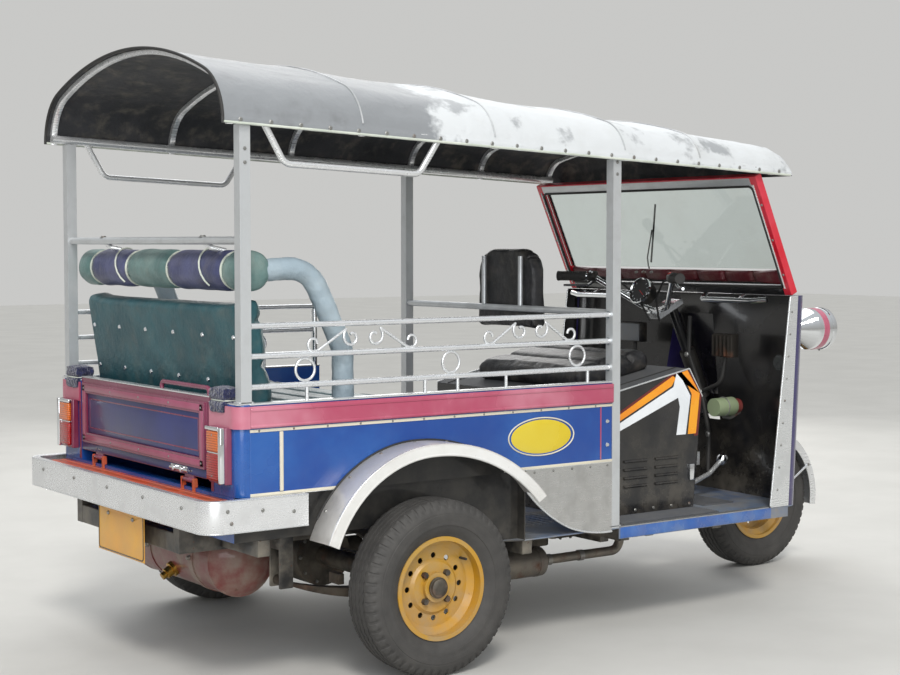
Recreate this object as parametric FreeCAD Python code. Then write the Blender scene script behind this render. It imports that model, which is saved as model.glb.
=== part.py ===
# Three-wheeled passenger rickshaw with a vinyl canopy. Millimetres, +X forward, +Y left, +Z up.
# Places along X are measured forward from the rear axle, and heights from the ground. place() moves
# every finished piece so that the origin is under the middle of the vehicle's footprint.
import FreeCAD, Part
import math
import os

V = FreeCAD.Vector

# Wheels and axles
WHEELBASE = 2120.0
WHEEL_SIDE_GAP = 15.0
TYRE_R = 275.0
TYRE_W = 150.0
TYRE_BELLY_R = 222.0
TYRE_TREAD_HALF = 52.0
TYRE_SHOULDER = 14.0
TYRE_LIP = 8.0
BEAD_R = 152.4
RIM_FLANGE_R = 162.0
RIM_W = 112.0
RIM_T = 4.0
DISC_OFFSET = 18.0
DISC_HOLES = 12
DISC_HOLE_R = 9.0
DISC_HOLE_PCR = 98.0
STUDS = 4
STUD_PCR = 58.0
STUD_R = 8.0
HUB_R = 46.0
HUB_CAP_R = 28.0
HUB_CAP_LEN = 16.0
SPINDLE_R = 15.0
AXLE_TUBE_R = 32.0
DIFF_R = 105.0
DIFF_W = 130.0
DRUM_R = 105.0
DRUM_W = 32.0
PINION_R = 42.0
PINION_LEN = 75.0

# Fits
SEAT = 0.3
RUNNING = 0.05
CLEAR = 6.0

# Chassis rails
RAIL_Y = 360.0
RAIL_W = 40.0
RAIL_H = 60.0
RAIL_LOW_Z = 302.0
RAIL_HIGH_Z = 400.0
RAIL_REAR_X = -700.0
RAIL_FRONT_X = 1560.0
KICK_HIGH_X = -60.0
KICK_LOW_X = 80.0
CROSS_SIZE = 40.0
NECK_HALF_W = 26.0
NECK_TOP_DROP = 60.0
NECK_LOW_RISE = 20.0
# Cross-members: x of the rear face, underside
CROSS_MEMBERS = (
    (RAIL_REAR_X, RAIL_HIGH_Z),
    (-180.0, RAIL_HIGH_Z),
    (330.0, RAIL_LOW_Z),
    (560.0, RAIL_LOW_Z),
    (RAIL_FRONT_X - CROSS_SIZE, RAIL_LOW_Z),
)
# Outriggers from the rails to the body's sides: x of the rear face, underside
OUTRIGGER_DEPTH = 50.0
OUTRIGGERS = (
    (-560.0, RAIL_HIGH_Z),
    (430.0, RAIL_LOW_Z),
    (860.0, RAIL_LOW_Z),
    (1300.0, RAIL_LOW_Z),
)
BEARER_INSET = 40.0

# Leaf springs
SPRING_Y = 470.0
SPRING_HALF = 400.0
SPRING_W = 50.0
SPRING_T = 32.0
SPRING_TIP_T = 8.0
SPRING_EYE_Z = 300.0
EYE_R = 16.0
HANGER_T = 8.0
HANGER_HALF = 24.0

# Gas tank
TANK_R = 118.0
TANK_X = -430.0
TANK_HALF = 325.0
TANK_DOME = 55.0
STRAP_T = 3.0
STRAP_W = 30.0
STRAP_Y = 150.0

# Engine, shaft and exhaust
ENGINE_REAR_X = 930.0
ENGINE_FRONT_X = 1270.0
ENGINE_HALF_W = 170.0
ENGINE_H = 340.0
GEARBOX_REAR_X = 700.0
GEARBOX_HALF_W = 110.0
SHAFT_R = 24.0
SHAFT_FRONT_Z = 262.0
SHAFT_END_GAP = 1.0
EXHAUST_Y = 290.0
EXHAUST_Z = 205.0
EXHAUST_PIPE_R = 17.0
SILENCER_R = 52.0
EXHAUST_X = 1140.0
SILENCER_REAR_X = 400.0
SILENCER_FRONT_X = 760.0
TAIL_PIPE_LEN = 70.0

# Body shell
BODY_HALF_W = 640.0
PANEL_T = 25.0
PANEL_BOTTOM_Z = 595.0
PANEL_TOP_Z = 867.0
BODY_REAR_X = -640.0
PILLAR_DEPTH = 40.0
PILLAR_W = 165.0
PILLAR_ROUND_R = 30.0
POST = 35.0
REAR_POST_X = -610.0
B_POST_X = 813.5
FLOOR_T = 4.0
FLOOR_EDGE_H = 40.0
ENTRY_REAR_X = 400.0
WELL_INSET = 40.0
WELL_FRONT_X = 420.0
WELL_CORNER_X = 330.0
RUB_BOTTOM_Z = 797.0
RUB_TOP_Z = 862.0
RUB_T = 8.0

# Wheel-arch flare: x, z of its rear foot, the middles and ends of two arcs
FLARE_REAR = (-400.0, 450.0)
FLARE_REAR_MID = (-255.0, 643.0)
FLARE_TOP = (0.0, 722.0)
FLARE_FRONT_MID = (250.0, 662.0)
FLARE_FRONT = (420.0, 527.0)
FLARE_W = 115.0
FLARE_T = 4.0
FLARE_LIP = 36.0

# Skirt below the side panel, its lower edge as x, z
SKIRT_T = 3.0
SKIRT_EDGE = ((425.0, 524.0), (518.0, 438.0), (615.0, 382.0), (714.0, 358.0), (796.0, 354.0))

# Rear end
BUMPER_REAR_X = -762.0
BUMPER_OVERHANG = 30.0
BUMPER_BOTTOM_Z = 500.0
BUMPER_TOP_Z = 596.0
BUMPER_SIDE_END_X = -420.0
BUMPER_CORNER_R = 60.0
BUMPER_FLANGE = 26.0
SHEET_T = 4.0
DECK_T = 10.0
DECK_TOP_Z = 584.0
DECK_SIDE_GAP = 70.0
PLATE_W = 340.0
PLATE_H = 150.0
PLATE_Y = -45.0
PLATE_X = -735.0
PLATE_T = 2.0
PLATE_HOLE_R = 3.5
PLATE_HOLE_SPACING = 180.0
PLATE_HOLE_DROP = 24.0
PLATE_TAB_INSET = 60.0
GATE_T = 28.0
GATE_TOP_Z = 880.0
GATE_PIVOT_Z = 617.0
GATE_SIDE_GAP = 6.0
GATE_LIFT = 14.0
GATE_FRAME_W = 34.0
GATE_FRAME_T = 10.0
GATE_FRAME_SIDE = 20.0
GATE_FRAME_TOP = 18.0
GATE_FRAME_LOW = 29.0
GATE_HANDLE_R = 7.0
GATE_HANDLE_RISE = 24.0
GATE_HANDLE_YS = (-120.0, -440.0)
HINGE_PIN_R = 4.0
HINGE_BARREL_R = 8.0
HINGE_BARREL_LEN = 60.0
HINGE_Y = 330.0
HINGE_LUG_LEN = 12.0
HINGE_LUG_HALF = 7.0
LAMP_W = 104.0
LAMP_H = 168.0
LAMP_DEPTH = 24.0
LAMP_BOTTOM_Z = 632.0
LAMP_SHIFT = 10.0
LAMP_ROUND_R = 8.0

# Seat
BENCH_FRONT_X = 100.0
BENCH_TOP_Z = 720.0
BENCH_WALL = 18.0
CUSHION_T = 120.0
BACK_T = 100.0
BACK_TOP_Z = 1190.0
BACK_BOTTOM_X = -430.0
BACK_RAKE = 8.0
SEAT_SIDE_GAP = 40.0
CUSHION_OVERHANG = 20.0
CUSHION_ROUND_R = 30.0
BACK_ROUND_R = 25.0
ROLL_R = 65.0
ARM_R = 36.0
ARM_INSET = 3.0
ARM_TOP_RUN = 210.0
ARM_REACH = 330.0
ARM_RISE = 10.0
ARM_KNEE_Z = 1010.0
ARM_BEND = 90.0
BACK_TUBE_Z = 1345.0
BACK_TUBE_R = 12.0

# Side rails
RAIL_TUBE_R = 9.0
RAIL_TUBE_ZS = (916.0, 1006.0, 1095.0)
RAIL_END_R = 12.0
RAIL_END_GAP = 20.0
SCROLL_W = 7.0
SCROLL_T = 7.0
RING_R = 35.0
HOOK_R = 20.0
# Places along X: the rings, the two ends of each scroll motif, the stubs down to the side panel
RAIL_RING_XS = (-402.0, 134.0, 654.0)
RAIL_MOTIFS = ((-402.0, 12.0), (256.0, 654.0))
RAIL_STUB_XS = (-396.0, 34.0, 160.0, 354.0, 700.0)

# Canopy and roof frame
CANOPY_OVERHANG = 15.0
CANOPY_T = 6.0
CANOPY_CORNER_SHARE = 0.67
EDGE_Z_AT_AXLE = 1651.0
EDGE_FALL = 0.0424
CANOPY_REAR_X = -690.0
CANOPY_FRONT_X = 1650.0
ROOF_TUBE_R = 14.0
ROOF_TUBE_LIFT = 18.0
ROOF_TUBE_INSET = 22.2
HOOP_W = 20.0
HOOP_T = 14.0
ROOF_FRONT_X = 1560.0
GRAB_R = 10.0
# Crown height of the canopy by station: x from the rear axle, z
CROWN = (
    (CANOPY_REAR_X, 1950.0),
    (-200.0, 1921.0),
    (300.0, 1887.0),
    (813.5, 1838.0),
    (1200.0, 1801.0),
    (1450.0, 1771.0),
    (1590.0, 1750.0),
    (1632.0, 1712.0),
    (CANOPY_FRONT_X, 1652.0),
)

# Cowl and windscreen
SCREEN_FOOT_X = 1712.0
SCREEN_FOOT_Z = 1143.0
SCREEN_RAKE = 24.6
DASH_H = 70.0
SCREEN_BAR = 32.0
GLASS_T = 5.0
COWL_T = 4.0
COWL_CORNER_R = 70.0
COWL_BOW = 30.0
# Cowl at the floor and at its top: x of the rear edge and of the round corner's start
COWL_LOW_REAR_X = 1566.0
COWL_LOW_CORNER_X = 1660.0
COWL_TOP_REAR_X = 1660.0
COWL_TOP_CORNER_X = 1700.0
STRIP_T = 3.0
NOSE_BOTTOM_Z = 640.0
NOSE_TOP_Z = 1060.0
# Nose at its bottom and top: half width, x of the front face and of the back, corner radius
NOSE_LOW = (180.0, 2045.0, 1745.0, 70.0)
NOSE_HIGH = (110.0, 1835.0, 1770.0, 40.0)
LAMP_R = 78.0
LAMP_INSET = 95.0
LAMP_Z = 1012.0
LAMP_BACK_X = 1780.0
LAMP_RING_X = 1845.0
LAMP_FRONT_X = 1930.0
LAMP_BACK_R = 36.0
LAMP_ARM_R = 12.0

# Steering
STEER_RAKE = 26.0
STEER_TRAIL = 75.0
STEM_R = 20.0
HEAD_R = 32.0
HEAD_LOW = 800.0
HEAD_HIGH = 1010.0
STEM_TOP = 1205.0
YOKE_T = 24.0
YOKE_REACH = 105.0
YOKE_HALF_W = 38.0
BAR_BEND = (1452.0, 232.0, 1205.0)
BAR_END = (1375.0, 355.0, 1205.0)
FORK_LEG_R = 24.0
FORK_TUBE_R = 17.0
FORK_SLIDER_TOP = 620.0
FORK_SIDE_GAP = 16.0
FORK_FOOT = 30.0
CROWN_LOW = 735.0
CROWN_T = 30.0
BAR_R = 11.0
GRIP_R = 17.0
GUARD_GAP = 22.0
GUARD_T = 3.0

# Driver's place
COVER_SIDE_GAP = 170.0
COVER_T = 15.0
DRIVER_SEAT_T = 75.0
DRIVER_SEAT_HALF_W = 330.0
DRIVER_SEAT_REAR_GAP = 60.0
DRIVER_SEAT_FRONT_GAP = 20.0
DRIVER_SEAT_ROUND_R = 22.0
DRIVER_BAR_Z = 1100.0
DRIVER_STAY_Y = 110.0
DRIVER_STAY_R = 9.0
DRIVER_STAY_TOP_Z = 1290.0
DRIVER_BACK_HALF_W = 190.0
DRIVER_BACK_T = 70.0
DRIVER_BACK_LOW_Z = 1010.0
DRIVER_BACK_TOP_Z = 1338.0
DRIVER_BACK_CORNER_R = 120.0
DRIVER_BACK_EDGE_R = 18.0
# Pedals and gear lever: place of the foot, of the pad or knob, and sizes
PEDAL_YS = (-200.0, 150.0)
PEDAL_FOOT_X = 1500.0
PEDAL_PAD_X = 1590.0
PEDAL_PAD_Z = 505.0
PEDAL_PAD_HALF_W = 35.0
PEDAL_PAD_HALF_H = 25.0
PEDAL_PAD_T = 20.0
PEDAL_ARM_R = 8.0
PEDAL_FOOT_HALF = 15.0
LEVER_FOOT_X = 1390.0
LEVER_Y = -290.0
LEVER_R = 9.0
LEVER_BEND = 30.0
LEVER_RUN = ((1600.0, 452.0), (1665.0, 500.0))
# Side outline of the engine cover under the driver's seat: x, z
COVER_FOOT_Z = RAIL_LOW_Z + RAIL_H + FLOOR_T
COVER_OUTLINE = (
    (850.0, COVER_FOOT_Z), (850.0, 790.0), (1320.0, 880.0), (1385.0, 775.0), (1345.0, COVER_FOOT_Z),
)

# Worked out: places that follow from the body's half width
PILLAR_INNER_Y = BODY_HALF_W - PILLAR_W
WELL_Y = BODY_HALF_W - WELL_INSET
FLARE_OUT_Y = BODY_HALF_W + FLARE_W
BUMPER_HALF_W = BODY_HALF_W + BUMPER_OVERHANG
SEAT_HALF_W = BODY_HALF_W - PANEL_T - SEAT_SIDE_GAP
CANOPY_HALF_W = BODY_HALF_W + CANOPY_OVERHANG
LAMP_Y = BODY_HALF_W - LAMP_INSET
COVER_HALF_W = BODY_HALF_W - COVER_SIDE_GAP
TRACK = 2.0 * (BODY_HALF_W - PANEL_T + WHEEL_SIDE_GAP) + TYRE_W

# Worked out: the steering axis at the ground, and the front axle's place beside that axis
STEER_FOOT = V(WHEELBASE + STEER_TRAIL, 0, 0)
STEER_SIN = math.sin(math.radians(STEER_RAKE))
STEER_COS = math.cos(math.radians(STEER_RAKE))
AXLE_LOCAL_X = TYRE_R * STEER_SIN - STEER_TRAIL * STEER_COS
AXLE_LOCAL_Z = TYRE_R * STEER_COS + STEER_TRAIL * STEER_SIN
LEG_Y = TYRE_W / 2.0 + FORK_SIDE_GAP + FORK_LEG_R


def box(x0, x1, y0, y1, z0, z1):
    return Part.makeBox(x1 - x0, y1 - y0, z1 - z0, V(x0, y0, z0))


def rod(a, b, radius):
    a = V(*a)
    b = V(*b)
    return Part.makeCylinder(radius, (b - a).Length, a, b - a)


def fuse(shapes):
    return shapes[0].fuse(shapes[1:]).removeSplitter() if len(shapes) > 1 else shapes[0]


def both_sides(shape):
    return [shape, shape.mirror(V(0, 0, 0), V(0, 1, 0))]


def side_profile(points, y0, y1):
    """A sheet cut to an outline in the XZ plane, from y0 to y1."""
    ring = [V(x, y0, z) for x, z in points]
    return Part.Face(Part.makePolygon(ring + ring[:1])).extrude(V(0, y1 - y0, 0))


def wire_of(edges):
    return Part.Wire(Part.__sortEdges__(edges))


def arc(a, b, c):
    return Part.Arc(V(*a), V(*b), V(*c)).toShape()


def line(a, b):
    return Part.makeLine(V(*a), V(*b))


def bent_tube(points, radius, bend):
    """A round tube along straight runs that meet in tangent arcs of one bend radius."""
    pts = [V(*p) for p in points]
    edges = []
    start = pts[0]
    for before, corner, after in zip(pts, pts[1:], pts[2:]):
        u = (before - corner).normalize()
        w = (after - corner).normalize()
        half = u.getAngle(w) / 2.0
        reach = bend / math.tan(half)
        p = corner + u * reach
        q = corner + w * reach
        bisector = (u + w).normalize()
        middle = corner + bisector * (bend / math.sin(half) - bend)
        edges.append(Part.makeLine(start, p))
        edges.append(Part.Arc(p, middle, q).toShape())
        start = q
    edges.append(Part.makeLine(start, pts[-1]))
    path = Part.Wire(edges)
    ring = Part.Wire(Part.makeCircle(radius, pts[0], pts[1] - pts[0]))
    return path.makePipeShell([ring], True, True)


def edge_z(x):
    """Height of the canopy's lower edge at station x."""
    return EDGE_Z_AT_AXLE - EDGE_FALL * x


def crown_z(x):
    for (x0, z0), (x1, z1) in zip(CROWN, CROWN[1:]):
        if x <= x1:
            return z0 + (z1 - z0) * (x - x0) / (x1 - x0)
    return CROWN[-1][1]


def arch_edges(x, inset):
    """Three tangent arcs of the roof's arch at station x, set in from the canopy's outside."""
    base = edge_z(x)
    rise = crown_z(x) - base
    corner_r = CANOPY_CORNER_SHARE * rise
    corner_y = CANOPY_HALF_W - corner_r
    crown_r = (corner_y**2 + rise**2 - corner_r**2) / (2.0 * (rise - corner_r))
    centre_z = base + rise - crown_r
    lean = math.atan2(corner_y, crown_r - rise)
    small = corner_r - inset
    large = crown_r - inset

    def corner(angle, side):
        return (x, side * (corner_y + small * math.sin(angle)), base + small * math.cos(angle))

    quarter = math.pi / 2.0
    middle = (lean + quarter) / 2.0
    top = (x, 0.0, centre_z + large)
    right = arc(corner(quarter, -1), corner(middle, -1), corner(lean, -1))
    crown = arc(corner(lean, -1), top, corner(lean, 1))
    left = arc(corner(lean, 1), corner(middle, 1), corner(quarter, 1))
    return [right, crown, left]


def arch_band(x, outer_inset, thickness):
    """Closed wire between two arches of one station."""
    z = edge_z(x)
    a = CANOPY_HALF_W - outer_inset
    b = a - thickness
    feet = [line((x, -a, z), (x, -b, z)), line((x, a, z), (x, b, z))]
    return wire_of(arch_edges(x, outer_inset) + arch_edges(x, outer_inset + thickness) + feet)


def arch_section(x, inset, drop):
    """Closed wire under the arch of one station, carried down past the canopy's edge."""
    z = edge_z(x)
    y = CANOPY_HALF_W - inset
    low = z - drop
    edges = arch_edges(x, inset) + [line((x, -y, low), (x, y, low))]
    if drop:
        edges += [line((x, -y, z), (x, -y, low)), line((x, y, z), (x, y, low))]
    return wire_of(edges)


def canopy():
    """Curved shell, closed at the visor and open at the back and below."""
    stations = [x for x, z in CROWN]
    outer = Part.makeLoft([arch_section(x, 0.0, 0.0) for x in stations], True, True)
    inner_stations = [stations[0] - 1.0] + stations[1:-1] + [stations[-1] - CANOPY_T]
    inner = Part.makeLoft([arch_section(x, CANOPY_T, CLEAR) for x in inner_stations], True, True)
    return outer.cut(inner)


def roof_frame():
    inset = CANOPY_T + SEAT
    tube_y = CANOPY_HALF_W - ROOF_TUBE_INSET
    rear_x = CANOPY_REAR_X + HOOP_W
    front_x = ROOF_FRONT_X
    tubes = both_sides(
        rod(
            (rear_x, tube_y, edge_z(rear_x) + ROOF_TUBE_LIFT),
            (front_x, tube_y, edge_z(front_x) + ROOF_TUBE_LIFT),
            ROOF_TUBE_R,
        )
    )
    hoops = []
    for x in (rear_x + HOOP_W, -200.0, 300.0, B_POST_X + POST / 2.0 + HOOP_W + SEAT, 1200.0, front_x):
        hoops.append(Part.Face(arch_band(x, inset, HOOP_T)).extrude(V(-HOOP_W, 0, 0)))
    return tubes, hoops


def roof_tube_z(x):
    return edge_z(x) + ROOF_TUBE_LIFT


def grab_tubes(tube_y):
    points = (
        (-547.0, tube_y, roof_tube_z(-547.0)),
        (-475.0, tube_y, 1570.0),
        (4.0, tube_y, 1550.0),
        (83.0, tube_y, roof_tube_z(83.0)),
    )
    return both_sides(bent_tube(points, GRAB_R, 40.0))


def roof_frame_node():
    tubes, hoops = roof_frame()
    return fuse(tubes + hoops + grab_tubes(CANOPY_HALF_W - ROOF_TUBE_INSET))


def post(x, side, z0, z1):
    inner = BODY_HALF_W - POST
    y0, y1 = sorted((side * inner, side * BODY_HALF_W))
    return box(x - POST / 2.0, x + POST / 2.0, y0, y1, z0, z1)


def roof_posts():
    pieces = []
    drop = ROOF_TUBE_LIFT - ROOF_TUBE_R - SEAT - EDGE_FALL * POST / 2.0
    for side in (-1, 1):
        pieces.append(post(REAR_POST_X, side, PANEL_TOP_Z, edge_z(REAR_POST_X) + drop))
        pieces.append(post(B_POST_X, side, floor_top(), edge_z(B_POST_X) + drop))
    inner = BODY_HALF_W - POST / 2.0
    rear_bar = rod((REAR_POST_X, -inner, BACK_TUBE_Z), (REAR_POST_X, inner, BACK_TUBE_Z), BACK_TUBE_R)
    bar = rod((B_POST_X, -inner, DRIVER_BAR_Z), (B_POST_X, inner, DRIVER_BAR_Z), BACK_TUBE_R)
    y = DRIVER_STAY_Y
    stay = rod((B_POST_X, y, DRIVER_BAR_Z), (B_POST_X, y, DRIVER_STAY_TOP_Z), DRIVER_STAY_R)
    rear = fuse([pieces[0], pieces[2], rear_bar])
    return Part.makeCompound([rear, fuse([pieces[1], pieces[3], bar] + both_sides(stay))])


def floor_top():
    return RAIL_LOW_Z + RAIL_H + FLOOR_T


def wheel_tyre():
    """Tyre revolved about its own axle, which lies along Y at the origin."""
    seat_y = RIM_W / 2.0 - RIM_T - SEAT
    half_profile = (
        (seat_y, BEAD_R + SEAT),
        (seat_y, RIM_FLANGE_R + TYRE_LIP),
        (TYRE_W / 2.0 - TYRE_LIP, (RIM_FLANGE_R + TYRE_BELLY_R) / 2.0 + TYRE_LIP),
        (TYRE_W / 2.0, TYRE_BELLY_R),
        (TYRE_TREAD_HALF + TYRE_LIP, TYRE_R - TYRE_SHOULDER),
        (TYRE_TREAD_HALF, TYRE_R),
    )
    ring = [V(0, y, r) for y, r in half_profile]
    ring += [V(0, -y, r) for y, r in reversed(half_profile)]
    return Part.Face(Part.makePolygon(ring + ring[:1])).revolve(V(0, 0, 0), V(0, 1, 0), 360)


def wheel_rim(outward):
    """Pressed steel rim with its disc towards the outward side, revolved about the axle."""
    half = RIM_W / 2.0
    well_r = BEAD_R - 22.0
    s = outward
    barrel = [
        (-half, BEAD_R - RIM_T), (-half, RIM_FLANGE_R), (RIM_T - half, RIM_FLANGE_R),
        (RIM_T - half, BEAD_R), (18.0 - half, BEAD_R), (30.0 - half, well_r),
        (half - 48.0, well_r), (half - 36.0, BEAD_R), (half - RIM_T, BEAD_R),
        (half - RIM_T, RIM_FLANGE_R), (half, RIM_FLANGE_R), (half, BEAD_R - RIM_T),
        (half - 34.0, BEAD_R - RIM_T), (half - 46.0, well_r - RIM_T),
        (28.0 - half, well_r - RIM_T), (16.0 - half, BEAD_R - RIM_T),
    ]
    disc = [
        (DISC_OFFSET, HUB_R), (DISC_OFFSET, 78.0), (DISC_OFFSET - 8.0, 88.0),
        (DISC_OFFSET - 8.0, well_r - RIM_T), (DISC_OFFSET - 8.0 - RIM_T, well_r - RIM_T),
        (DISC_OFFSET - 8.0 - RIM_T, 86.0), (DISC_OFFSET - RIM_T, 76.0), (DISC_OFFSET - RIM_T, HUB_R),
    ]
    shapes = []
    for outline in (barrel, disc):
        ring = [V(0.0, s * y, r) for y, r in outline]
        face = Part.Face(Part.makePolygon(ring + ring[:1]))
        shapes.append(face.revolve(V(0, 0, 0), V(0, 1, 0), 360))
    rim = fuse(shapes)
    cutters = []
    for i in range(DISC_HOLES):
        a = 2.0 * math.pi * i / DISC_HOLES
        x, z = DISC_HOLE_PCR * math.sin(a), DISC_HOLE_PCR * math.cos(a)
        cutters.append(rod((x, -TYRE_W, z), (x, TYRE_W, z), DISC_HOLE_R))
    return rim.cut(cutters)


def wheel_hub(outward, bore_r, inner_y, outer_y):
    """Hub barrel with its flange behind the disc, nuts and cap, bored for the spindle."""
    s = outward
    flange = rod((0, s * (DISC_OFFSET - RIM_T - 12.0), 0), (0, s * (DISC_OFFSET - RIM_T), 0), 78.0)
    barrel = rod((0, s * inner_y, 0), (0, s * outer_y, 0), HUB_R)
    bore = rod((0, s * (inner_y - 1.0), 0), (0, s * (outer_y - 8.0), 0), bore_r)
    cap = rod((0, s * outer_y, 0), (0, s * (outer_y + HUB_CAP_LEN), 0), HUB_CAP_R)
    nuts = []
    for i in range(STUDS):
        a = 2.0 * math.pi * (i + 0.5) / STUDS
        x, z = STUD_PCR * math.sin(a), STUD_PCR * math.cos(a)
        nuts.append(rod((x, s * (DISC_OFFSET - RIM_T), z), (x, s * (DISC_OFFSET + 12.0), z), STUD_R))
    return fuse([flange, barrel, cap] + nuts).cut(bore)


def rear_wheel(side):
    """Tyre and rim of one rear wheel, standing at the axle's end."""
    inner_y = -30.0
    outer_y = DISC_OFFSET + 14.0
    tyre = wheel_tyre()
    rim = fuse([wheel_rim(side), wheel_hub(side, SPINDLE_R + RUNNING, inner_y, outer_y)])
    centre = V(0, side * TRACK / 2.0, TYRE_R)
    tyre.translate(centre)
    rim.translate(centre)
    return tyre, rim


def rear_axle():
    """Live axle: tube, differential, drums and the spindles that the hubs run on."""
    hub_inner_y = TRACK / 2.0 - 30.0
    drum_outer = hub_inner_y - CLEAR
    drum_inner = drum_outer - DRUM_W
    spindle_end = TRACK / 2.0 + DISC_OFFSET + 4.0
    pieces = [
        rod((0, -drum_inner, TYRE_R), (0, drum_inner, TYRE_R), AXLE_TUBE_R),
        rod((0, -DIFF_W / 2.0, TYRE_R), (0, DIFF_W / 2.0, TYRE_R), DIFF_R),
        rod((DIFF_R - 25.0, 0, TYRE_R), (DIFF_R + PINION_LEN, 0, TYRE_R), PINION_R),
    ]
    for side in (-1, 1):
        pieces.append(rod((0, side * drum_inner, TYRE_R), (0, side * drum_outer, TYRE_R), DRUM_R))
        pieces.append(rod((0, side * drum_outer, TYRE_R), (0, side * spindle_end, TYRE_R), SPINDLE_R))
    return fuse(pieces)


def leaf_spring():
    """One pack of leaves slung under the axle, with an eye at each end."""
    mid = TYRE_R - AXLE_TUBE_R - SEAT
    tip = SPRING_EYE_Z - SPRING_TIP_T
    y0 = SPRING_Y - SPRING_W / 2.0
    y1 = SPRING_Y + SPRING_W / 2.0
    half = SPRING_HALF
    edges = [
        arc((-half, y0, SPRING_EYE_Z), (0, y0, mid), (half, y0, SPRING_EYE_Z)),
        arc((-half, y0, tip), (0, y0, mid - SPRING_T), (half, y0, tip)),
        line((-half, y0, SPRING_EYE_Z), (-half, y0, tip)),
        line((half, y0, SPRING_EYE_Z), (half, y0, tip)),
    ]
    leaves = Part.Face(wire_of(edges)).extrude(V(0, SPRING_W, 0))
    eyes = [rod((x, y0, SPRING_EYE_Z), (x, y1, SPRING_EYE_Z), EYE_R) for x in (-half, half)]
    return fuse([leaves] + eyes)


def leaf_springs():
    return Part.makeCompound(both_sides(leaf_spring()))


def rail(side):
    y0, y1 = sorted((side * (RAIL_Y - RAIL_W / 2.0), side * (RAIL_Y + RAIL_W / 2.0)))
    outline = (
        (RAIL_REAR_X, RAIL_HIGH_Z), (KICK_HIGH_X, RAIL_HIGH_Z), (KICK_LOW_X, RAIL_LOW_Z),
        (RAIL_FRONT_X, RAIL_LOW_Z), (RAIL_FRONT_X, RAIL_LOW_Z + RAIL_H),
        (KICK_LOW_X, RAIL_LOW_Z + RAIL_H), (KICK_HIGH_X, RAIL_HIGH_Z + RAIL_H),
        (RAIL_REAR_X, RAIL_HIGH_Z + RAIL_H),
    )
    return side_profile(outline, y0, y1)


def lean(shape):
    """Takes a shape drawn about an upright steering axis at the origin to the raked one."""
    shape.rotate(V(0, 0, 0), V(0, 1, 0), -STEER_RAKE)
    shape.translate(STEER_FOOT)
    return shape


def leaned(x, y, z):
    return (STEER_FOOT.x + x * STEER_COS - z * STEER_SIN, y, x * STEER_SIN + z * STEER_COS)


def side_span(side, y0, y1):
    """The two ends of a span on one side of the vehicle, in rising order."""
    return sorted((side * y0, side * y1))


def ladder_frame():
    """Two kicked rails with their bumper arms, and the neck with its bored steering head."""
    deck_under = DECK_TOP_Z - DECK_T
    arm_z = BUMPER_BOTTOM_Z + BUMPER_FLANGE - CLEAR
    solids = []
    for side in (-1, 1):
        y0, y1 = side_span(side, RAIL_Y - RAIL_W / 2.0, RAIL_Y + RAIL_W / 2.0)
        upright = box(RAIL_REAR_X, RAIL_REAR_X + CROSS_SIZE, y0, y1, RAIL_HIGH_Z, deck_under)
        arm = box(BUMPER_REAR_X + SHEET_T, RAIL_REAR_X, y0, y1, arm_z, arm_z + CROSS_SIZE)
        solids.append(fuse([rail(side), upright, arm]))
    solids.append(fuse([neck(), steering_head()]).cut(steering_bore()))
    return Part.makeCompound(solids)


def frame_members():
    """Cross-members, engine bearers and outriggers, with the hangers of the leaf springs."""
    rail_out = RAIL_Y + RAIL_W / 2.0
    rail_in = RAIL_Y - RAIL_W / 2.0
    solids = [box(x, x + CROSS_SIZE, -rail_in, rail_in, z, z + RAIL_H) for x, z in CROSS_MEMBERS]
    for x in (ENGINE_REAR_X + BEARER_INSET, ENGINE_FRONT_X - BEARER_INSET - CROSS_SIZE):
        solids.append(box(x, x + CROSS_SIZE, -rail_out, rail_out, RAIL_LOW_Z - CROSS_SIZE, RAIL_LOW_Z))
    for side in (-1, 1):
        y0, y1 = side_span(side, rail_out, BODY_HALF_W - PANEL_T)
        for x, z in OUTRIGGERS:
            solids.append(box(x, x + CROSS_SIZE, y0, y1, z + RAIL_H - OUTRIGGER_DEPTH, z + RAIL_H))
        for x in (-SPRING_HALF, SPRING_HALF):
            solids.append(hanger(x, side))
    return Part.makeCompound(solids)


def steering_head():
    return lean(rod((0, 0, HEAD_LOW), (0, 0, HEAD_HIGH), HEAD_R))


def steering_bore():
    return lean(rod((0, 0, HEAD_LOW - 1.0), (0, 0, HEAD_HIGH + 1.0), STEM_R + RUNNING))


def neck():
    """Deep gusset from the front cross-member up to the steering head."""
    top = leaned(-HEAD_R, 0, HEAD_HIGH - NECK_TOP_DROP)
    low = leaned(-HEAD_R, 0, HEAD_LOW + NECK_LOW_RISE)
    sink = HEAD_R / 2.0
    outline = (
        (top[0] + sink, top[2]), (low[0] + sink, low[2]),
        (RAIL_FRONT_X, RAIL_LOW_Z + NECK_LOW_RISE), (RAIL_FRONT_X, RAIL_LOW_Z + RAIL_H),
        (RAIL_FRONT_X - CROSS_SIZE, RAIL_LOW_Z + RAIL_H),
    )
    return side_profile(outline, -NECK_HALF_W, NECK_HALF_W)


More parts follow.
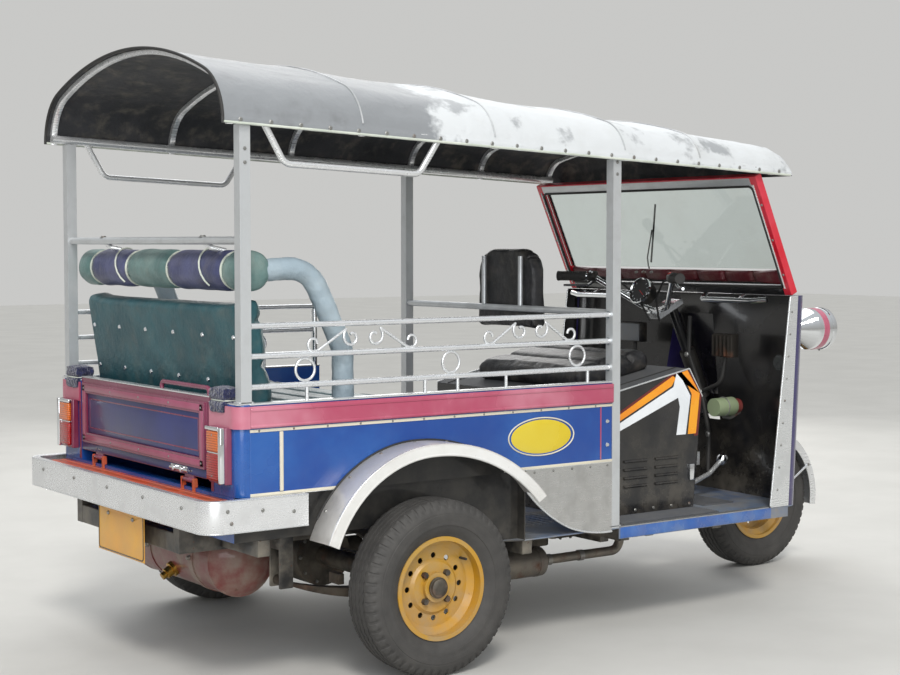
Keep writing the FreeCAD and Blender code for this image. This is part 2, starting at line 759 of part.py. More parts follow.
def hanger(x, side):
    """Bracket from the rail out to the spring, with cheeks either side of the spring's eye."""
    rail_z = RAIL_HIGH_Z if x < 0 else RAIL_LOW_Z
    z_arm = max(rail_z, SPRING_EYE_Z + EYE_R + HANGER_T)
    y0, y1 = side_span(side, RAIL_Y + RAIL_W / 2.0, SPRING_Y + SPRING_W / 2.0 + HANGER_T)
    pieces = [box(x - HANGER_HALF, x + HANGER_HALF, y0, y1, z_arm, rail_z + RAIL_H)]
    for y in (SPRING_Y - SPRING_W / 2.0 - HANGER_T, SPRING_Y + SPRING_W / 2.0 + SEAT):
        c0, c1 = side_span(side, y, y + HANGER_T - SEAT)
        pieces.append(box(x - HANGER_HALF, x + HANGER_HALF, c0, c1, SPRING_EYE_Z - 20.0, z_arm))
    return fuse(pieces)


def engine_block():
    """Engine on the bearers under the driver's seat, with its gearbox behind and below."""
    low = RAIL_LOW_Z
    engine = box(ENGINE_REAR_X, ENGINE_FRONT_X, -ENGINE_HALF_W, ENGINE_HALF_W, low, low + ENGINE_H)
    gearbox = box(GEARBOX_REAR_X, ENGINE_REAR_X + 20.0, -GEARBOX_HALF_W, GEARBOX_HALF_W,
                  low - 90.0, low + 45.0)
    return fuse([engine, gearbox])


def propshaft():
    start = DIFF_R + PINION_LEN + SHAFT_END_GAP
    return rod((start, 0, TYRE_R), (GEARBOX_REAR_X - SHAFT_END_GAP, 0, SHAFT_FRONT_Z), SHAFT_R)


def exhaust():
    """Pipe from the engine's side, low silencer and tail pipe."""
    y = -EXHAUST_Y
    z = EXHAUST_Z
    rise = RAIL_LOW_Z + 31.0
    start = -ENGINE_HALF_W - SEAT
    x = EXHAUST_X
    path = ((x, start, rise), (x, y, rise), (x, y, z), (SILENCER_FRONT_X, y, z))
    pipe = bent_tube(path, EXHAUST_PIPE_R, 40.0)
    silencer = rod((SILENCER_FRONT_X, y, z), (SILENCER_REAR_X, y, z), SILENCER_R)
    tail = rod((SILENCER_REAR_X, y, z), (SILENCER_REAR_X - TAIL_PIPE_LEN, y, z), EXHAUST_PIPE_R)
    return fuse([pipe, silencer, tail])


def gas_tank():
    """Cylinder with dished ends across the frame behind the axle, hung by two straps."""
    z = RAIL_HIGH_Z + RAIL_H - SEAT - STRAP_T - TANK_R
    neck_y = TANK_HALF - TANK_DOME
    dish_r = (TANK_R**2 + TANK_DOME**2) / (2.0 * TANK_DOME)
    dish = Part.makeSphere(dish_r, V(TANK_X, TANK_HALF - dish_r, z))
    reach = 2.0 * TANK_R
    dish = dish.common(box(TANK_X - reach, TANK_X + reach, neck_y, 2.0 * TANK_HALF, z - reach, z + reach))
    shell = rod((TANK_X, -neck_y, z), (TANK_X, neck_y, z), TANK_R)
    half = STRAP_W / 2.0
    straps = [rod((TANK_X, y - half, z), (TANK_X, y + half, z), TANK_R + STRAP_T)
              for y in (-STRAP_Y, STRAP_Y)]
    return fuse([shell] + both_sides(dish) + straps)


def apron_arcs(corner, z, y, r, bow):
    """Round corner, bowed front and round corner of the cowl's plan, which the floor follows."""
    f = corner + r
    d = r * math.sqrt(0.5)
    return [
        arc((corner, -y, z), (corner + d, -(y - r) - d, z), (f, r - y, z)),
        arc((f, r - y, z), (f + bow, 0, z), (f, y - r, z)),
        arc((f, y - r, z), (corner + d, (y - r) + d, z), (corner, y, z)),
    ]


def floor_pan():
    """Flat floor with folded edges, and the foot well's walls beside the rear wheels."""
    z0 = floor_top() - FLOOR_T
    z1 = floor_top()
    y = BODY_HALF_W
    t = FLOOR_T
    corner = COWL_LOW_CORNER_X
    edges = apron_arcs(corner, z0, y, COWL_CORNER_R, COWL_BOW) + [
        line((BENCH_FRONT_X, -WELL_Y, z0), (WELL_CORNER_X, -WELL_Y, z0)),
        line((WELL_CORNER_X, -WELL_Y, z0), (WELL_FRONT_X, -y, z0)),
        line((WELL_FRONT_X, -y, z0), (corner, -y, z0)),
        line((corner, y, z0), (WELL_FRONT_X, y, z0)),
        line((WELL_FRONT_X, y, z0), (WELL_CORNER_X, WELL_Y, z0)),
        line((WELL_CORNER_X, WELL_Y, z0), (BENCH_FRONT_X, WELL_Y, z0)),
        line((BENCH_FRONT_X, WELL_Y, z0), (BENCH_FRONT_X, -WELL_Y, z0)),
    ]
    pan = Part.Face(wire_of(edges)).extrude(V(0, 0, t))
    lip_z = z1 - FLOOR_EDGE_H
    lip = box(B_POST_X + POST / 2.0, corner, y - t, y, lip_z, z1)
    entry_lip = box(WELL_FRONT_X + t, B_POST_X + POST / 2.0, y - t, y, lip_z, z1)
    wall = box(BENCH_FRONT_X, WELL_FRONT_X + t, WELL_Y - t, WELL_Y, z0, PANEL_BOTTOM_Z)
    toe = box(WELL_FRONT_X, WELL_FRONT_X + t, WELL_Y - t, y - SKIRT_T, z0, PANEL_BOTTOM_Z)
    gap = CLEAR + t
    engine_hole = box(ENGINE_REAR_X - gap, ENGINE_FRONT_X + gap, -ENGINE_HALF_W - gap,
                      ENGINE_HALF_W + gap, z0 - 1.0, z1 + 1.0)
    neck_hole = box(RAIL_FRONT_X - CROSS_SIZE - 1.0, corner + COWL_CORNER_R + COWL_BOW + 1.0,
                    -NECK_HALF_W - t, NECK_HALF_W + t, z0 - 1.0, z1 + 1.0)
    skirt_slot = box(WELL_FRONT_X - 1.0, SKIRT_EDGE[-1][0] + 1.0, -y - 1.0, SKIRT_T + SEAT - y,
                     z0 - 1.0, z1 + 1.0)
    solid = fuse([pan, entry_lip] + both_sides(lip) + both_sides(wall) + both_sides(toe))
    return solid.cut([engine_hole, neck_hole, skirt_slot])


def side_panels():
    front = B_POST_X - POST / 2.0
    rear = BODY_REAR_X + PILLAR_DEPTH
    inner = BODY_HALF_W - PANEL_T
    right = box(rear, front, -BODY_HALF_W, -inner, PANEL_BOTTOM_Z, PANEL_TOP_Z)
    left = box(rear, ENTRY_REAR_X, inner, BODY_HALF_W, PANEL_BOTTOM_Z, PANEL_TOP_Z)
    return Part.makeCompound([right, left])


def rear_corner_pillars():
    pillar = box(BODY_REAR_X, BODY_REAR_X + PILLAR_DEPTH, PILLAR_INNER_Y, BODY_HALF_W,
                 PANEL_BOTTOM_Z, PANEL_TOP_Z)
    corner = [e for e in pillar.Edges
              if abs(e.BoundBox.XMax - BODY_REAR_X) < 0.1 and e.BoundBox.YMin > BODY_HALF_W - 0.1
              and e.BoundBox.ZLength > 100.0]
    return Part.makeCompound(both_sides(pillar.makeFillet(PILLAR_ROUND_R, corner)))


def tail_lamps():
    y0 = (PILLAR_INNER_Y + BODY_HALF_W - PILLAR_ROUND_R - LAMP_W) / 2.0 + LAMP_SHIFT
    lamp = box(BODY_REAR_X - LAMP_DEPTH, BODY_REAR_X, y0, y0 + LAMP_W,
               LAMP_BOTTOM_Z, LAMP_BOTTOM_Z + LAMP_H)
    rear = [e for e in lamp.Edges if abs(e.BoundBox.XMax - BODY_REAR_X + LAMP_DEPTH) < 0.1]
    return Part.makeCompound(both_sides(lamp.makeFillet(LAMP_ROUND_R, rear)))


def tailgate():
    half = PILLAR_INNER_Y - GATE_SIDE_GAP
    x0 = BODY_REAR_X
    x1 = x0 + GATE_T
    low = GATE_PIVOT_Z + GATE_LIFT
    panel = box(x0, x1, -half, half, low, GATE_TOP_Z)
    frame_x = x0 - GATE_FRAME_T
    y = half - GATE_FRAME_SIDE
    z0, z1 = low + GATE_FRAME_LOW, GATE_TOP_Z - GATE_FRAME_TOP
    w = GATE_FRAME_W
    frame = box(frame_x, x0, -y, y, z0, z1).cut(box(frame_x - 1.0, x0, w - y, y - w, z0 + w, z1 - w))
    mid = x0 + GATE_T / 2.0
    foot_z, top_z = GATE_TOP_Z - 2.0, GATE_TOP_Z + GATE_HANDLE_RISE
    ya, yb = GATE_HANDLE_YS
    path = ((mid, ya, foot_z), (mid, ya, top_z), (mid, yb, top_z), (mid, yb, foot_z))
    handle = bent_tube(path, GATE_HANDLE_R, 2.0 * GATE_HANDLE_R)
    pieces = [panel, frame, handle]
    bores = []
    for y in (-HINGE_Y, HINGE_Y):
        a, b = y - HINGE_BARREL_LEN / 2.0, y + HINGE_BARREL_LEN / 2.0
        pieces.append(rod((x0, a, GATE_PIVOT_Z), (x0, b, GATE_PIVOT_Z), HINGE_BARREL_R))
        pieces.append(box(x0, x0 + HINGE_BARREL_R, a, b, GATE_PIVOT_Z, low))
        bores.append(rod((x0, a - 1.0, GATE_PIVOT_Z), (x0, b + 1.0, GATE_PIVOT_Z), HINGE_PIN_R + RUNNING))
    return fuse(pieces).cut(bores)


def bumper_deck():
    """Deck plate behind the tailgate, with the lugs and pins of the tailgate's hinges."""
    half = BUMPER_HALF_W - DECK_SIDE_GAP
    low = DECK_TOP_Z - DECK_T
    top = GATE_PIVOT_Z + HINGE_LUG_HALF
    pieces = [box(BUMPER_REAR_X + SHEET_T, BODY_REAR_X, -half, half, low, DECK_TOP_Z)]
    for y in (-HINGE_Y, HINGE_Y):
        near = HINGE_BARREL_LEN / 2.0 + 2.0
        reach = near + HINGE_LUG_LEN
        pin = rod((BODY_REAR_X, y - reach, GATE_PIVOT_Z), (BODY_REAR_X, y + reach, GATE_PIVOT_Z), HINGE_PIN_R)
        pieces.append(pin)
        for s in (-1, 1):
            a, b = sorted((y + s * near, y + s * reach))
            pieces.append(box(BODY_REAR_X - HINGE_LUG_HALF, BODY_REAR_X, a, b, low, top))
            pieces.append(box(BODY_REAR_X, BODY_REAR_X + HINGE_LUG_HALF, a, b, PANEL_BOTTOM_Z + 1.0, top))
    return fuse(pieces)


def u_plan(offset, front_x):
    """Plan outline of the bumper: straight sides joined to the back by round corners."""
    x0 = BUMPER_REAR_X + offset
    y = BUMPER_HALF_W - offset
    r = BUMPER_CORNER_R - offset
    d = r * (1.0 - math.sqrt(0.5))
    return [
        line((front_x, -y, 0), (x0 + r, -y, 0)),
        arc((x0 + r, -y, 0), (x0 + d, d - y, 0), (x0, r - y, 0)),
        line((x0, r - y, 0), (x0, y - r, 0)),
        arc((x0, y - r, 0), (x0 + d, y - d, 0), (x0 + r, y, 0)),
        line((x0 + r, y, 0), (front_x, y, 0)),
    ]


def u_band(width, z0, z1):
    outer = u_plan(0.0, BUMPER_SIDE_END_X)
    inner = u_plan(width, BUMPER_SIDE_END_X)
    x = BUMPER_SIDE_END_X
    y = BUMPER_HALF_W
    ends = [line((x, -y, 0), (x, width - y, 0)), line((x, y, 0), (x, y - width, 0))]
    band = Part.Face(wire_of(outer + inner + ends)).extrude(V(0, 0, z1 - z0))
    band.translate(V(0, 0, z0))
    return band


def rear_bumper():
    web = u_band(SHEET_T, BUMPER_BOTTOM_Z, BUMPER_TOP_Z)
    top = u_band(BUMPER_FLANGE, BUMPER_TOP_Z - SHEET_T, BUMPER_TOP_Z)
    low = u_band(BUMPER_FLANGE, BUMPER_BOTTOM_Z, BUMPER_BOTTOM_Z + SHEET_T)
    return fuse([web, top, low])


def number_plate():
    """Blank plate on a folded tab under the bumper's lower flange."""
    y0 = PLATE_Y - PLATE_W / 2.0
    top = BUMPER_BOTTOM_Z - SEAT
    plate = box(PLATE_X - PLATE_T, PLATE_X, y0, y0 + PLATE_W, top - PLATE_H, top)
    tab = box(BUMPER_REAR_X + CLEAR, PLATE_X, y0 + PLATE_TAB_INSET, y0 + PLATE_W - PLATE_TAB_INSET,
              top - PLATE_T, top)
    holes = []
    for s in (-1, 1):
        y = PLATE_Y + s * PLATE_HOLE_SPACING / 2.0
        z = top - PLATE_HOLE_DROP
        holes.append(rod((PLATE_X - 10.0, y, z), (PLATE_X + 10.0, y, z), PLATE_HOLE_R))
    return fuse([plate, tab]).cut(holes)


def flare_band(depth, y0, y1):
    """Band that follows the flare's outline, depth thick towards the axle, from y0 to y1."""
    axle = V(0.0, 0.0, TYRE_R)

    def inward(point):
        p = V(point[0], 0, point[1])
        q = p + (axle - p).normalize() * depth
        return (q.x, y0, q.z)

    def on(point):
        return (point[0], y0, point[1])

    outer = [
        arc(on(FLARE_REAR), on(FLARE_REAR_MID), on(FLARE_TOP)),
        arc(on(FLARE_TOP), on(FLARE_FRONT_MID), on(FLARE_FRONT)),
    ]
    inner = [
        arc(inward(FLARE_REAR), inward(FLARE_REAR_MID), inward(FLARE_TOP)),
        arc(inward(FLARE_TOP), inward(FLARE_FRONT_MID), inward(FLARE_FRONT)),
    ]
    ends = [line(on(FLARE_REAR), inward(FLARE_REAR)), line(on(FLARE_FRONT), inward(FLARE_FRONT))]
    return Part.Face(wire_of(outer + inner + ends)).extrude(V(0, y1 - y0, 0))


def arch_flares():
    crown = flare_band(FLARE_T, BODY_HALF_W, FLARE_OUT_Y)
    lip = flare_band(FLARE_LIP, FLARE_OUT_Y - FLARE_T, FLARE_OUT_Y)
    return Part.makeCompound(both_sides(fuse([crown, lip])))


def skirt():
    """Sheet below the right side panel, from the wheel-arch flare to the post."""
    top_z = PANEL_BOTTOM_Z
    y = -BODY_HALF_W
    (x0, z0), (x1, z1), (x2, z2), (x3, z3), (x4, z4) = SKIRT_EDGE
    edges = [
        arc((x0, y, z0), (x1, y, z1), (x2, y, z2)),
        arc((x2, y, z2), (x3, y, z3), (x4, y, z4)),
        line((x4, y, z4), (x4, y, top_z)),
        line((x4, y, top_z), (x0, y, top_z)),
        line((x0, y, top_z), (x0, y, z0)),
    ]
    return Part.Face(wire_of(edges)).extrude(V(0, SKIRT_T, 0))


def rub_rails():
    front = B_POST_X - POST / 2.0
    rear = BODY_REAR_X + PILLAR_DEPTH
    right = box(rear, front, -BODY_HALF_W - RUB_T, -BODY_HALF_W, RUB_BOTTOM_Z, RUB_TOP_Z)
    left = box(rear, ENTRY_REAR_X, BODY_HALF_W, BODY_HALF_W + RUB_T, RUB_BOTTOM_Z, RUB_TOP_Z)
    return Part.makeCompound([right, left])


def bench_box():
    """Hollow box under the bench, open at the tailgate, with its riser down to the floor."""
    half = BODY_HALF_W - PANEL_T
    rear = BODY_REAR_X + PILLAR_DEPTH
    low = RAIL_HIGH_Z + RAIL_H
    inner_half = half - BENCH_WALL
    outer = box(rear, BENCH_FRONT_X, -half, half, low, BENCH_TOP_Z)
    hollow = box(rear - 1.0, BENCH_FRONT_X - BENCH_WALL, -inner_half, inner_half,
                 low + BENCH_WALL, BENCH_TOP_Z - BENCH_WALL)
    riser = box(BENCH_FRONT_X - BENCH_WALL, BENCH_FRONT_X, BENCH_WALL - half, half - BENCH_WALL,
                floor_top() - FLOOR_T, low)
    sill = box(BODY_REAR_X, rear, -half, half, low, PANEL_BOTTOM_Z)
    return fuse([outer.cut(hollow), riser, sill])


def rounded(shape, radius, along):
    """Rounds the straight edges of a block that run along one axis."""
    spans = {"x": "XLength", "y": "YLength", "z": "ZLength"}
    edges = [e for e in shape.Edges if getattr(e.BoundBox, spans[along]) > 0.9 * e.Length]
    return shape.makeFillet(radius, edges)


def bench_cushion():
    block = box(BACK_BOTTOM_X + SEAT, BENCH_FRONT_X + CUSHION_OVERHANG, -SEAT_HALF_W, SEAT_HALF_W,
                BENCH_TOP_Z + SEAT, BENCH_TOP_Z + CUSHION_T)
    return rounded(block, CUSHION_ROUND_R, "y")


def back_line(z):
    """x of the backrest's front face at height z."""
    return BACK_BOTTOM_X - (z - BENCH_TOP_Z) * math.tan(math.radians(BACK_RAKE))


def bench_backrest():
    z0 = BENCH_TOP_Z + SEAT
    z1 = BACK_TOP_Z
    outline = (
        (back_line(z0), z0), (back_line(z1), z1), (back_line(z1) - BACK_T, z1), (back_line(z0) - BACK_T, z0),
    )
    return rounded(side_profile(outline, -SEAT_HALF_W, SEAT_HALF_W), BACK_ROUND_R, "y")


def bolster_roll():
    """Long roll on top of the backrest, with an arm at each end that bends down to the cushion."""
    x = back_line(BACK_TOP_Z) - BACK_T / 2.0
    z = BACK_TOP_Z + ROLL_R + SEAT
    roll = rod((x, -SEAT_HALF_W, z), (x, SEAT_HALF_W, z), ROLL_R)
    y = SEAT_HALF_W - ARM_R - ARM_INSET
    seat_z = BENCH_TOP_Z + CUSHION_T + SEAT
    front = x + ARM_REACH
    path = ((x, y, z), (x + ARM_TOP_RUN, y, z + ARM_RISE), (front, y, ARM_KNEE_Z), (front, y, seat_z))
    return fuse([roll] + both_sides(bent_tube(path, ARM_R, ARM_BEND)))


def flat_arc(cx, cz, r, a0, a1, y):
    """Flat-bar arc in a plane of constant y, angles in degrees from +X towards +Z."""
    def at(radius, angle):
        t = math.radians(angle)
        return (cx + radius * math.cos(t), y, cz + radius * math.sin(t))

    mid = (a0 + a1) / 2.0
    ro, ri = r + SCROLL_W / 2.0, r - SCROLL_W / 2.0
    edges = [
        arc(at(ro, a0), at(ro, mid), at(ro, a1)),
        arc(at(ri, a0), at(ri, mid), at(ri, a1)),
        line(at(ri, a0), at(ro, a0)),
        line(at(ri, a1), at(ro, a1)),
    ]
    return Part.Face(wire_of(edges)).extrude(V(0, SCROLL_T, 0))


def flat_ring(cx, cz, r, y):
    ring = rod((cx, y, cz), (cx, y + SCROLL_T, cz), r + SCROLL_W / 2.0)
    return ring.cut(rod((cx, y - 1.0, cz), (cx, y + SCROLL_T + 1.0, cz), r - SCROLL_W / 2.0))


def flat_bar(x0, z0, x1, z1, y):
    """Straight flat bar between two points of the rail's plane."""
    a, b = V(x0, y, z0), V(x1, y, z1)
    n = (b - a).normalize().cross(V(0, 1, 0)) * (SCROLL_W / 2.0)
    ring = [a + n, b + n, b - n, a - n]
    return Part.Face(Part.makePolygon(ring + ring[:1])).extrude(V(0, SCROLL_T, 0))


def scroll_motif(x0, x1, y):
    """Two diagonals that meet a pair of scrolls, with a hooked scroll at the foot of each."""
    low, high = RAIL_TUBE_ZS[1], RAIL_TUBE_ZS[2]
    mid = (x0 + x1) / 2.0
    r = (high - low) / 2.0 - RAIL_TUBE_R + SCROLL_W / 2.0 - 1.0
    hook_z = low + RAIL_TUBE_R + HOOK_R
    pieces = [flat_ring(mid + s * r, (low + high) / 2.0, r, y) for s in (-1, 1)]
    for s, foot in ((-1, x0), (1, x1)):
        start, end = (30.0, 270.0) if s < 0 else (-90.0, 150.0)
        pieces.append(flat_bar(mid + s * 2.0 * r, high, foot, low, y))
        pieces.append(flat_arc(foot + s * HOOK_R, hook_z, HOOK_R, start, end, y))
    return pieces


def side_rail(x0, x1, side):
    """Three tubes from x0 to x1, with the rings, scrolls and stubs that lie between those ends."""
    y = side * (BODY_HALF_W - POST / 2.0)
    flat_y = y - SCROLL_T / 2.0
    low, mid = RAIL_TUBE_ZS[0], RAIL_TUBE_ZS[1]
    pieces = [rod((x0, y, z), (x1, y, z), RAIL_TUBE_R) for z in RAIL_TUBE_ZS]
    pieces += [rod((x, y, PANEL_TOP_Z), (x, y, low), RAIL_TUBE_R) for x in RAIL_STUB_XS if x < x1]
    pieces += [flat_ring(x, (low + mid) / 2.0, RING_R, flat_y) for x in RAIL_RING_XS if x + RING_R < x1]
    for left, right in RAIL_MOTIFS:
        if right + HOOK_R < x1:
            pieces += scroll_motif(left, right, flat_y)
    return fuse(pieces)


def side_rails():
    """Rails above the side panels: the left one ends at an upright beside the passengers' way in."""
    x0 = REAR_POST_X + POST / 2.0 + SEAT
    end_x = ENTRY_REAR_X - RAIL_END_GAP
    y = BODY_HALF_W - POST / 2.0
    right = side_rail(x0, B_POST_X - POST / 2.0 - SEAT, -1)
    end = rod((end_x, y, PANEL_TOP_Z), (end_x, y, RAIL_TUBE_ZS[2] + RAIL_TUBE_R), RAIL_END_R)
    return Part.makeCompound([right, fuse([side_rail(x0, end_x, 1), end])])


def engine_cover():
    outer = side_profile(COVER_OUTLINE, -COVER_HALF_W, COVER_HALF_W)
    (x0, z0), (x1, z1), (x2, z2), (x3, z3), (x4, z4) = COVER_OUTLINE
    t = COVER_T
    inside = (
        (x0 + t, z0 - 1.0), (x0 + t, z1 - t), (x2 - t, z2 - 1.4 * t), (x3 - 1.3 * t, z3), (x4 - t, z4 - 1.0),
    )
    return outer.cut(side_profile(inside, t - COVER_HALF_W, COVER_HALF_W - t))


def driver_back_pad():
    """Small pad with round upper corners, on the bar and stays between the driver's posts."""
    x0 = B_POST_X + BACK_TUBE_R + SEAT
    x1 = x0 + DRIVER_BACK_T
    top = DRIVER_BACK_TOP_Z
    pad = box(x0, x1, -DRIVER_BACK_HALF_W, DRIVER_BACK_HALF_W, DRIVER_BACK_LOW_Z, top)
    along = [e for e in pad.Edges if e.BoundBox.XLength > DRIVER_BACK_T / 2.0]
    corners = [e for e in along if e.BoundBox.ZMin > top - 1.0]
    pad = pad.makeFillet(DRIVER_BACK_CORNER_R, corners)
    front = [e for e in pad.Edges if e.BoundBox.XMin > x1 - 1.0]
    return pad.makeFillet(DRIVER_BACK_EDGE_R, front)


def driver_seat():
    """Cushion on the slope of the engine cover, and the back pad behind it."""
    (x1, z1), (x2, z2) = COVER_OUTLINE[1], COVER_OUTLINE[2]
    slope = (z2 - z1) / (x2 - x1)
    xa, xb = x1 + DRIVER_SEAT_REAR_GAP, x2 - DRIVER_SEAT_FRONT_GAP
    za, zb = z1 + slope * (xa - x1) + SEAT, z1 + slope * (xb - x1) + SEAT
    outline = ((xa, za), (xb, zb), (xb, zb + DRIVER_SEAT_T), (xa, za + DRIVER_SEAT_T))
    block = side_profile(outline, -DRIVER_SEAT_HALF_W, DRIVER_SEAT_HALF_W)
    return Part.makeCompound([rounded(block, DRIVER_SEAT_ROUND_R, "y"), driver_back_pad()])


def cowl_bottom():
    return floor_top() + SEAT


def cowl_outline(z, offset):
    """Rear edge, corner start, corner radius and half width of the cowl at height z."""
    share = (z - cowl_bottom()) / (SCREEN_FOOT_Z - cowl_bottom())
    rear = COWL_LOW_REAR_X + (COWL_TOP_REAR_X - COWL_LOW_REAR_X) * share
    corner = COWL_LOW_CORNER_X + (COWL_TOP_CORNER_X - COWL_LOW_CORNER_X) * share
    return rear, corner, COWL_CORNER_R - offset, BODY_HALF_W - offset


def cowl_plan(z, back, offset):
    """Closed plan of the cowl at height z: an offset from its outside, cut off at the back."""
    rear, corner, r, y = cowl_outline(z, offset)
    return wire_of(apron_arcs(corner, z, y, r, COWL_BOW) + [
        line((corner, y, z), (back, y, z)),
        line((back, y, z), (back, -y, z)),
        line((back, -y, z), (corner, -y, z)),
    ])


def cowl_wire(z):
    """Closed plan of the apron's sheet at height z."""
    rear, corner, r, y = cowl_outline(z, 0.0)
    edges = []
    for offset in (0.0, COWL_T):
        edges += apron_arcs(corner, z, y - offset, r - offset, COWL_BOW)
        edges.append(line((rear, offset - y, z), (corner, offset - y, z)))
        edges.append(line((corner, y - offset, z), (rear, y - offset, z)))
    edges.append(line((rear, -y, z), (rear, COWL_T - y, z)))
    edges.append(line((rear, y, z), (rear, y - COWL_T, z)))
    return wire_of(edges)


def nose_section(z, offset):
    """Closed plan of the nose that covers the steering head, at height z."""
    share = (z - NOSE_BOTTOM_Z) / (NOSE_TOP_Z - NOSE_BOTTOM_Z)
    half, front, back, r = [low + (high - low) * share for low, high in zip(NOSE_LOW, NOSE_HIGH)]
    half -= offset
    front -= offset
    r -= offset
    d = r * (1.0 - math.sqrt(0.5))
    return wire_of([
        line((back, -half, z), (front - r, -half, z)),
        arc((front - r, -half, z), (front - d, d - half, z), (front, r - half, z)),
        line((front, r - half, z), (front, half - r, z)),
        arc((front, half - r, z), (front - d, half - d, z), (front - r, half, z)),
        line((front - r, half, z), (back, half, z)),
        line((back, half, z), (back, -half, z)),
    ])


def lofted(section, z0, z1):
    return Part.makeLoft([section(z0), section(z1)], True, True)


def front_cowl():
    """Apron with round corners and a lid, and the nose that covers the steering head."""
    top = SCREEN_FOOT_Z
    low = cowl_bottom()
    apron = lofted(cowl_wire, low, top)
    corner = cowl_outline(top, 0.0)[1]
    lid = Part.Face(cowl_plan(top, corner - COWL_T, 0.0)).extrude(V(0, 0, -COWL_T))
    inside = lofted(lambda z: cowl_plan(z, RAIL_FRONT_X, COWL_T), low, top)
    nose = lofted(lambda z: nose_section(z, 0.0), NOSE_BOTTOM_Z, NOSE_TOP_Z)
    hollow = lofted(lambda z: nose_section(z, COWL_T), NOSE_BOTTOM_Z, NOSE_TOP_Z)
    roof_z = NOSE_TOP_Z - COWL_T
    hollow = hollow.common(box(RAIL_FRONT_X, WHEELBASE, -BODY_HALF_W, BODY_HALF_W, NOSE_BOTTOM_Z, roof_z))
    return fuse([apron, lid, nose.cut(inside)]).cut(hollow)


def cowl_edge_strips():
    y = BODY_HALF_W
    low, top = cowl_bottom(), SCREEN_FOOT_Z
    outline = (
        (COWL_LOW_REAR_X, low), (COWL_LOW_CORNER_X, low), (COWL_TOP_CORNER_X, top), (COWL_TOP_REAR_X, top),
    )
    return Part.makeCompound(both_sides(side_profile(outline, y, y + STRIP_T)))


def screen_height():
    """Length of the windscreen frame up its own slope, from the cowl to the roof's side tubes."""
    a = math.radians(SCREEN_RAKE)
    tube_under = EDGE_Z_AT_AXLE - EDGE_FALL * SCREEN_FOOT_X + ROOF_TUBE_LIFT - ROOF_TUBE_R - SEAT
    return (tube_under - SCREEN_FOOT_Z - SEAT) / (math.cos(a) - EDGE_FALL * math.sin(a))


def lean_screen(shape):
    shape.rotate(V(0, 0, 0), V(0, 1, 0), -SCREEN_RAKE)
    shape.translate(V(SCREEN_FOOT_X, 0, SCREEN_FOOT_Z + SEAT))
    return shape


def windscreen_frame():
    half = BODY_HALF_W - 6.0
    b = SCREEN_BAR
    foot = b * math.tan(math.radians(SCREEN_RAKE))
    top = screen_height()
    outer = box(-b, 0, -half, half, foot, top)
    inner = box(-b - 1.0, 1.0, b - half, half - b, foot + b, top - b)
    return lean_screen(outer.cut(inner))


def windscreen_glass():
    half = BODY_HALF_W - 6.0 - SCREEN_BAR - SEAT
    b = SCREEN_BAR
    foot = b * math.tan(math.radians(SCREEN_RAKE))
    mid = -b / 2.0
    return lean_screen(box(mid - GLASS_T / 2.0, mid + GLASS_T / 2.0, -half, half,
                           foot + b + DASH_H + 2.0 * SEAT, screen_height() - b - SEAT))


def dash_panel():
    """Padded panel that fills the lower part of the windscreen's frame."""
    half = BODY_HALF_W - 6.0 - SCREEN_BAR - SEAT
    foot = SCREEN_BAR * math.tan(math.radians(SCREEN_RAKE)) + SCREEN_BAR + SEAT
    return lean_screen(box(4.0 - SCREEN_BAR, -4.0, -half, half, foot, foot + DASH_H))


def headlamps():
    """Deep round lamps on short arms in front of the cowl's upper corners."""
    ring = rod((LAMP_RING_X, LAMP_Y, LAMP_Z), (LAMP_FRONT_X, LAMP_Y, LAMP_Z), LAMP_R)
    depth = LAMP_RING_X - LAMP_BACK_X
    bowl = Part.makeCone(LAMP_BACK_R, LAMP_R, depth, V(LAMP_BACK_X, LAMP_Y, LAMP_Z), V(1, 0, 0))
    rear, corner, r, y = cowl_outline(LAMP_Z, 0.0)
    arm_y = LAMP_Y - LAMP_BACK_R / 2.0
    arm = rod((corner + r, arm_y, LAMP_Z), (LAMP_BACK_X + CLEAR, arm_y, LAMP_Z), LAMP_ARM_R)
    cowl = lofted(lambda z: cowl_plan(z, rear, -SEAT), cowl_bottom(), SCREEN_FOOT_Z)
    return Part.makeCompound(both_sides(fuse([ring, bowl, arm]).cut(cowl)))


def pedals_levers():
    """Two hanging pedals' arms with their pads, and the bent gear lever beside them."""
    top = floor_top()
    x, pad_x, half = PEDAL_FOOT_X, PEDAL_PAD_X, PEDAL_FOOT_HALF
    solids = []
    for y in PEDAL_YS:
        foot = box(x - half, x + half, y - half, y + half, top, top + 2.0 * half)
        arm = rod((x, y, top + half), (pad_x, y, PEDAL_PAD_Z), PEDAL_ARM_R)
        pad = box(pad_x - PEDAL_PAD_T / 2.0, pad_x + PEDAL_PAD_T / 2.0, y - PEDAL_PAD_HALF_W,
                  y + PEDAL_PAD_HALF_W, PEDAL_PAD_Z - PEDAL_PAD_HALF_H, PEDAL_PAD_Z + PEDAL_PAD_HALF_H)
        solids.append(fuse([foot, arm, pad]))
    x, y = LEVER_FOOT_X, LEVER_Y
    foot = box(x - half, x + half, y - half, y + half, top, top + 2.0 * half)
    path = [(x, y, top + half)] + [(run_x, y, run_z) for run_x, run_z in LEVER_RUN]
    solids.append(fuse([foot, bent_tube(path, LEVER_R, LEVER_BEND)]))
    return Part.makeCompound(solids)


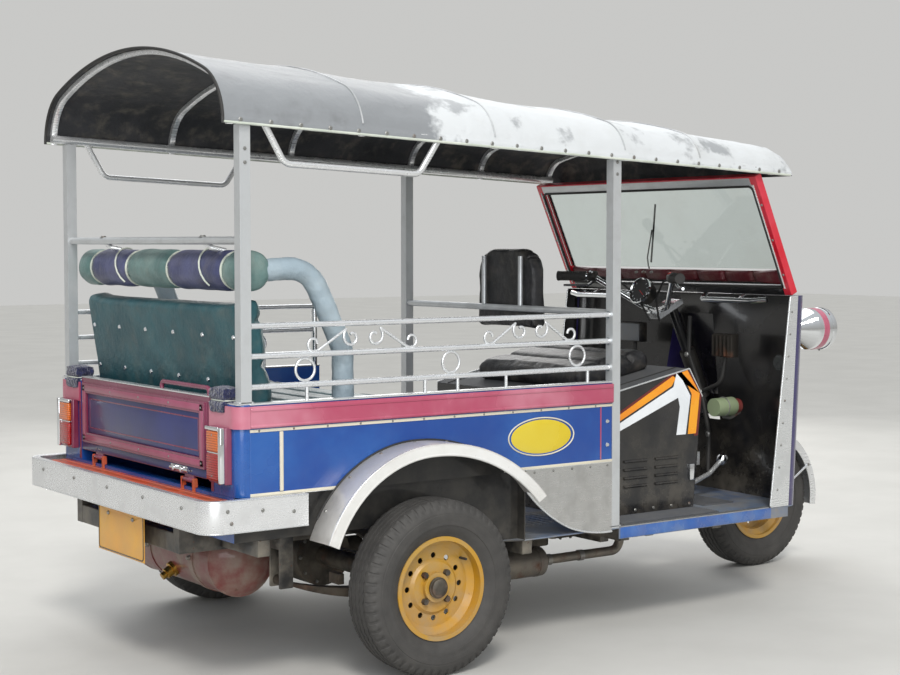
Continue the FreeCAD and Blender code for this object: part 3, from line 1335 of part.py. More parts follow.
def fork_crown():
    """Plate round the stem and both legs, with round ends about the legs."""
    x, y, r, z = AXLE_LOCAL_X, LEG_Y, FORK_LEG_R, CROWN_LOW
    edges = [
        line((x + r, -y, z), (x + r, y, z)),
        arc((x + r, y, z), (x, y + r, z), (x - r, y, z)),
        line((x - r, y, z), (-HEAD_R, HEAD_R, z)),
        line((-HEAD_R, HEAD_R, z), (-HEAD_R, -HEAD_R, z)),
        line((-HEAD_R, -HEAD_R, z), (x - r, -y, z)),
        arc((x - r, -y, z), (x, -y - r, z), (x + r, -y, z)),
    ]
    return Part.Face(wire_of(edges)).extrude(V(0, 0, CROWN_T))


def front_fork():
    """Fork drawn about an upright steering axis: stem, crown, legs and wheel spindle."""
    pieces = [
        rod((0, 0, CROWN_LOW), (0, 0, STEM_TOP), STEM_R),
        fork_crown(),
        rod((AXLE_LOCAL_X, -LEG_Y, AXLE_LOCAL_Z), (AXLE_LOCAL_X, LEG_Y, AXLE_LOCAL_Z), SPINDLE_R),
    ]
    for side in (-1, 1):
        x, y = AXLE_LOCAL_X, side * LEG_Y
        foot_z, joint_z, top_z = AXLE_LOCAL_Z - FORK_FOOT, FORK_SLIDER_TOP, CROWN_LOW + CROWN_T
        pieces.append(rod((x, y, foot_z), (x, y, joint_z), FORK_LEG_R))
        pieces.append(rod((x, y, joint_z), (x, y, top_z), FORK_TUBE_R))
    return lean(fuse(pieces))


def handlebar():
    """Yoke on the stem's top that reaches back, with the swept bar and its grips."""
    yoke = box(-YOKE_REACH, HEAD_R, -YOKE_HALF_W, YOKE_HALF_W, STEM_TOP + SEAT, STEM_TOP + SEAT + YOKE_T)
    pieces = [lean(yoke)]
    middle = leaned(25.0 - YOKE_REACH, 0, STEM_TOP + YOKE_T)
    for side in (-1, 1):
        bend = (BAR_BEND[0], side * BAR_BEND[1], BAR_BEND[2])
        end = (BAR_END[0], side * BAR_END[1], BAR_END[2])
        foot = (middle[0] - 8.0, side * 70.0, middle[2] + 16.0)
        pieces.append(bent_tube((middle, foot, bend, end), BAR_R, 36.0))
        along = (V(*end) - V(*bend)).normalize()
        start = V(*bend) + along * 24.0
        pieces.append(Part.makeCylinder(GRIP_R, (V(*end) - start).Length, start, along))
    return fuse(pieces)


def front_mudguard():
    """Curved guard over the front tyre, carried by stays on the fork legs."""
    centre = V(WHEELBASE, 0, TYRE_R)
    r_in = TYRE_R + GUARD_GAP
    half = LEG_Y - FORK_LEG_R - SEAT
    start, end = -8.0, 128.0

    def at(radius, angle, y):
        t = math.radians(angle)
        return (centre.x + radius * math.cos(t), y, centre.z + radius * math.sin(t))

    def band(ri, ro, y0, y1):
        mid = (start + end) / 2.0
        edges = [
            arc(at(ro, start, y0), at(ro, mid, y0), at(ro, end, y0)),
            arc(at(ri, start, y0), at(ri, mid, y0), at(ri, end, y0)),
            line(at(ri, start, y0), at(ro, start, y0)),
            line(at(ri, end, y0), at(ro, end, y0)),
        ]
        return Part.Face(wire_of(edges)).extrude(V(0, y1 - y0, 0))

    crown = band(r_in, r_in + GUARD_T, -half, half)
    cheek = band(r_in - 30.0, r_in + GUARD_T, half - GUARD_T, half)
    return fuse([crown] + both_sides(cheek))


def front_wheel():
    tyre = wheel_tyre()
    inner_y = -TYRE_W / 2.0 + 18.0
    outer_y = TYRE_W / 2.0 - 18.0
    hub = fuse([rod((0, inner_y, 0), (0, outer_y, 0), HUB_R - 8.0),
                rod((0, DISC_OFFSET - RIM_T - 12.0, 0), (0, DISC_OFFSET - RIM_T, 0), 78.0)])
    rim = fuse([wheel_rim(1), hub]).cut(rod((0, -TYRE_W, 0), (0, TYRE_W, 0), SPINDLE_R + RUNNING))
    centre = V(WHEELBASE, 0, TYRE_R)
    tyre.translate(centre)
    rim.translate(centre)
    return tyre, rim


def place():
    """Middle of the footprint between the bumper's back and the front guard's tip."""
    front = WHEELBASE + TYRE_R + GUARD_GAP + GUARD_T
    return V(-(front + BUMPER_REAR_X) / 2.0, 0, 0)


def write(name, shape):
    moved = shape.copy()
    moved.translate(place())
    moved.exportStep("parts/" + name + ".step")
    solids = len(moved.Solids)
    state = "ok" if moved.isValid() and solids else "BAD"
    print(name, state, solids, round(moved.Volume / 1e6, 2))


def main():
    os.makedirs("parts", exist_ok=True)
    right_tyre, right_rim = rear_wheel(-1)
    left_tyre, left_rim = rear_wheel(1)
    front_tyre, front_rim = front_wheel()
    nodes = {
        "ladder_frame": ladder_frame(),
        "frame_members": frame_members(),
        "rear_axle": rear_axle(),
        "leaf_springs": leaf_springs(),
        "engine_block": engine_block(),
        "propshaft": propshaft(),
        "exhaust": exhaust(),
        "gas_tank": gas_tank(),
        "floor_pan": floor_pan(),
        "side_panels": side_panels(),
        "rear_corner_pillars": rear_corner_pillars(),
        "tail_lamps": tail_lamps(),
        "tailgate": tailgate(),
        "bumper_deck": bumper_deck(),
        "rear_bumper": rear_bumper(),
        "number_plate": number_plate(),
        "arch_flares": arch_flares(),
        "skirt": skirt(),
        "rub_rails": rub_rails(),
        "bench_box": bench_box(),
        "bench_cushion": bench_cushion(),
        "bench_backrest": bench_backrest(),
        "bolster_roll": bolster_roll(),
        "side_rails": side_rails(),
        "roof_posts": roof_posts(),
        "roof_frame": roof_frame_node(),
        "canopy": canopy(),
        "engine_cover": engine_cover(),
        "driver_seat": driver_seat(),
        "front_cowl": front_cowl(),
        "cowl_edge_strips": cowl_edge_strips(),
        "dash_panel": dash_panel(),
        "windscreen_frame": windscreen_frame(),
        "windscreen_glass": windscreen_glass(),
        "headlamps": headlamps(),
        "pedals_levers": pedals_levers(),
        "front_fork": front_fork(),
        "handlebar": handlebar(),
        "front_mudguard": front_mudguard(),
        "front_tyre": front_tyre,
        "front_rim": front_rim,
        "rear_tyre_right": right_tyre,
        "rear_rim_right": right_rim,
        "rear_tyre_left": left_tyre,
        "rear_rim_left": left_rim,
    }
    for name, shape in nodes.items():
        write(name, shape)


main()
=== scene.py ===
# Looks of a three-wheeled passenger rickshaw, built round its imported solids. Metres, +X forward, +Y left.
import bmesh
import bpy
import math
from mathutils import Matrix, Vector, noise
from mathutils.bvhtree import BVHTree


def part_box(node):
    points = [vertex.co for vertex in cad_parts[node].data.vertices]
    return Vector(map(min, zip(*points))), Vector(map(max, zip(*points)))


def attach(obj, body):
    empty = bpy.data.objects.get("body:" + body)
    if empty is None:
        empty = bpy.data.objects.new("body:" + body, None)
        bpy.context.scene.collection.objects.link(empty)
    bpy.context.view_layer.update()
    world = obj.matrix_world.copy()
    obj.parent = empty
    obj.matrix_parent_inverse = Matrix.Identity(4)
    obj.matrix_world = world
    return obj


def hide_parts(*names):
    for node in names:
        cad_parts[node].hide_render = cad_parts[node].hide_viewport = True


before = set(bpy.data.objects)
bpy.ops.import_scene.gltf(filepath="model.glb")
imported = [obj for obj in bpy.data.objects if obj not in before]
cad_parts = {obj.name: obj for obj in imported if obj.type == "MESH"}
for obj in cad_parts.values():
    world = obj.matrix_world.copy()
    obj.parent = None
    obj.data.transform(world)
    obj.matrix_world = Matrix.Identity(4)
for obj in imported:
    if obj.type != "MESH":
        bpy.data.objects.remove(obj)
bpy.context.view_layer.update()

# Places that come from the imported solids
AXLE = (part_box("rear_tyre_right")[0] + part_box("rear_tyre_right")[1]) / 2.0
FRONT_HUB = (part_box("front_tyre")[0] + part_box("front_tyre")[1]) / 2.0
TYRE_R = AXLE.z
PANEL_LOW, PANEL_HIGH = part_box("side_panels")
RUB_LOW, RUB_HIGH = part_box("rub_rails")
SIDE_Y = PANEL_HIGH.y
SIDES = ((-1, "right"), (1, "left"))
MM = 0.001

# Colours that cover several finishes, and the settings of the nodes that recur
DUST = "#8d8577"
RUST = "#5a3420"
TINT = ("ShaderNodeMix", {"data_type": "RGBA"}, 2)
TIMES = ("ShaderNodeMath", {"operation": "MULTIPLY"})
TIMES_PLUS = ("ShaderNodeMath", {"operation": "MULTIPLY_ADD"})
LARGER = ("ShaderNodeMath", {"operation": "MAXIMUM"})
SPAN = ("ShaderNodeMapRange", {})
SOFT_SPAN = ("ShaderNodeMapRange", {"interpolation_type": "SMOOTHSTEP"})
RELIEF = ("ShaderNodeBump", {})


def fore(x):
    """Row x of a place x metres ahead of the rear axle."""
    return AXLE.x + x


def linear(code):
    """Linear RGBA of an sRGB hex colour."""
    channels = [int(code[i:i + 2], 16) / 255.0 for i in (1, 3, 5)]
    return (*[c / 12.92 if c <= 0.04045 else ((c + 0.055) / 1.055) ** 2.4 for c in channels], 1.0)


def add(tree, kind, settings=None, out=0, **inputs):
    """Adds a node and gives its output. Inputs go by name or number, as values, hex colours or outputs."""
    made = tree.nodes.new(kind)
    for key, value in (settings or {}).items():
        setattr(made, key, value)
    for key, value in inputs.items():
        socket = made.inputs[int(key[1:]) if key[1:].isdigit() else key.replace("_", " ")]
        if isinstance(value, bpy.types.NodeSocket):
            tree.links.new(value, socket)
        else:
            socket.default_value = linear(value) if str(value).startswith("#") else value
    return made.outputs[out] if made.outputs else made


def material(name, surface, **constants):
    """A material from a function that returns what varies; the constants sit on the shader itself."""
    made = bpy.data.materials.new(name)
    made.use_nodes = True
    tree = made.node_tree
    tree.nodes.clear()
    place = add(tree, "ShaderNodeTexCoord", out="Object")
    shader = add(tree, "ShaderNodeBsdfPrincipled", **constants)
    for socket, output in surface(tree, place).items():
        tree.links.new(output, shader.node.inputs[socket])
    add(tree, "ShaderNodeOutputMaterial", Surface=shader)
    return made


def patches(tree, place, size_mm, low, high, detail=4.0, stretch=(1.0, 1.0, 1.0)):
    """Soft patches about size_mm across, 0 outside and 1 inside, by noise between two levels."""
    turned = add(tree, "ShaderNodeMapping", Vector=place, Scale=stretch)
    field = add(tree, "ShaderNodeTexNoise", out="Fac", Vector=turned, Scale=1000.0 / size_mm, Detail=detail,
                Roughness=0.6)
    return add(tree, *SOFT_SPAN, Value=field, From_Min=low, From_Max=high)


def low_dust(tree, place, top=0.75):
    """Road dust that thickens towards the ground and thins out at height top."""
    height = add(tree, "ShaderNodeSeparateXYZ", out="Z", Vector=place)
    fall = add(tree, *SOFT_SPAN, Value=height, From_Min=0.15, From_Max=top, To_Min=1.0, To_Max=0.12)
    return add(tree, *TIMES, i0=fall, i1=patches(tree, place, 90.0, 0.3, 0.75))


def enamel(name, base, faded, dirt=0.5, shine=0.22, chips=0.0):
    """Gloss enamel sprayed on steel: orange peel, chalky fading, dust near the ground and rust at chips."""
    def surface(tree, place):
        fade = patches(tree, place, 320.0, 0.35, 0.75)
        paint = add(tree, *TINT, i0=fade, i6=base, i7=faded)
        dust = add(tree, *TIMES, i0=low_dust(tree, place), i1=dirt)
        shade = add(tree, *TINT, i0=dust, i6=paint, i7=DUST)
        chip = patches(tree, place, 16.0, 0.71 - chips, 0.74 - chips, 6.0)
        bare = add(tree, *TIMES, i0=chip, i1=min(1.0, chips * 12.0))
        dull = add(tree, *LARGER, i0=dust, i1=add(tree, *TIMES, i0=fade, i1=0.25))
        # orange peel is 2 mm wide on the sprayed panel, drawn at 6 mm so that it shows
        peel = patches(tree, place, 6.0, 0.2, 0.8, 2.0)
        wave = patches(tree, place, 260.0, 0.2, 0.8, 1.0)
        height = add(tree, *TIMES_PLUS, i0=wave, i1=6.0, i2=peel)
        return {"Base Color": add(tree, *TINT, i0=bare, i6=shade, i7=RUST),
                "Roughness": add(tree, *SPAN, Value=dull, To_Min=shine, To_Max=0.75),
                "Normal": add(tree, *RELIEF, Height=height, Distance=0.12 * MM)}
    return material(name, surface, Coat_Weight=0.35, Coat_Roughness=0.08)


def sheet_steel(name, base, rough=0.24, dirt=0.45, run="x", metal=1.0, water=0.4):
    """Polished stainless sheet, wiped along one way: fine streaks, faint dents and dull water marks."""
    stretch = {"x": (0.02, 1.0, 1.0), "z": (1.0, 1.0, 0.02)}[run]

    def surface(tree, place):
        # wipe marks are under 1 mm wide, drawn at 3 mm so that they show
        streak = patches(tree, place, 3.0, 0.3, 0.7, 3.0, stretch)
        marks = patches(tree, place, 70.0, 0.42, 0.7)
        dust = add(tree, *TIMES, i0=low_dust(tree, place), i1=dirt)
        stained = add(tree, *TINT, i0=add(tree, *TIMES, i0=marks, i1=water), i6=base, i7="#8f8d88")
        dull = add(tree, *TIMES_PLUS, i0=streak, i1=0.25, i2=add(tree, *TIMES, i0=marks, i1=0.35))
        dents = patches(tree, place, 140.0, 0.1, 0.9, 2.0)
        return {"Base Color": add(tree, *TINT, i0=dust, i6=stained, i7=DUST),
                "Roughness": add(tree, *SPAN, Value=dull, To_Min=rough, To_Max=0.6),
                "Metallic": add(tree, *SPAN, Value=dust, To_Min=metal, To_Max=0.35 * metal),
                "Normal": add(tree, *RELIEF, Height=dents, Distance=1.6 * MM)}
    return material(name, surface)


def plated(name, base="#e8eaec", rough=0.07, pits=0.25):
    """Chrome plate on steel tube: a bright mirror with a haze of dust and brown pin-prick rust."""
    def surface(tree, place):
        haze = patches(tree, place, 45.0, 0.4, 0.8)
        pit = add(tree, *TIMES, i0=patches(tree, place, 7.0, 0.64, 0.7, 6.0), i1=pits)
        return {"Base Color": add(tree, *TINT, i0=pit, i6=base, i7=RUST),
                "Roughness": add(tree, *SPAN, Value=haze, To_Min=rough, To_Max=rough + 0.16),
                "Metallic": add(tree, *SPAN, Value=pit, To_Min=1.0, To_Max=0.3)}
    return material(name, surface)


def bare_iron(name, base, rust_share=0.5, rough=0.55):
    """Cast and forged iron under the body: mill scale, oily dark film and brown rust."""
    def surface(tree, place):
        rust = patches(tree, place, 60.0, 0.62 - 0.25 * rust_share, 0.75, 6.0)
        rusted = add(tree, *TINT, i0=rust, i6=base, i7=RUST)
        dust = add(tree, *TIMES, i0=low_dust(tree, place, 0.6), i1=0.7)
        # sand-cast skin has 1 mm grains, drawn at 5 mm so that it shows
        grain = patches(tree, place, 5.0, 0.2, 0.8, 3.0)
        return {"Base Color": add(tree, *TINT, i0=dust, i6=rusted, i7=DUST),
                "Roughness": add(tree, *SPAN, Value=rust, To_Min=rough, To_Max=0.9),
                "Metallic": add(tree, *SPAN, Value=rust, To_Min=0.7, To_Max=0.05),
                "Normal": add(tree, *RELIEF, Height=grain, Distance=0.5 * MM)}
    return material(name, surface)


def vinyl(name, base, worn, shine=0.38, dust=0.2):
    """Upholstery vinyl with a pressed leather grain, rubbed lighter where people sit and lean."""
    def surface(tree, place):
        rub = patches(tree, place, 180.0, 0.35, 0.7)
        grime = add(tree, *TIMES, i0=patches(tree, place, 60.0, 0.45, 0.8), i1=dust)
        skin = add(tree, *TINT, i0=rub, i6=base, i7=worn)
        # the pressed grain is 1.5 mm across, drawn at 5 mm so that it shows
        cells = add(tree, "ShaderNodeTexVoronoi", {"feature": "DISTANCE_TO_EDGE"}, "Distance", Vector=place,
                    Scale=200.0)
        crease = patches(tree, place, 75.0, 0.3, 0.7, 3.0)
        height = add(tree, *TIMES_PLUS, i0=crease, i1=2.0, i2=cells)
        return {"Base Color": add(tree, *TINT, i0=grime, i6=skin, i7=DUST),
                "Roughness": add(tree, *SPAN, Value=grime, To_Min=shine, To_Max=0.8),
                "Normal": add(tree, *RELIEF, Height=height, Distance=1.2 * MM)}
    return material(name, surface, Specular_IOR_Level=0.45)


def coated_canvas(name):
    """PVC-coated canvas over the hoops: silver grey at the back, bleached white and patched forward."""
    def surface(tree, place):
        along = add(tree, "ShaderNodeSeparateXYZ", out="X", Vector=place)
        torn = add(tree, "ShaderNodeTexNoise", out="Fac", Vector=place, Scale=5.5, Detail=5.0, Roughness=0.65)
        line = add(tree, *TIMES_PLUS, i0=torn, i1=0.55, i2=along)
        white = add(tree, *SPAN, Value=line, From_Min=fore(0.15) + 0.20, From_Max=fore(0.15) + 0.26)
        worn = patches(tree, place, 170.0, 0.56, 0.66, 6.0)
        bleached = add(tree, *TIMES, i0=white, i1=add(tree, *SPAN, Value=worn, To_Min=1.0, To_Max=0.25))
        stains = patches(tree, place, 110.0, 0.5, 0.85, 5.0)
        grey = add(tree, *TINT, i0=stains, i6="#85888b", i7="#6f7173")
        pale = add(tree, *TINT, i0=add(tree, *TIMES, i0=stains, i1=0.35), i6="#cbced0", i7="#b9bab8")
        # the base cloth's threads are 0.8 mm apart, drawn 4 mm apart so that they show
        weave = add(tree, "ShaderNodeTexChecker", out="Fac", Vector=place, Scale=250.0)
        ripple = patches(tree, place, 60.0, 0.2, 0.8, 3.0)
        height = add(tree, *TIMES_PLUS, i0=ripple, i1=8.0, i2=weave)
        return {"Base Color": add(tree, *TINT, i0=bleached, i6=grey, i7=pale),
                "Roughness": add(tree, *SPAN, Value=bleached, To_Min=0.42, To_Max=0.7),
                "Normal": add(tree, *RELIEF, Height=height, Distance=0.25 * MM)}
    return material(name, surface)


def rubber(name, base="#1b1b1c", dusty=0.5):
    """Black tyre rubber, greyed by road dust in the tread and along the side's ridges."""
    def surface(tree, place):
        film = patches(tree, place, 55.0, 0.2, 0.85)
        dust = add(tree, *SPAN, Value=film, To_Min=dusty * 0.4, To_Max=dusty * 0.75)
        pores = patches(tree, place, 4.0, 0.2, 0.8, 2.0)
        return {"Base Color": add(tree, *TINT, i0=dust, i6=base, i7="#6b6864"),
                "Roughness": add(tree, *SPAN, Value=dust, To_Min=0.62, To_Max=0.95),
                "Normal": add(tree, *RELIEF, Height=pores, Distance=0.3 * MM)}
    return material(name, surface)


def plain_plastic(name, base, rough=0.35, speck=0.2):
    """Moulded plastic with a faint haze of dust in its gloss."""
    def surface(tree, place):
        haze = patches(tree, place, 30.0, 0.35, 0.8)
        return {"Base Color": add(tree, *TINT, i0=add(tree, *TIMES, i0=haze, i1=speck), i6=base, i7=DUST),
                "Roughness": add(tree, *SPAN, Value=haze, To_Min=rough, To_Max=rough + 0.25)}
    return material(name, surface)


def ribbed_lens(name, base, across="z", pitch_mm=7.0, painted_groove_shade="#2a0a05"):
    """Pressed acrylic lens with prism ribs, lit from inside only by daylight; its grooves are painted darker, as
    painted shade.
    """
    def surface(tree, place):
        ribs = add(tree, "ShaderNodeTexWave", {"bands_direction": across.upper()}, "Fac", Vector=place,
                   Scale=1000.0 / pitch_mm / 20.0 * 2.0 * math.pi)
        # the groove colour darkens the grooves between the ribs: painted shade
        shade = add(tree, *TINT, i0=ribs, i6=base, i7=painted_groove_shade)
        faint = add(tree, *SPAN, Value=ribs, To_Min=0.0, To_Max=0.35)
        return {"Base Color": add(tree, *TINT, i0=faint, i6=base, i7=shade),
                "Normal": add(tree, *RELIEF, Height=ribs, Distance=1.5 * MM)}
    return material(name, surface, Roughness=0.12, Coat_Weight=0.6, Coat_Roughness=0.04)


def clear_glass(name, tint="#e6efec", rough=0.02):
    """Float glass, faintly green, with a film of dust that catches the light."""
    def surface(tree, place):
        film = patches(tree, place, 220.0, 0.4, 0.8)
        return {"Base Color": add(tree, *TINT, i0=film, i6=tint, i7="#dfe6e2"),
                "Roughness": add(tree, *SPAN, Value=film, To_Min=rough, To_Max=rough + 0.05)}
    return material(name, surface, Transmission_Weight=1.0, IOR=1.45)


def plush(name, base, light):
    """Deep-pile cloth: a soft, dark surface that brightens at grazing angles."""
    def surface(tree, place):
        tufts = patches(tree, place, 14.0, 0.3, 0.7, 4.0)
        return {"Base Color": add(tree, *TINT, i0=tufts, i6=base, i7=light),
                "Normal": add(tree, *RELIEF, Height=tufts, Distance=5.0 * MM)}
    return material(name, surface, Roughness=0.95, Sheen_Weight=0.5, Sheen_Roughness=0.4)


# Finishes, each named for the real material, except those that paint shade, which say so
blue_enamel = enamel("Blue enamel", "#0b3f8c", "#20579f", dirt=0.18, shine=0.16, chips=0.01)
navy_enamel = enamel("Navy enamel", "#1c2358", "#2c3570", dirt=0.2, shine=0.34)
gate_enamel = enamel("Deep maroon-pink enamel", "#8a3350", "#a05470", dirt=0.25, shine=0.28, chips=0.02)
purple_enamel = enamel("Purple-blue enamel", "#2b2559", "#3a356d", dirt=0.4, shine=0.2)
maroon_enamel = enamel("Maroon enamel", "#6d1f3c", "#82405a", dirt=0.3, shine=0.2, chips=0.01)
pink_enamel = enamel("Faded maroon-pink enamel", "#a84560", "#c07a8b", dirt=0.3, shine=0.25, chips=0.02)
deck_enamel = enamel("Orange-red deck enamel", "#c9441b", "#b2532d", dirt=0.9, shine=0.35, chips=0.03)
wheel_enamel = enamel("Yellow wheel enamel", "#b5841a", "#b08a2c", dirt=0.55, shine=0.3, chips=0.03)
oval_enamel = enamel("Lemon yellow enamel", "#cfb51c", "#d3bf3e", dirt=0.15, shine=0.25)
# black for the wheel wells and behind the flares: painted shade
wheel_well_shade = enamel("Black wheel-well undercoat", "#0c0c0d", "#161617", dirt=0.3, shine=0.6)
plate_enamel = enamel("Yellow plate enamel", "#dc980f", "#d9a437", dirt=0.3, shine=0.3)
red_enamel = enamel("Red pillar enamel", "#c81228", "#d2485a", dirt=0.15, shine=0.18)
tank_enamel = enamel("Dark red tank enamel", "#6b1a1c", "#7d3a34", dirt=0.9, shine=0.45, chips=0.05)
black_enamel = enamel("Black enamel", "#121214", "#242427", dirt=0.45, shine=0.2)
chassis_enamel = enamel("Black chassis enamel", "#1a1a1b", "#2e2c2a", dirt=1.0, shine=0.5, chips=0.06)
floor_enamel = enamel("Blue-grey floor enamel", "#4b5f80", "#8491a0", dirt=0.9, shine=0.4, chips=0.04)
white_lip = enamel("White lip enamel", "#dcdcda", "#c9c7c2", dirt=0.45, shine=0.2, chips=0.015)
cream_line = enamel("Cream coach line", "#d9d2bd", "#c9c3b2", dirt=0.3, shine=0.3)
sill_blue = enamel("Blue sill enamel", "#1a4f9e", "#4a7bb8", dirt=0.35, shine=0.2, chips=0.02)
white_stripe = enamel("White stripe film", "#eceff2", "#d5dade", dirt=0.1, shine=0.2)
orange_stripe = enamel("Orange stripe film", "#ef8a12", "#f0b020", dirt=0.1, shine=0.2)
dark_red_stripe = enamel("Dark red stripe film", "#5e1410", "#732019", dirt=0.1, shine=0.25)
red_stripe = enamel("Red mark", "#c4160f", "#b02a20", dirt=0.05, shine=0.25)
flare_steel = sheet_steel("Pressed flare sheet", "#dad8d5", 0.3, 0.3, metal=0.35, water=0.2)
sill_alloy = sheet_steel("Aluminium sill strip", "#c9cdd2", 0.3, 0.6)
stainless = sheet_steel("Stainless sheet", "#e4e5e6", 0.22, 0.12, metal=0.65, water=0.12)
stainless_post = sheet_steel("Stainless square tube", "#c9ccce", 0.34, 0.15, "z", 0.55, 0.15)
stainless_skirt = sheet_steel("Wiped stainless skirt", "#cfcfce", 0.24, 0.3, water=0.25)
bright_flange = sheet_steel("Polished stainless flange", "#e2e4e5", 0.2, 0.12, metal=0.75, water=0.12)
rail_steel = sheet_steel("Polished rail tube", "#e6e8ea", 0.2, 0.05, metal=0.7, water=0.08)
chrome = plated("Chromed tube")
mirror_chrome = plated("Chromed fitting", "#e2e4e6", 0.04, 0.1)
brass = plated("Brass valve", "#b08a3e", 0.3, 0.2)
zinc_bolt = bare_iron("Zinc-plated bolt", "#8f8f8c", 0.35, 0.35)
cast_iron = bare_iron("Oily cast iron", "#3a3734", 0.4)
spring_steel = bare_iron("Spring steel", "#3d352f", 0.8, 0.6)
pipe_steel = bare_iron("Aluminised exhaust steel", "#77716a", 0.5, 0.45)
teal_vinyl = vinyl("Teal seat vinyl", "#1d474f", "#2d5a61")
teal_grey_vinyl = vinyl("Grey-teal seat vinyl", "#557371", "#7f9793")
blue_grey_vinyl = vinyl("Dark blue bolster vinyl", "#353a5c", "#54587c")
arm_vinyl = vinyl("Pale grey arm vinyl", "#93a3ad", "#aab8bf")
wine_vinyl = vinyl("Maroon seat vinyl", "#4a1119", "#5d1c26")
black_vinyl = vinyl("Black seat vinyl", "#1a1a1c", "#2b2b2e")
piping_vinyl = vinyl("Cream piping vinyl", "#b9c0b4", "#cfd3c8")
welt_canvas = vinyl("Canopy seam welt", "#9b9da0", "#c2c4c6", 0.5, 0.3)
# near-black underside of the canopy: painted shade under the canopy
canopy_underside_shade = vinyl("Dark canopy underside, painted shade", "#2a2b2e", "#3a3a3d", 0.6, 0.4)
canvas = coated_canvas("Coated canopy canvas")
tyre_rubber = rubber("Tyre rubber")
seal_rubber = rubber("Black rubber seal", "#141415", 0.2)
grip_rubber = rubber("Grip rubber", "#1c1c1d", 0.25)
mat_rubber = rubber("Ribbed floor mat", "#3c434d", 0.75)
pedal_rubber = rubber("Worn pedal rubber", "#4a4a46", 0.6)
black_plastic = plain_plastic("Black moulded plastic", "#161617")
grey_plastic = plain_plastic("Grey moulded plastic", "#6f7276", 0.4)
pale_green_plastic = plain_plastic("Pale green plastic", "#8f9e7c", 0.4)
dial_face = plain_plastic("Black dial face", "#101012", 0.3, 0.05)
# the lenses' groove colours below paint the grooves darker, as painted shade
red_lens = ribbed_lens("Red lamp lens", "#a3100c")
amber_lens = ribbed_lens("Amber lamp lens", "#d5650c")
fluted_glass = ribbed_lens("Fluted headlamp glass", "#c9d2d6", "y", 9.0, "#8d979c")
screen_glass = clear_glass("Windscreen glass")
blue_plush = plush("Dark blue plush", "#10122f", "#262b55")


def new_piece(name, verts, faces, finish, edges=()):
    mesh = bpy.data.meshes.new(name)
    mesh.from_pydata(verts, edges, faces)
    mesh.materials.append(finish)
    made = bpy.data.objects.new(name, mesh)
    bpy.context.scene.collection.objects.link(made)
    return made


def piece_of(name, work, finish):
    """A piece from a bmesh, which is then freed."""
    made = new_piece(name, [], [], finish)
    work.to_mesh(made.data)
    work.free()
    return made


def rounded(work, offset, segments):
    bmesh.ops.bevel(work, geom=work.edges[:], offset=offset, segments=segments, affect="EDGES", profile=0.5)


def band_faces(rows, steps):
    """Faces between rings of steps points each, ring after ring."""
    return [(j * steps + i, j * steps + k, (j + 1) * steps + k, (j + 1) * steps + i)
            for j in range(rows) for i in range(steps) for k in [(i + 1) % steps]]


def smooth(piece, angle=40.0):
    piece.data.polygons.foreach_set("use_smooth", [True] * len(piece.data.polygons))
    piece.data.set_sharp_from_angle(angle=math.radians(angle))
    return piece


def tidy(piece, angle=40.0, merge=0.00002):
    """Merges doubles, turns the faces outwards and shades smooth up to an edge angle."""
    work = bmesh.new()
    work.from_mesh(piece.data)
    bmesh.ops.remove_doubles(work, verts=work.verts, dist=merge)
    bmesh.ops.recalc_face_normals(work, faces=work.faces)
    work.to_mesh(piece.data)
    work.free()
    return smooth(piece, angle)


def keep_result(piece):
    """Makes the mesh that the modifiers give the piece's own plain mesh."""
    graph = bpy.context.evaluated_depsgraph_get()
    shown = piece.evaluated_get(graph)
    mesh = bpy.data.meshes.new_from_object(shown, preserve_all_data_layers=True, depsgraph=graph)
    piece.modifiers.clear()
    spent = piece.data
    piece.data = mesh
    bpy.data.meshes.remove(spent)
    return piece


def run_tree(piece, tree, **inputs):
    """Runs a tree of nodes on a piece, with inputs by name, and keeps the result."""
    run = piece.modifiers.new("run", "NODES")
    run.node_group = tree
    for item in tree.interface.items_tree:
        value = inputs.get(item.name.replace(" ", "_"))
        if item.in_out == "INPUT" and value is not None:
            run[item.identifier] = value
    return keep_result(piece)


def node_tree(name, **inputs):
    """An empty tree that takes and gives geometry, with named inputs and a finish, and its inputs' ends."""
    tree = bpy.data.node_groups.new(name, "GeometryNodeTree")
    for label, kind in {"Geometry": "Geometry", **inputs, "Finish": "Material"}.items():
        tree.interface.new_socket(label.replace("_", " "), in_out="INPUT", socket_type="NodeSocket" + kind)
    tree.interface.new_socket("Geometry", in_out="OUTPUT", socket_type="NodeSocketGeometry")
    return tree, add(tree, "NodeGroupInput").node.outputs


def finish_tree(tree, given, geometry):
    """Ends a tree with real geometry in its finish."""
    real = add(tree, "GeometryNodeRealizeInstances", Geometry=geometry)
    painted = add(tree, "GeometryNodeSetMaterial", Geometry=real, Material=given["Finish"])
    add(tree, "NodeGroupOutput", Geometry=painted)
    return tree


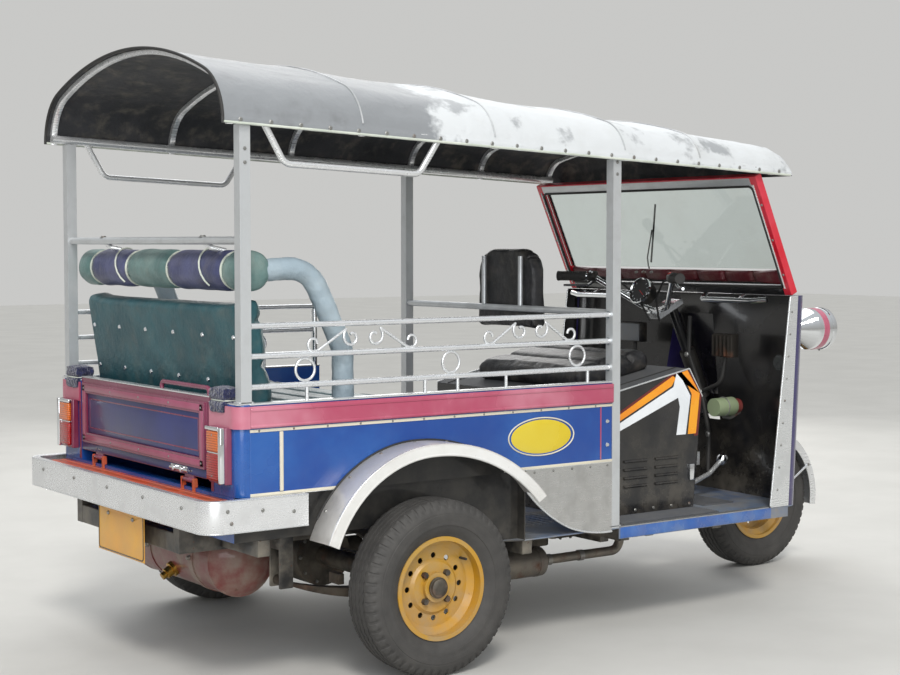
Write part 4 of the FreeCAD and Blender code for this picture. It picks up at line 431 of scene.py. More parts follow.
def rod_tree():
    """Round rod along edges, with round bends at their corners."""
    tree, given = node_tree("Rod along a path", Rod_radius="Float", Bend_radius="Float", Step="Float",
                            Sides="Int")
    path = add(tree, "GeometryNodeMeshToCurve", Mesh=given[0])
    bent = add(tree, "GeometryNodeFilletCurve", Curve=path, Radius=given["Bend radius"], Limit_Radius=True)
    mode = [s for s in bent.node.inputs if s.name == "Mode"]
    if mode:
        mode[0].default_value = "Poly"
    else:
        bent.node.mode = "POLY"
    bent.node.inputs["Count"].default_value = 7
    even = add(tree, "GeometryNodeResampleCurve", {"mode": "LENGTH"}, Curve=bent, Length=given["Step"])
    stepped = add(tree, "FunctionNodeCompare", {"operation": "GREATER_THAN"}, i0=given["Step"], i1=0.0)
    line = add(tree, "GeometryNodeSwitch", {"input_type": "GEOMETRY"}, i0=stepped, i1=bent, i2=even)
    ring = add(tree, "GeometryNodeCurvePrimitiveCircle", Radius=given["Rod radius"], Resolution=given["Sides"])
    skin = add(tree, "GeometryNodeCurveToMesh", Curve=line, Profile_Curve=ring, Fill_Caps=True)
    return finish_tree(tree, given, add(tree, "GeometryNodeSetShadeSmooth", i0=skin))


def head_tree():
    """Domed fastener heads on points, turned to each point's facing."""
    tree, given = node_tree("Fastener heads", Head_radius="Float", Top_radius="Float", Head_height="Float",
                            Sides="Int")
    facing = add(tree, "GeometryNodeInputNamedAttribute", {"data_type": "FLOAT_VECTOR"}, Name="facing")
    turn = add(tree, "FunctionNodeAlignRotationToVector", {"axis": "Z"}, Vector=facing)
    points = add(tree, "GeometryNodeMeshToPoints", Mesh=given[0])
    dome = add(tree, "GeometryNodeMeshCone", {"fill_type": "NGON"}, Vertices=given["Sides"], Side_Segments=1,
               Radius_Top=given["Top radius"], Radius_Bottom=given["Head radius"], Depth=given["Head height"])
    placed = add(tree, "GeometryNodeInstanceOnPoints", Points=points, Instance=dome, Rotation=turn)
    return finish_tree(tree, given, placed)


def ring_tree():
    """One pitch of a wheel's tread, repeated round the Y axis."""
    tree, given = node_tree("Pitches round an axle", Pitches="Int")
    line = add(tree, "GeometryNodeMeshLine", Count=given["Pitches"], Offset=(0.0, 0.0, 0.0))
    points = add(tree, "GeometryNodeMeshToPoints", Mesh=line)
    step = add(tree, "ShaderNodeMath", {"operation": "DIVIDE"}, i0=2.0 * math.pi, i1=given["Pitches"])
    angle = add(tree, *TIMES, i0=add(tree, "GeometryNodeInputIndex"), i1=step)
    turn = add(tree, "ShaderNodeCombineXYZ", Y=angle)
    placed = add(tree, "GeometryNodeInstanceOnPoints", Points=points, Instance=given[0], Rotation=turn)
    real = add(tree, "GeometryNodeRealizeInstances", Geometry=placed)
    return finish_tree(tree, given, add(tree, "GeometryNodeMergeByDistance", Geometry=real, Distance=0.00005))


ROD = rod_tree()
HEADS = head_tree()
RING = ring_tree()


def evenly(a, b, count):
    """Evenly spaced numbers from a to b."""
    return [a + (b - a) * i / (count - 1) for i in range(count)]


def ahead(points):
    """Places in the frame of points given by how far they lie ahead of the rear axle."""
    return [(fore(x), y, z) for x, y, z in points]


def loop_of(centre, half_x, half_y, half_z, count):
    """Points round a circle or oval about centre, from its half sizes."""
    x, y, z = centre
    turns = [math.tau * k / count for k in range(count)]
    return [(x + half_x * math.cos(a), y + half_y * math.cos(a), z + half_z * math.sin(a)) for a in turns]


def rods(name, paths, radius, finish, body="chassis", bend=0.03, sides=14, closed=False, step=0.0):
    """Round rods along straight runs with round bends, as one piece."""
    verts, edges = [], []
    for path in paths:
        first = len(verts)
        verts += [tuple(p) for p in path]
        edges += [(i, i + 1) for i in range(first, len(verts) - 1)]
        if closed:
            edges.append((len(verts) - 1, first))
    piece = new_piece(name, verts, [], finish, edges)
    run_tree(piece, ROD, Rod_radius=radius, Bend_radius=bend, Step=step, Sides=sides, Finish=finish)
    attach(smooth(piece, 50.0), body)
    return piece


def heads(name, places, radius, height, finish=zinc_bolt, body="chassis", sides=12, top=0.62):
    """Fastener heads at places given as point and facing, as one piece."""
    piece = new_piece(name, [tuple(p) for p, facing in places], [], finish)
    facings = piece.data.attributes.new("facing", "FLOAT_VECTOR", "POINT")
    facings.data.foreach_set("vector", [c for p, facing in places for c in facing])
    run_tree(piece, HEADS, Head_radius=radius, Top_radius=radius * top, Head_height=height, Sides=sides,
             Finish=finish)
    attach(smooth(piece, 30.0), body)
    return piece


def screws(name, points, way, radius, height, finish=zinc_bolt, body="chassis", sides=12, top=0.62):
    """Fastener heads at points ahead of the rear axle, which all face one way."""
    return heads(name, [(p, way) for p in ahead(points)], radius, height, finish, body, sides, top)


def block(name, corner, other, finish, body="chassis", bevel=0.002, segments=2):
    """A plate or block between two opposite corners, with rounded edges."""
    low, high = [Vector(p) for p in zip(*[sorted(pair) for pair in zip(corner, other)])]
    size, middle = high - low, (high + low) / 2.0
    work = bmesh.new()
    bmesh.ops.create_cube(work, size=1.0)
    for v in work.verts:
        v.co = Vector((v.co.x * size.x, v.co.y * size.y, v.co.z * size.z)) + middle
    if bevel:
        rounded(work, min(bevel, min(size) * 0.45), segments)
    piece = piece_of(name, work, finish)
    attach(tidy(piece, 35.0), body)
    return piece


def strip(name, x0, x1, y0, y1, z0, z1, finish, body="chassis", bevel=0.001, segments=2):
    """A block given by places ahead of the rear axle, in any order."""
    return block(name, (fore(x0), y0, z0), (fore(x1), y1, z1), finish, body, bevel, segments)


def plate(name, outline, y0, y1, finish):
    """A flat plate between y0 and y1, cut to an outline of x, z points ahead of the rear axle."""
    count = len(outline)
    verts = [(fore(x), y, z) for y in sorted((y0, y1)) for x, z in outline]
    faces = [tuple(range(count)), tuple(range(2 * count - 1, count - 1, -1))]
    faces += [(i, (i + 1) % count, count + (i + 1) % count, count + i) for i in range(count)]
    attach(tidy(new_piece(name, verts, faces, finish), 35.0), "chassis")


def turned(name, profile, centre, axis, finish, body="chassis", steps=48):
    """A piece turned on an axis from a profile of distance along the axis and radius."""
    axis = Vector(axis).normalized()
    across = axis.orthogonal().normalized()
    other = axis.cross(across)
    centre = Vector(centre)
    verts = []
    for along, radius in profile:
        for i in range(steps):
            t = 2.0 * math.pi * i / steps
            spoke = across * math.cos(t) + other * math.sin(t)
            verts.append(tuple(centre + axis * along + spoke * max(radius, 1e-6)))
    faces = band_faces(len(profile) - 1, steps)
    if profile[0][1] > 1e-5:
        faces.append(tuple(range(steps)))
    if profile[-1][1] > 1e-5:
        faces.append(tuple(range(len(verts) - 1, len(verts) - 1 - steps, -1)))
    piece = new_piece(name, verts, faces, finish)
    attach(tidy(piece, 35.0, 0.00005), body)
    return piece


def band(half, inner, outer):
    """Profile of a band round a tube, half wide to each side."""
    return [(-half, inner), (-half, outer), (half, outer), (half, inner)]


def tyre_pitch(pitches):
    """One pitch of the tyre about the Y axis: ridged sides, ribs with wavy grooves, notched shoulders."""
    # half width and radius of the section in millimetres, from the bead up the side and across the tread
    side = [(51.7, 152.7), (51.7, 165.0), (56.0, 171.0), (62.0, 178.5), (66.5, 188.0), (69.6, 197.0),
            (71.4, 198.0), (72.6, 203.0), (72.2, 206.0), (73.8, 214.0), (74.8, 222.0), (74.6, 231.0),
            (73.2, 232.5), (73.4, 237.0), (72.4, 240.0), (70.0, 248.0), (66.5, 255.5), (62.0, 262.5),
            (57.0, 268.5), (52.0, 272.2), (45.5, 273.6)]
    tread = [(36.0, 274.2), (34.5, 267.6), (31.5, 267.6), (30.0, 274.5), (14.0, 274.9), (12.5, 268.2),
             (9.5, 268.2), (8.0, 275.0)]
    half = side + tread
    profile = half + [(-y, r) for y, r in reversed(half)]
    columns = (0.0, 0.3, 0.36, 0.64, 0.7, 1.0)
    tread_edge, groove_wave, notch_depth = 37.0, 2.2, 4.5
    verts, faces = [], []
    for share in columns:
        t = 2.0 * math.pi * share / pitches
        wave = groove_wave * math.sin(2.0 * math.pi * share)
        for y, r in profile:
            if abs(y) < tread_edge:
                y += wave
            elif 50.0 < abs(y) < 67.0 and r > 250.0 and 0.33 < share < 0.67:
                r -= notch_depth
            verts.append((r * MM * math.sin(t), y * MM, r * MM * math.cos(t)))
    rows = len(profile)
    for c in range(len(columns) - 1):
        for a in range(c * rows, c * rows + rows - 1):
            faces.append((a, a + 1, a + 1 + rows, a + rows))
    return verts, faces


def tyre(name, hub, body, node):
    pitches = 56
    piece = new_piece(name, *tyre_pitch(pitches), tyre_rubber)
    run_tree(piece, RING, Pitches=pitches, Finish=tyre_rubber)
    piece.data.transform(Matrix.Translation(hub))
    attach(tidy(piece, 38.0), body)
    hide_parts(node)


def wheel_nuts(name, hub, out, body):
    """Four nuts on a wheel's disc, on the side that out gives."""
    turns = [math.tau * (i + 0.5) / 4.0 for i in range(4)]
    nuts = [(hub + Vector((0.058 * math.sin(a), out * 0.018, 0.058 * math.cos(a))), (0, out, 0)) for a in turns]
    heads(name, nuts, 0.0108, 0.0145, cast_iron, body, 6, 0.9)


def wheel_fittings(name, hub, out, body):
    """Dark grease cap, four wheel nuts and the valve on one side of a wheel."""
    cap = [(0.031, 0.030), (0.034, 0.033), (0.040, 0.033), (0.041, 0.0300), (0.048, 0.0285), (0.0515, 0.024),
           (0.053, 0.012), (0.0532, 0.0)]
    turned(name + "_cap", cap, hub, (0, out, 0), cast_iron, body)
    wheel_nuts(name + "_nuts", hub, out, body)
    valve_turn, valve_r = 0.9, 0.128
    foot = hub + Vector((valve_r * math.sin(valve_turn), out * 0.012, valve_r * math.cos(valve_turn)))
    rods(name + "_valve", [[foot, foot + Vector((0.0, out * 0.034, 0.0))]], 0.004, seal_rubber, body, 0.001, 10)


HUBS = {word: Vector((AXLE.x, side * abs(AXLE.y), AXLE.z)) for side, word in SIDES}
for side, word in SIDES:
    tyre("Tyre_rear_" + word, HUBS[word], "rear_wheel_" + word, "rear_tyre_" + word)
tyre("Tyre_front", FRONT_HUB, "front_wheel", "front_tyre")
for side, word in SIDES:
    wheel_fittings("Wheel_" + word, HUBS[word], side, "rear_wheel_" + word)

# Canopy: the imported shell's arch, station by station, as places ahead of the rear axle and heights
CROWN = [(-0.690, 1.950), (-0.200, 1.921), (0.300, 1.887), (0.8135, 1.838), (1.200, 1.801), (1.450, 1.771),
         (1.590, 1.750), (1.632, 1.712), (1.650, 1.652)]
HOOPS = [-0.660, -0.210, 0.290, 0.841, 1.190, 1.550]
ARCH_HALF_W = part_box("canopy")[1].y


def crown_z(x):
    for (x0, z0), (x1, z1) in zip(CROWN, CROWN[1:]):
        if x <= x1:
            return z0 + (z1 - z0) * (x - x0) / (x1 - x0)
    return CROWN[-1][1]


def canvas_edge_z(x):
    return 1.651 - 0.0424 * x


def arch_point(x, share, inset):
    """Point on the canopy's arch at x, with share from -1 right to 1 left along its length."""
    base = canvas_edge_z(x)
    rise = crown_z(x) - base
    corner_r = 0.67 * rise
    corner_y = ARCH_HALF_W - corner_r
    crown_r = (corner_y ** 2 + rise ** 2 - corner_r ** 2) / (2.0 * (rise - corner_r))
    lean = math.atan2(corner_y, crown_r - rise)
    crown_len = crown_r * lean
    corner_len = corner_r * (math.pi / 2.0 - lean)
    run = abs(share) * (crown_len + corner_len)
    if run <= crown_len:
        angle = run / crown_r
        centre_y, centre_z, r = 0.0, base + rise - crown_r, crown_r
    else:
        angle = lean + (run - crown_len) / corner_r
        centre_y, centre_z, r = corner_y, base, corner_r
    y = centre_y + (r - inset) * math.sin(angle)
    return Vector((fore(x), y if share >= 0.0 else -y, centre_z + (r - inset) * math.cos(angle)))


def canvas_inset(x, share):
    """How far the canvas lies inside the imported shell: taut on the hoops, slack between, doubled at its hem."""
    slack = 0.0
    for a, b in zip(HOOPS, HOOPS[1:]):
        if a <= x <= b and not slack:
            slack = math.sin(math.pi * (x - a) / (b - a)) ** 0.8 * (0.006 + 0.010 * (b - a))
    edge = 1.0 - abs(share)
    slack *= min(1.0, edge / 0.12) * (0.75 + 0.5 * noise.noise(Vector((x * 2.1, share * 3.0, 1.7))))
    ripple = 0.0016 * noise.noise(Vector((x * 9.0, share * 14.0, 5.1)))
    tuck = 0.0014 if edge > 0.028 else 0.0
    pucker = 0.0012 * math.sin(x * 95.0) * max(0.0, 1.0 - edge / 0.06)
    return 0.0022 + slack + ripple + tuck + pucker


stations = []
for (x0, z0), (x1, z1) in zip(CROWN, CROWN[1:]):
    count = max(3, int(round((x1 - x0) / 0.016)))
    stations += [x0 + (x1 - x0) * i / count for i in range(count)]
stations.append(CROWN[-1][0])
shares = [-1.0, -0.986, -0.974, -0.971, -0.95] + [-0.93 + 1.86 * i / 108 for i in range(109)]
shares += [0.95, 0.971, 0.974, 0.986, 1.0]
grid = [[arch_point(min(x, 1.648), share, canvas_inset(x, share)) for share in shares] for x in stations]
# the visor's front face closes the sheet down to its edge line
last = grid[-1]
low = canvas_edge_z(CROWN[-1][0])
for drop in (0.12, 0.3, 0.5, 0.7, 0.85, 0.95, 1.0):
    bulge = 0.004 * math.sin(math.pi * drop)
    grid.append([Vector((p.x - 0.002 - 0.004 * drop + bulge, p.y, p.z + (low - p.z) * drop)) for p in last])
wide = len(shares)
verts = [tuple(p) for row in grid for p in row]
faces = [(i * wide + j, (i + 1) * wide + j, (i + 1) * wide + j + 1, i * wide + j + 1)
         for i in range(len(grid) - 1) for j in range(wide - 1)]
canopy = new_piece("Canopy_sheet", verts, faces, canvas)
canopy.data.materials.append(canopy_underside_shade)
work = bmesh.new()
work.from_mesh(canopy.data)
bmesh.ops.remove_doubles(work, verts=work.verts, dist=0.0002)
bmesh.ops.dissolve_degenerate(work, edges=work.edges, dist=0.0002)
bmesh.ops.recalc_face_normals(work, faces=work.faces)
if sum((f.normal.z * f.calc_area() for f in work.faces)) < 0.0:
    bmesh.ops.reverse_faces(work, faces=work.faces)
canvas_area = sum(f.calc_area() for f in work.faces)
work.to_mesh(canopy.data)
work.free()
# the inner shell takes the near-black underside finish, painted shade under the canopy
thick = canopy.modifiers.new("Canvas and shaded underside", "SOLIDIFY")
thick.thickness = 0.0022
thick.offset = -1.0
thick.material_offset = 1
keep_result(canopy)
smooth(canopy, 60.0)
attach(canopy, "chassis")
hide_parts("canopy")

# Bound edges of the canvas
rear_hem = [arch_point(CROWN[0][0] + 0.004, s, 0.004) for s in [-1.0 + 2.0 * i / 60 for i in range(61)]]
rods("Canopy_rear_binding", [rear_hem], 0.0048, seal_rubber, "chassis", 0.02, 10)
for side, word in SIDES:
    edge = ahead([(x, side * (ARCH_HALF_W - 0.0035), canvas_edge_z(x) + 0.004) for x in (-0.686, 1.64)])
    rods("Canopy_edge_cord_" + word, [edge], 0.0042, piping_vinyl, "chassis", 0.02, 8)


def swollen(name, size, voxel, cap, pressure=4.0, frames=20):
    """A stuffed pad before the plane x 0: a cover cut small and blown up as cloth, by no more than cap."""
    work = bmesh.new()
    bmesh.ops.create_cube(work, size=1.0)
    shrink = cap * 0.55
    deep, broad, high = size[0] - shrink, size[1] - 2.0 * shrink, size[2] - 2.0 * shrink
    for v in work.verts:
        v.co = Vector((v.co.x * deep + deep / 2.0, v.co.y * broad, v.co.z * high))
    rounded(work, min(0.022, deep * 0.3), 3)
    piece = piece_of(name, work, teal_vinyl)
    even = piece.modifiers.new("even mesh", "REMESH")
    even.mode = "VOXEL"
    even.voxel_size = voxel
    keep_result(piece)
    start = [v.co.copy() for v in piece.data.vertices]
    cloth = piece.modifiers.new("stuffing", "CLOTH")
    cloth.settings.quality = 4
    cloth.settings.mass = 0.4
    cloth.settings.use_pressure = True
    cloth.settings.uniform_pressure_force = pressure
    cloth.settings.tension_stiffness = 12.0
    cloth.settings.compression_stiffness = 12.0
    cloth.settings.shear_stiffness = 5.0
    cloth.settings.effector_weights.gravity = 0.0
    cloth.collision_settings.use_collision = False
    cloth.point_cache.frame_start = 1
    cloth.point_cache.frame_end = frames
    for step in range(1, frames + 1):
        bpy.context.scene.frame_set(step)
    keep_result(piece)
    bpy.context.scene.frame_set(1)
    for v, old in zip(piece.data.vertices, start):
        move = v.co - old
        if move.length > cap:
            v.co = old + move * (cap / move.length)
    return piece


def clamp(value, low, high):
    return max(low, min(high, value))


def dimple(gap, width):
    """How deep a stitch or button draws the cover at a distance, as a share of its full depth."""
    return math.exp(-(gap / width) ** 2)


def upholster(name, size, place, finish, node, grooves, buttons=(), voxel=0.009, cap=0.024):
    """A stuffed pad set at place, with sewn channels and buttons on its front. Grooves are y0, z0, y1, z1."""
    piece = swollen(name, size, voxel, cap)
    piece.data.materials.clear()
    piece.data.materials.append(finish)
    finer = piece.modifiers.new("finer", "SUBSURF")
    finer.levels = 1
    keep_result(piece)
    front = size[0]
    for v in piece.data.vertices:
        c = v.co
        c.x = max(c.x, 0.0)
        face = clamp((c.x - front * 0.45) / (front * 0.35), 0.0, 1.0)
        if face > 0.0:
            sink = 0.0
            for y0, z0, y1, z1 in grooves:
                run = Vector((y1 - y0, z1 - z0))
                away = Vector((c.y - y0, c.z - z0))
                gap = (away - run * clamp(away.dot(run) / run.length_squared, 0.0, 1.0)).length
                sink = max(sink, 0.011 * dimple(gap, 0.011) + 0.006 * dimple(gap, 0.045))
            for y, z in buttons:
                sink = max(sink, 0.016 * dimple(math.hypot(c.y - y, c.z - z), 0.026))
            c.x -= sink * face
        crumple = noise.noise(Vector((c.x * 11.0, c.y * 9.0, c.z * 9.0 + len(name))))
        crumple += 0.5 * noise.noise(c * 31.0)
        c.x = min(c.x + 0.0016 * crumple * face, front + 0.004)
        c.y = clamp(c.y, -size[1] / 2.0 - 0.004, size[1] / 2.0 + 0.004)
        c.z = clamp(c.z, -size[2] / 2.0, size[2] / 2.0 + 0.003)
    piece.data.transform(place)
    smooth(piece, 70.0)
    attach(piece, "chassis")
    if node:
        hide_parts(node)
    return piece


def set_face(origin, front):
    """Placement of a pad whose back centre is at origin and that faces along front."""
    front, across = Vector(front).normalized(), Vector((0, 1, 0))
    return Matrix.Translation(origin) @ Matrix((front, across, front.cross(across))).transposed().to_4x4()


def channels(heights, half):
    """Sewn channels straight across a pad."""
    return [(-half, z, half, z) for z in heights]


CUSHION_LOW, CUSHION_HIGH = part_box("bench_cushion")
cushion_size = [b - a for a, b in zip(CUSHION_LOW.zyx, CUSHION_HIGH.zyx)]
cushion_place = set_face(((CUSHION_LOW.x + CUSHION_HIGH.x) / 2.0, 0.0, CUSHION_LOW.z), (0, 0, 1))
upholster("Bench_cushion", cushion_size, cushion_place, teal_vinyl, "bench_cushion",
          channels((-0.17, -0.06, 0.05, 0.16), 0.56), voxel=0.011)
# the backrest leans back, its studs stand in two rows
lean = math.radians(8.0)
back_studs = [(y, z) for z in (0.075, -0.06) for y in [-0.46 + 0.23 * i for i in range(5)]]
back_place = set_face((fore(-0.562), 0.0, 0.957), (math.cos(lean), 0.0, math.sin(lean)))
upholster("Bench_backrest", (0.099, 1.15, 0.462), back_place, teal_vinyl, "bench_backrest",
          channels((0.14, 0.005, -0.12), 0.57), back_studs, voxel=0.011)
facing = (back_place.to_3x3() @ Vector((1, 0, 0))).normalized()
heads("Backrest_studs", [(back_place @ Vector((0.083, y, z)), facing) for y, z in back_studs], 0.011, 0.006,
      mirror_chrome)
rear_studs = [(y, z) for z in (0.10, -0.04) for y in [-0.5 + 0.2 * i for i in range(6)]]
heads("Backrest_rear_studs", [(back_place @ Vector((0.0015, y, z)), -facing) for y, z in rear_studs],
      0.009, 0.005, mirror_chrome)

slope = math.atan2(0.090, 0.470)
seat_place = set_face((fore(1.105), 0.0, 0.8395), (-math.sin(slope), 0.0, math.cos(slope)))
upholster("Driver_seat", (0.075, 0.66, 0.39), seat_place, black_vinyl, "driver_seat",
          channels((-0.09, 0.04), 0.32), cap=0.018)
# the driver's back pad has upright pleats and a round top
pad_low, pad_high, pad_half, pad_round = 1.010, 1.338, 0.190, 0.120
pad_pleats = [(y, -0.145, y, 0.135) for y in (-0.126, -0.063, 0.0, 0.063, 0.126)]
pad_size = (0.070, 2.0 * pad_half, pad_high - pad_low)
pad = upholster("Driver_back_pad", pad_size, Matrix.Identity(4), black_vinyl, None, pad_pleats,
                voxel=0.008, cap=0.014)
round_y, round_z = pad_half - pad_round, (pad_high - pad_low) / 2.0 - pad_round
for v in pad.data.vertices:
    away = Vector((abs(v.co.y) - round_y, v.co.z - round_z))
    if away.x > 0.0 and away.y > 0.0:
        reach = max(away.x, away.y) / max(away.length, 1e-6)
        v.co.y = math.copysign(round_y + away.x * reach, v.co.y)
        v.co.z = round_z + away.y * reach
pad.data.transform(set_face((fore(0.8262), 0.0, (pad_low + pad_high) / 2.0), (1, 0, 0)))

RAKE = math.radians(24.6)
dash_place = set_face((fore(1.6745), 0.0, 1.2162), (-math.cos(RAKE), 0.0, -math.sin(RAKE)))
dash_pleats = [(y, -0.04, y, 0.04) for y in (-0.45, -0.3, -0.15, 0.0, 0.15, 0.3, 0.45)]
upholster("Dash_pad", (0.024, 1.203, 0.070), dash_place, wine_vinyl, "dash_panel",
          dash_pleats, voxel=0.0065, cap=0.007)

# Bolster: a roll of sewn segments with light piping, and an arm at each end
ROLL_LOW, ROLL_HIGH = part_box("bolster_roll")
roll_x, roll_z = ROLL_LOW.x + 0.065, ROLL_HIGH.z - 0.065
roll_half = ROLL_HIGH.y
seams = (-0.470, -0.110, 0.190, 0.470)
rows, steps = 130, 56
verts, tints = [], []
for i in range(rows + 1):
    y = -roll_half + 2.0 * roll_half * i / rows
    part = sum(1 for s in seams if y > s)
    near = dimple(min(abs(y - s) for s in seams), 0.020)
    end = max(0.0, (abs(y) - roll_half + 0.018) / 0.018)
    for k in range(steps):
        a = 2.0 * math.pi * k / steps
        gather = 0.0022 * math.sin(11.0 * a + 1.3 * part) * near
        lump = 0.0032 * noise.noise(Vector((y * 9.0, math.cos(a) * 1.5, math.sin(a) * 1.5)))
        r = 0.0620 - 0.009 * near + gather + lump - 0.030 * end * end
        verts.append((roll_x + r * math.cos(a), y, roll_z + r * math.sin(a)))
for i in range(rows):
    y = -roll_half + 2.0 * roll_half * (i + 0.5) / rows
    tints += [1 - sum(1 for s in seams if y > s) % 2] * steps
faces = band_faces(rows, steps)
faces += [tuple(range(steps)), tuple(range(rows * steps + steps - 1, rows * steps - 1, -1))]
roll = new_piece("Bolster_roll", verts, faces, blue_grey_vinyl)
roll.data.materials.append(teal_grey_vinyl)
roll.data.polygons.foreach_set("material_index", tints + [1, 1])
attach(tidy(roll, 70.0), "chassis")
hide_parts("bolster_roll")
rings = [loop_of((roll_x, y, roll_z), 0.055, 0.0, 0.055, 40) for y in seams]
rods("Bolster_piping", rings, 0.0042, piping_vinyl, "chassis", 0.002, 8, True)
arm_seat_z = CUSHION_HIGH.z - 0.004
for side, word in SIDES:
    y = side * (roll_half - 0.036 - 0.003)
    path = [(roll_x + 0.02, y, roll_z), (roll_x + 0.21, y, roll_z + 0.01), (roll_x + 0.33, y, 1.010),
            (roll_x + 0.33, y, arm_seat_z)]
    arm = rods("Bolster_arm_" + word, [path], 0.0355, arm_vinyl, "chassis", 0.11, 28, False, 0.008)
    for v in arm.data.vertices:
        creases = noise.noise(Vector((v.co.x * 16.0, v.co.y * 30.0, v.co.z * 16.0)))
        v.co += v.normal * (0.0022 * creases + 0.0014 * noise.noise(v.co * 45.0) - 0.0015)
strap_turns = [math.pi * (k / 16.0 * 1.5 - 0.25) for k in range(17)]
straps = [[(roll_x - 0.066 * math.cos(a), y + 0.11 * (a / math.pi - 0.5), roll_z + 0.066 * math.sin(a))
           for a in strap_turns] for y in (-0.30, 0.30)]
rods("Bolster_straps", straps, 0.0030, piping_vinyl, "chassis", 0.01, 8)

# Side rails: bent round rod with scrolls, between the posts above each panel
RAIL_ZS = (0.916, 1.006, 1.095)
RAIL_Y = 0.6225
RAIL_REAR = -0.5925


def coil(cx, cz, r0, r1, a0, a1, count=14):
    """Spiral points in the x, z plane from radius r0 at angle a0 to r1 at a1, in degrees."""
    points = []
    for i in range(count + 1):
        t = i / count
        a = math.radians(a0 + (a1 - a0) * t)
        r = r0 + (r1 - r0) * t
        points.append((cx + r * math.cos(a), cz + r * math.sin(a)))
    return points


def scroll_paths(x0, x1, y):
    """Two mirrored S-scrolls between the upper rails: coils in the middle, diagonals, hooks at the feet."""
    middle, half = (x0 + x1) / 2.0, (x1 - x0) / 2.0
    inner = coil(0.042, (RAIL_ZS[1] + RAIL_ZS[2]) / 2.0 + 0.002, 0.010, 0.0335, -300.0, 75.0)
    foot = [(half - 0.045, RAIL_ZS[1] + 0.010)]
    hook = coil(half - 0.030, RAIL_ZS[1] + 0.030, 0.022, 0.013, -90.0, 175.0)
    return [ahead([(middle + s * x, y, z) for x, z in inner + foot + hook]) for s in (-1, 1)]


def side_rails(name, side, x1, ring_xs, motifs, stub_xs):
    y = side * RAIL_Y
    tubes = rods("Rails_" + name, [ahead([(RAIL_REAR, y, z), (x1, y, z)]) for z in RAIL_ZS], 0.0088, rail_steel,
                 sides=20)
    stubs = [ahead([(x, y, PANEL_HIGH.z - 0.002), (x, y, RAIL_ZS[0])]) for x in stub_xs]
    rods("Rail_stubs_" + name, stubs, 0.0055, rail_steel)
    rings = [loop_of((fore(x), y, 0.961), 0.033, 0.0, 0.033, 28) for x in ring_xs]
    rods("Rail_rings_" + name, rings, 0.0042, rail_steel, closed=True, bend=0.001, sides=10)
    scrolls = [path for a, b in motifs for path in scroll_paths(a, b, y)]
    rods("Rail_scrolls_" + name, scrolls, 0.0044, rail_steel, bend=0.001, sides=10)
    return tubes


right_rails = side_rails("right", -1, 0.796, (-0.402, 0.134, 0.654), ((-0.402, 0.012), (0.256, 0.654)),
                         (-0.396, 0.034, 0.160, 0.354, 0.700))
side_rails("left", 1, 0.38, (-0.402, 0.134), ((-0.402, 0.012),), (-0.396, 0.034, 0.160))
rods("Rail_end_post", [ahead([(0.38, RAIL_Y, PANEL_HIGH.z), (0.38, RAIL_Y, RAIL_ZS[2] + 0.009)])], 0.012, chrome,
     sides=20)
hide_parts("side_rails")


def dress(node, finish, bevel=0.0, segments=2):
    """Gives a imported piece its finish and, where its real edges are rounded, a small bevel."""
    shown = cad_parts[node]
    shown.data.materials.clear()
    shown.data.materials.append(finish)
    shown.data.polygons.foreach_set("material_index", [0] * len(shown.data.polygons))
    if bevel:
        weld = shown.modifiers.new("One skin", "WELD")
        weld.merge_threshold = 0.00002
        round_off = shown.modifiers.new("Rounded edges", "BEVEL")
        round_off.width = bevel
        round_off.segments = segments
        round_off.limit_method = "ANGLE"
        round_off.angle_limit = math.radians(40.0)
        round_off.harden_normals = False


dress("ladder_frame", chassis_enamel, 0.003)
dress("frame_members", chassis_enamel, 0.003)
dress("rear_axle", cast_iron)
dress("leaf_springs", spring_steel, 0.001, 1)
dress("engine_block", cast_iron, 0.012, 3)
dress("propshaft", spring_steel)
dress("exhaust", pipe_steel)
dress("gas_tank", tank_enamel)
dress("floor_pan", floor_enamel, 0.002)
dress("side_panels", blue_enamel, 0.003)
dress("rear_corner_pillars", blue_enamel, 0.002)
dress("tail_lamps", maroon_enamel, 0.002)
dress("tailgate", maroon_enamel, 0.003)
dress("bumper_deck", deck_enamel, 0.002)
dress("rear_bumper", stainless, 0.0015)
dress("number_plate", plate_enamel, 0.0007, 1)
dress("arch_flares", flare_steel, 0.0012, 1)
dress("skirt", stainless_skirt)
dress("rub_rails", pink_enamel, 0.003)
dress("bench_box", blue_enamel, 0.003)
dress("roof_posts", stainless_post, 0.003)
dress("roof_frame", stainless, 0.001, 1)
dress("engine_cover", black_enamel, 0.006, 3)
dress("front_cowl", purple_enamel, 0.0012, 1)
dress("cowl_edge_strips", bright_flange, 0.0007, 1)
dress("windscreen_frame", red_enamel, 0.004, 3)
dress("windscreen_glass", screen_glass)
dress("headlamps", mirror_chrome)
dress("pedals_levers", bright_flange, 0.0015, 1)
dress("front_fork", black_enamel)
dress("handlebar", chrome)
dress("front_mudguard", stainless)
dress("front_rim", wheel_enamel)
dress("rear_rim_right", wheel_enamel)
dress("rear_rim_left", wheel_enamel)


def repaint(node, finish, test):
    """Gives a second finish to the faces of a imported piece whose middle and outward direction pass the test."""
    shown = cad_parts[node]
    shown.data.materials.append(finish)
    turn = shown.matrix_world.to_3x3()
    for face in shown.data.polygons:
        if test(shown.matrix_world @ face.center, (turn @ face.normal).normalized()):
            face.material_index = 1


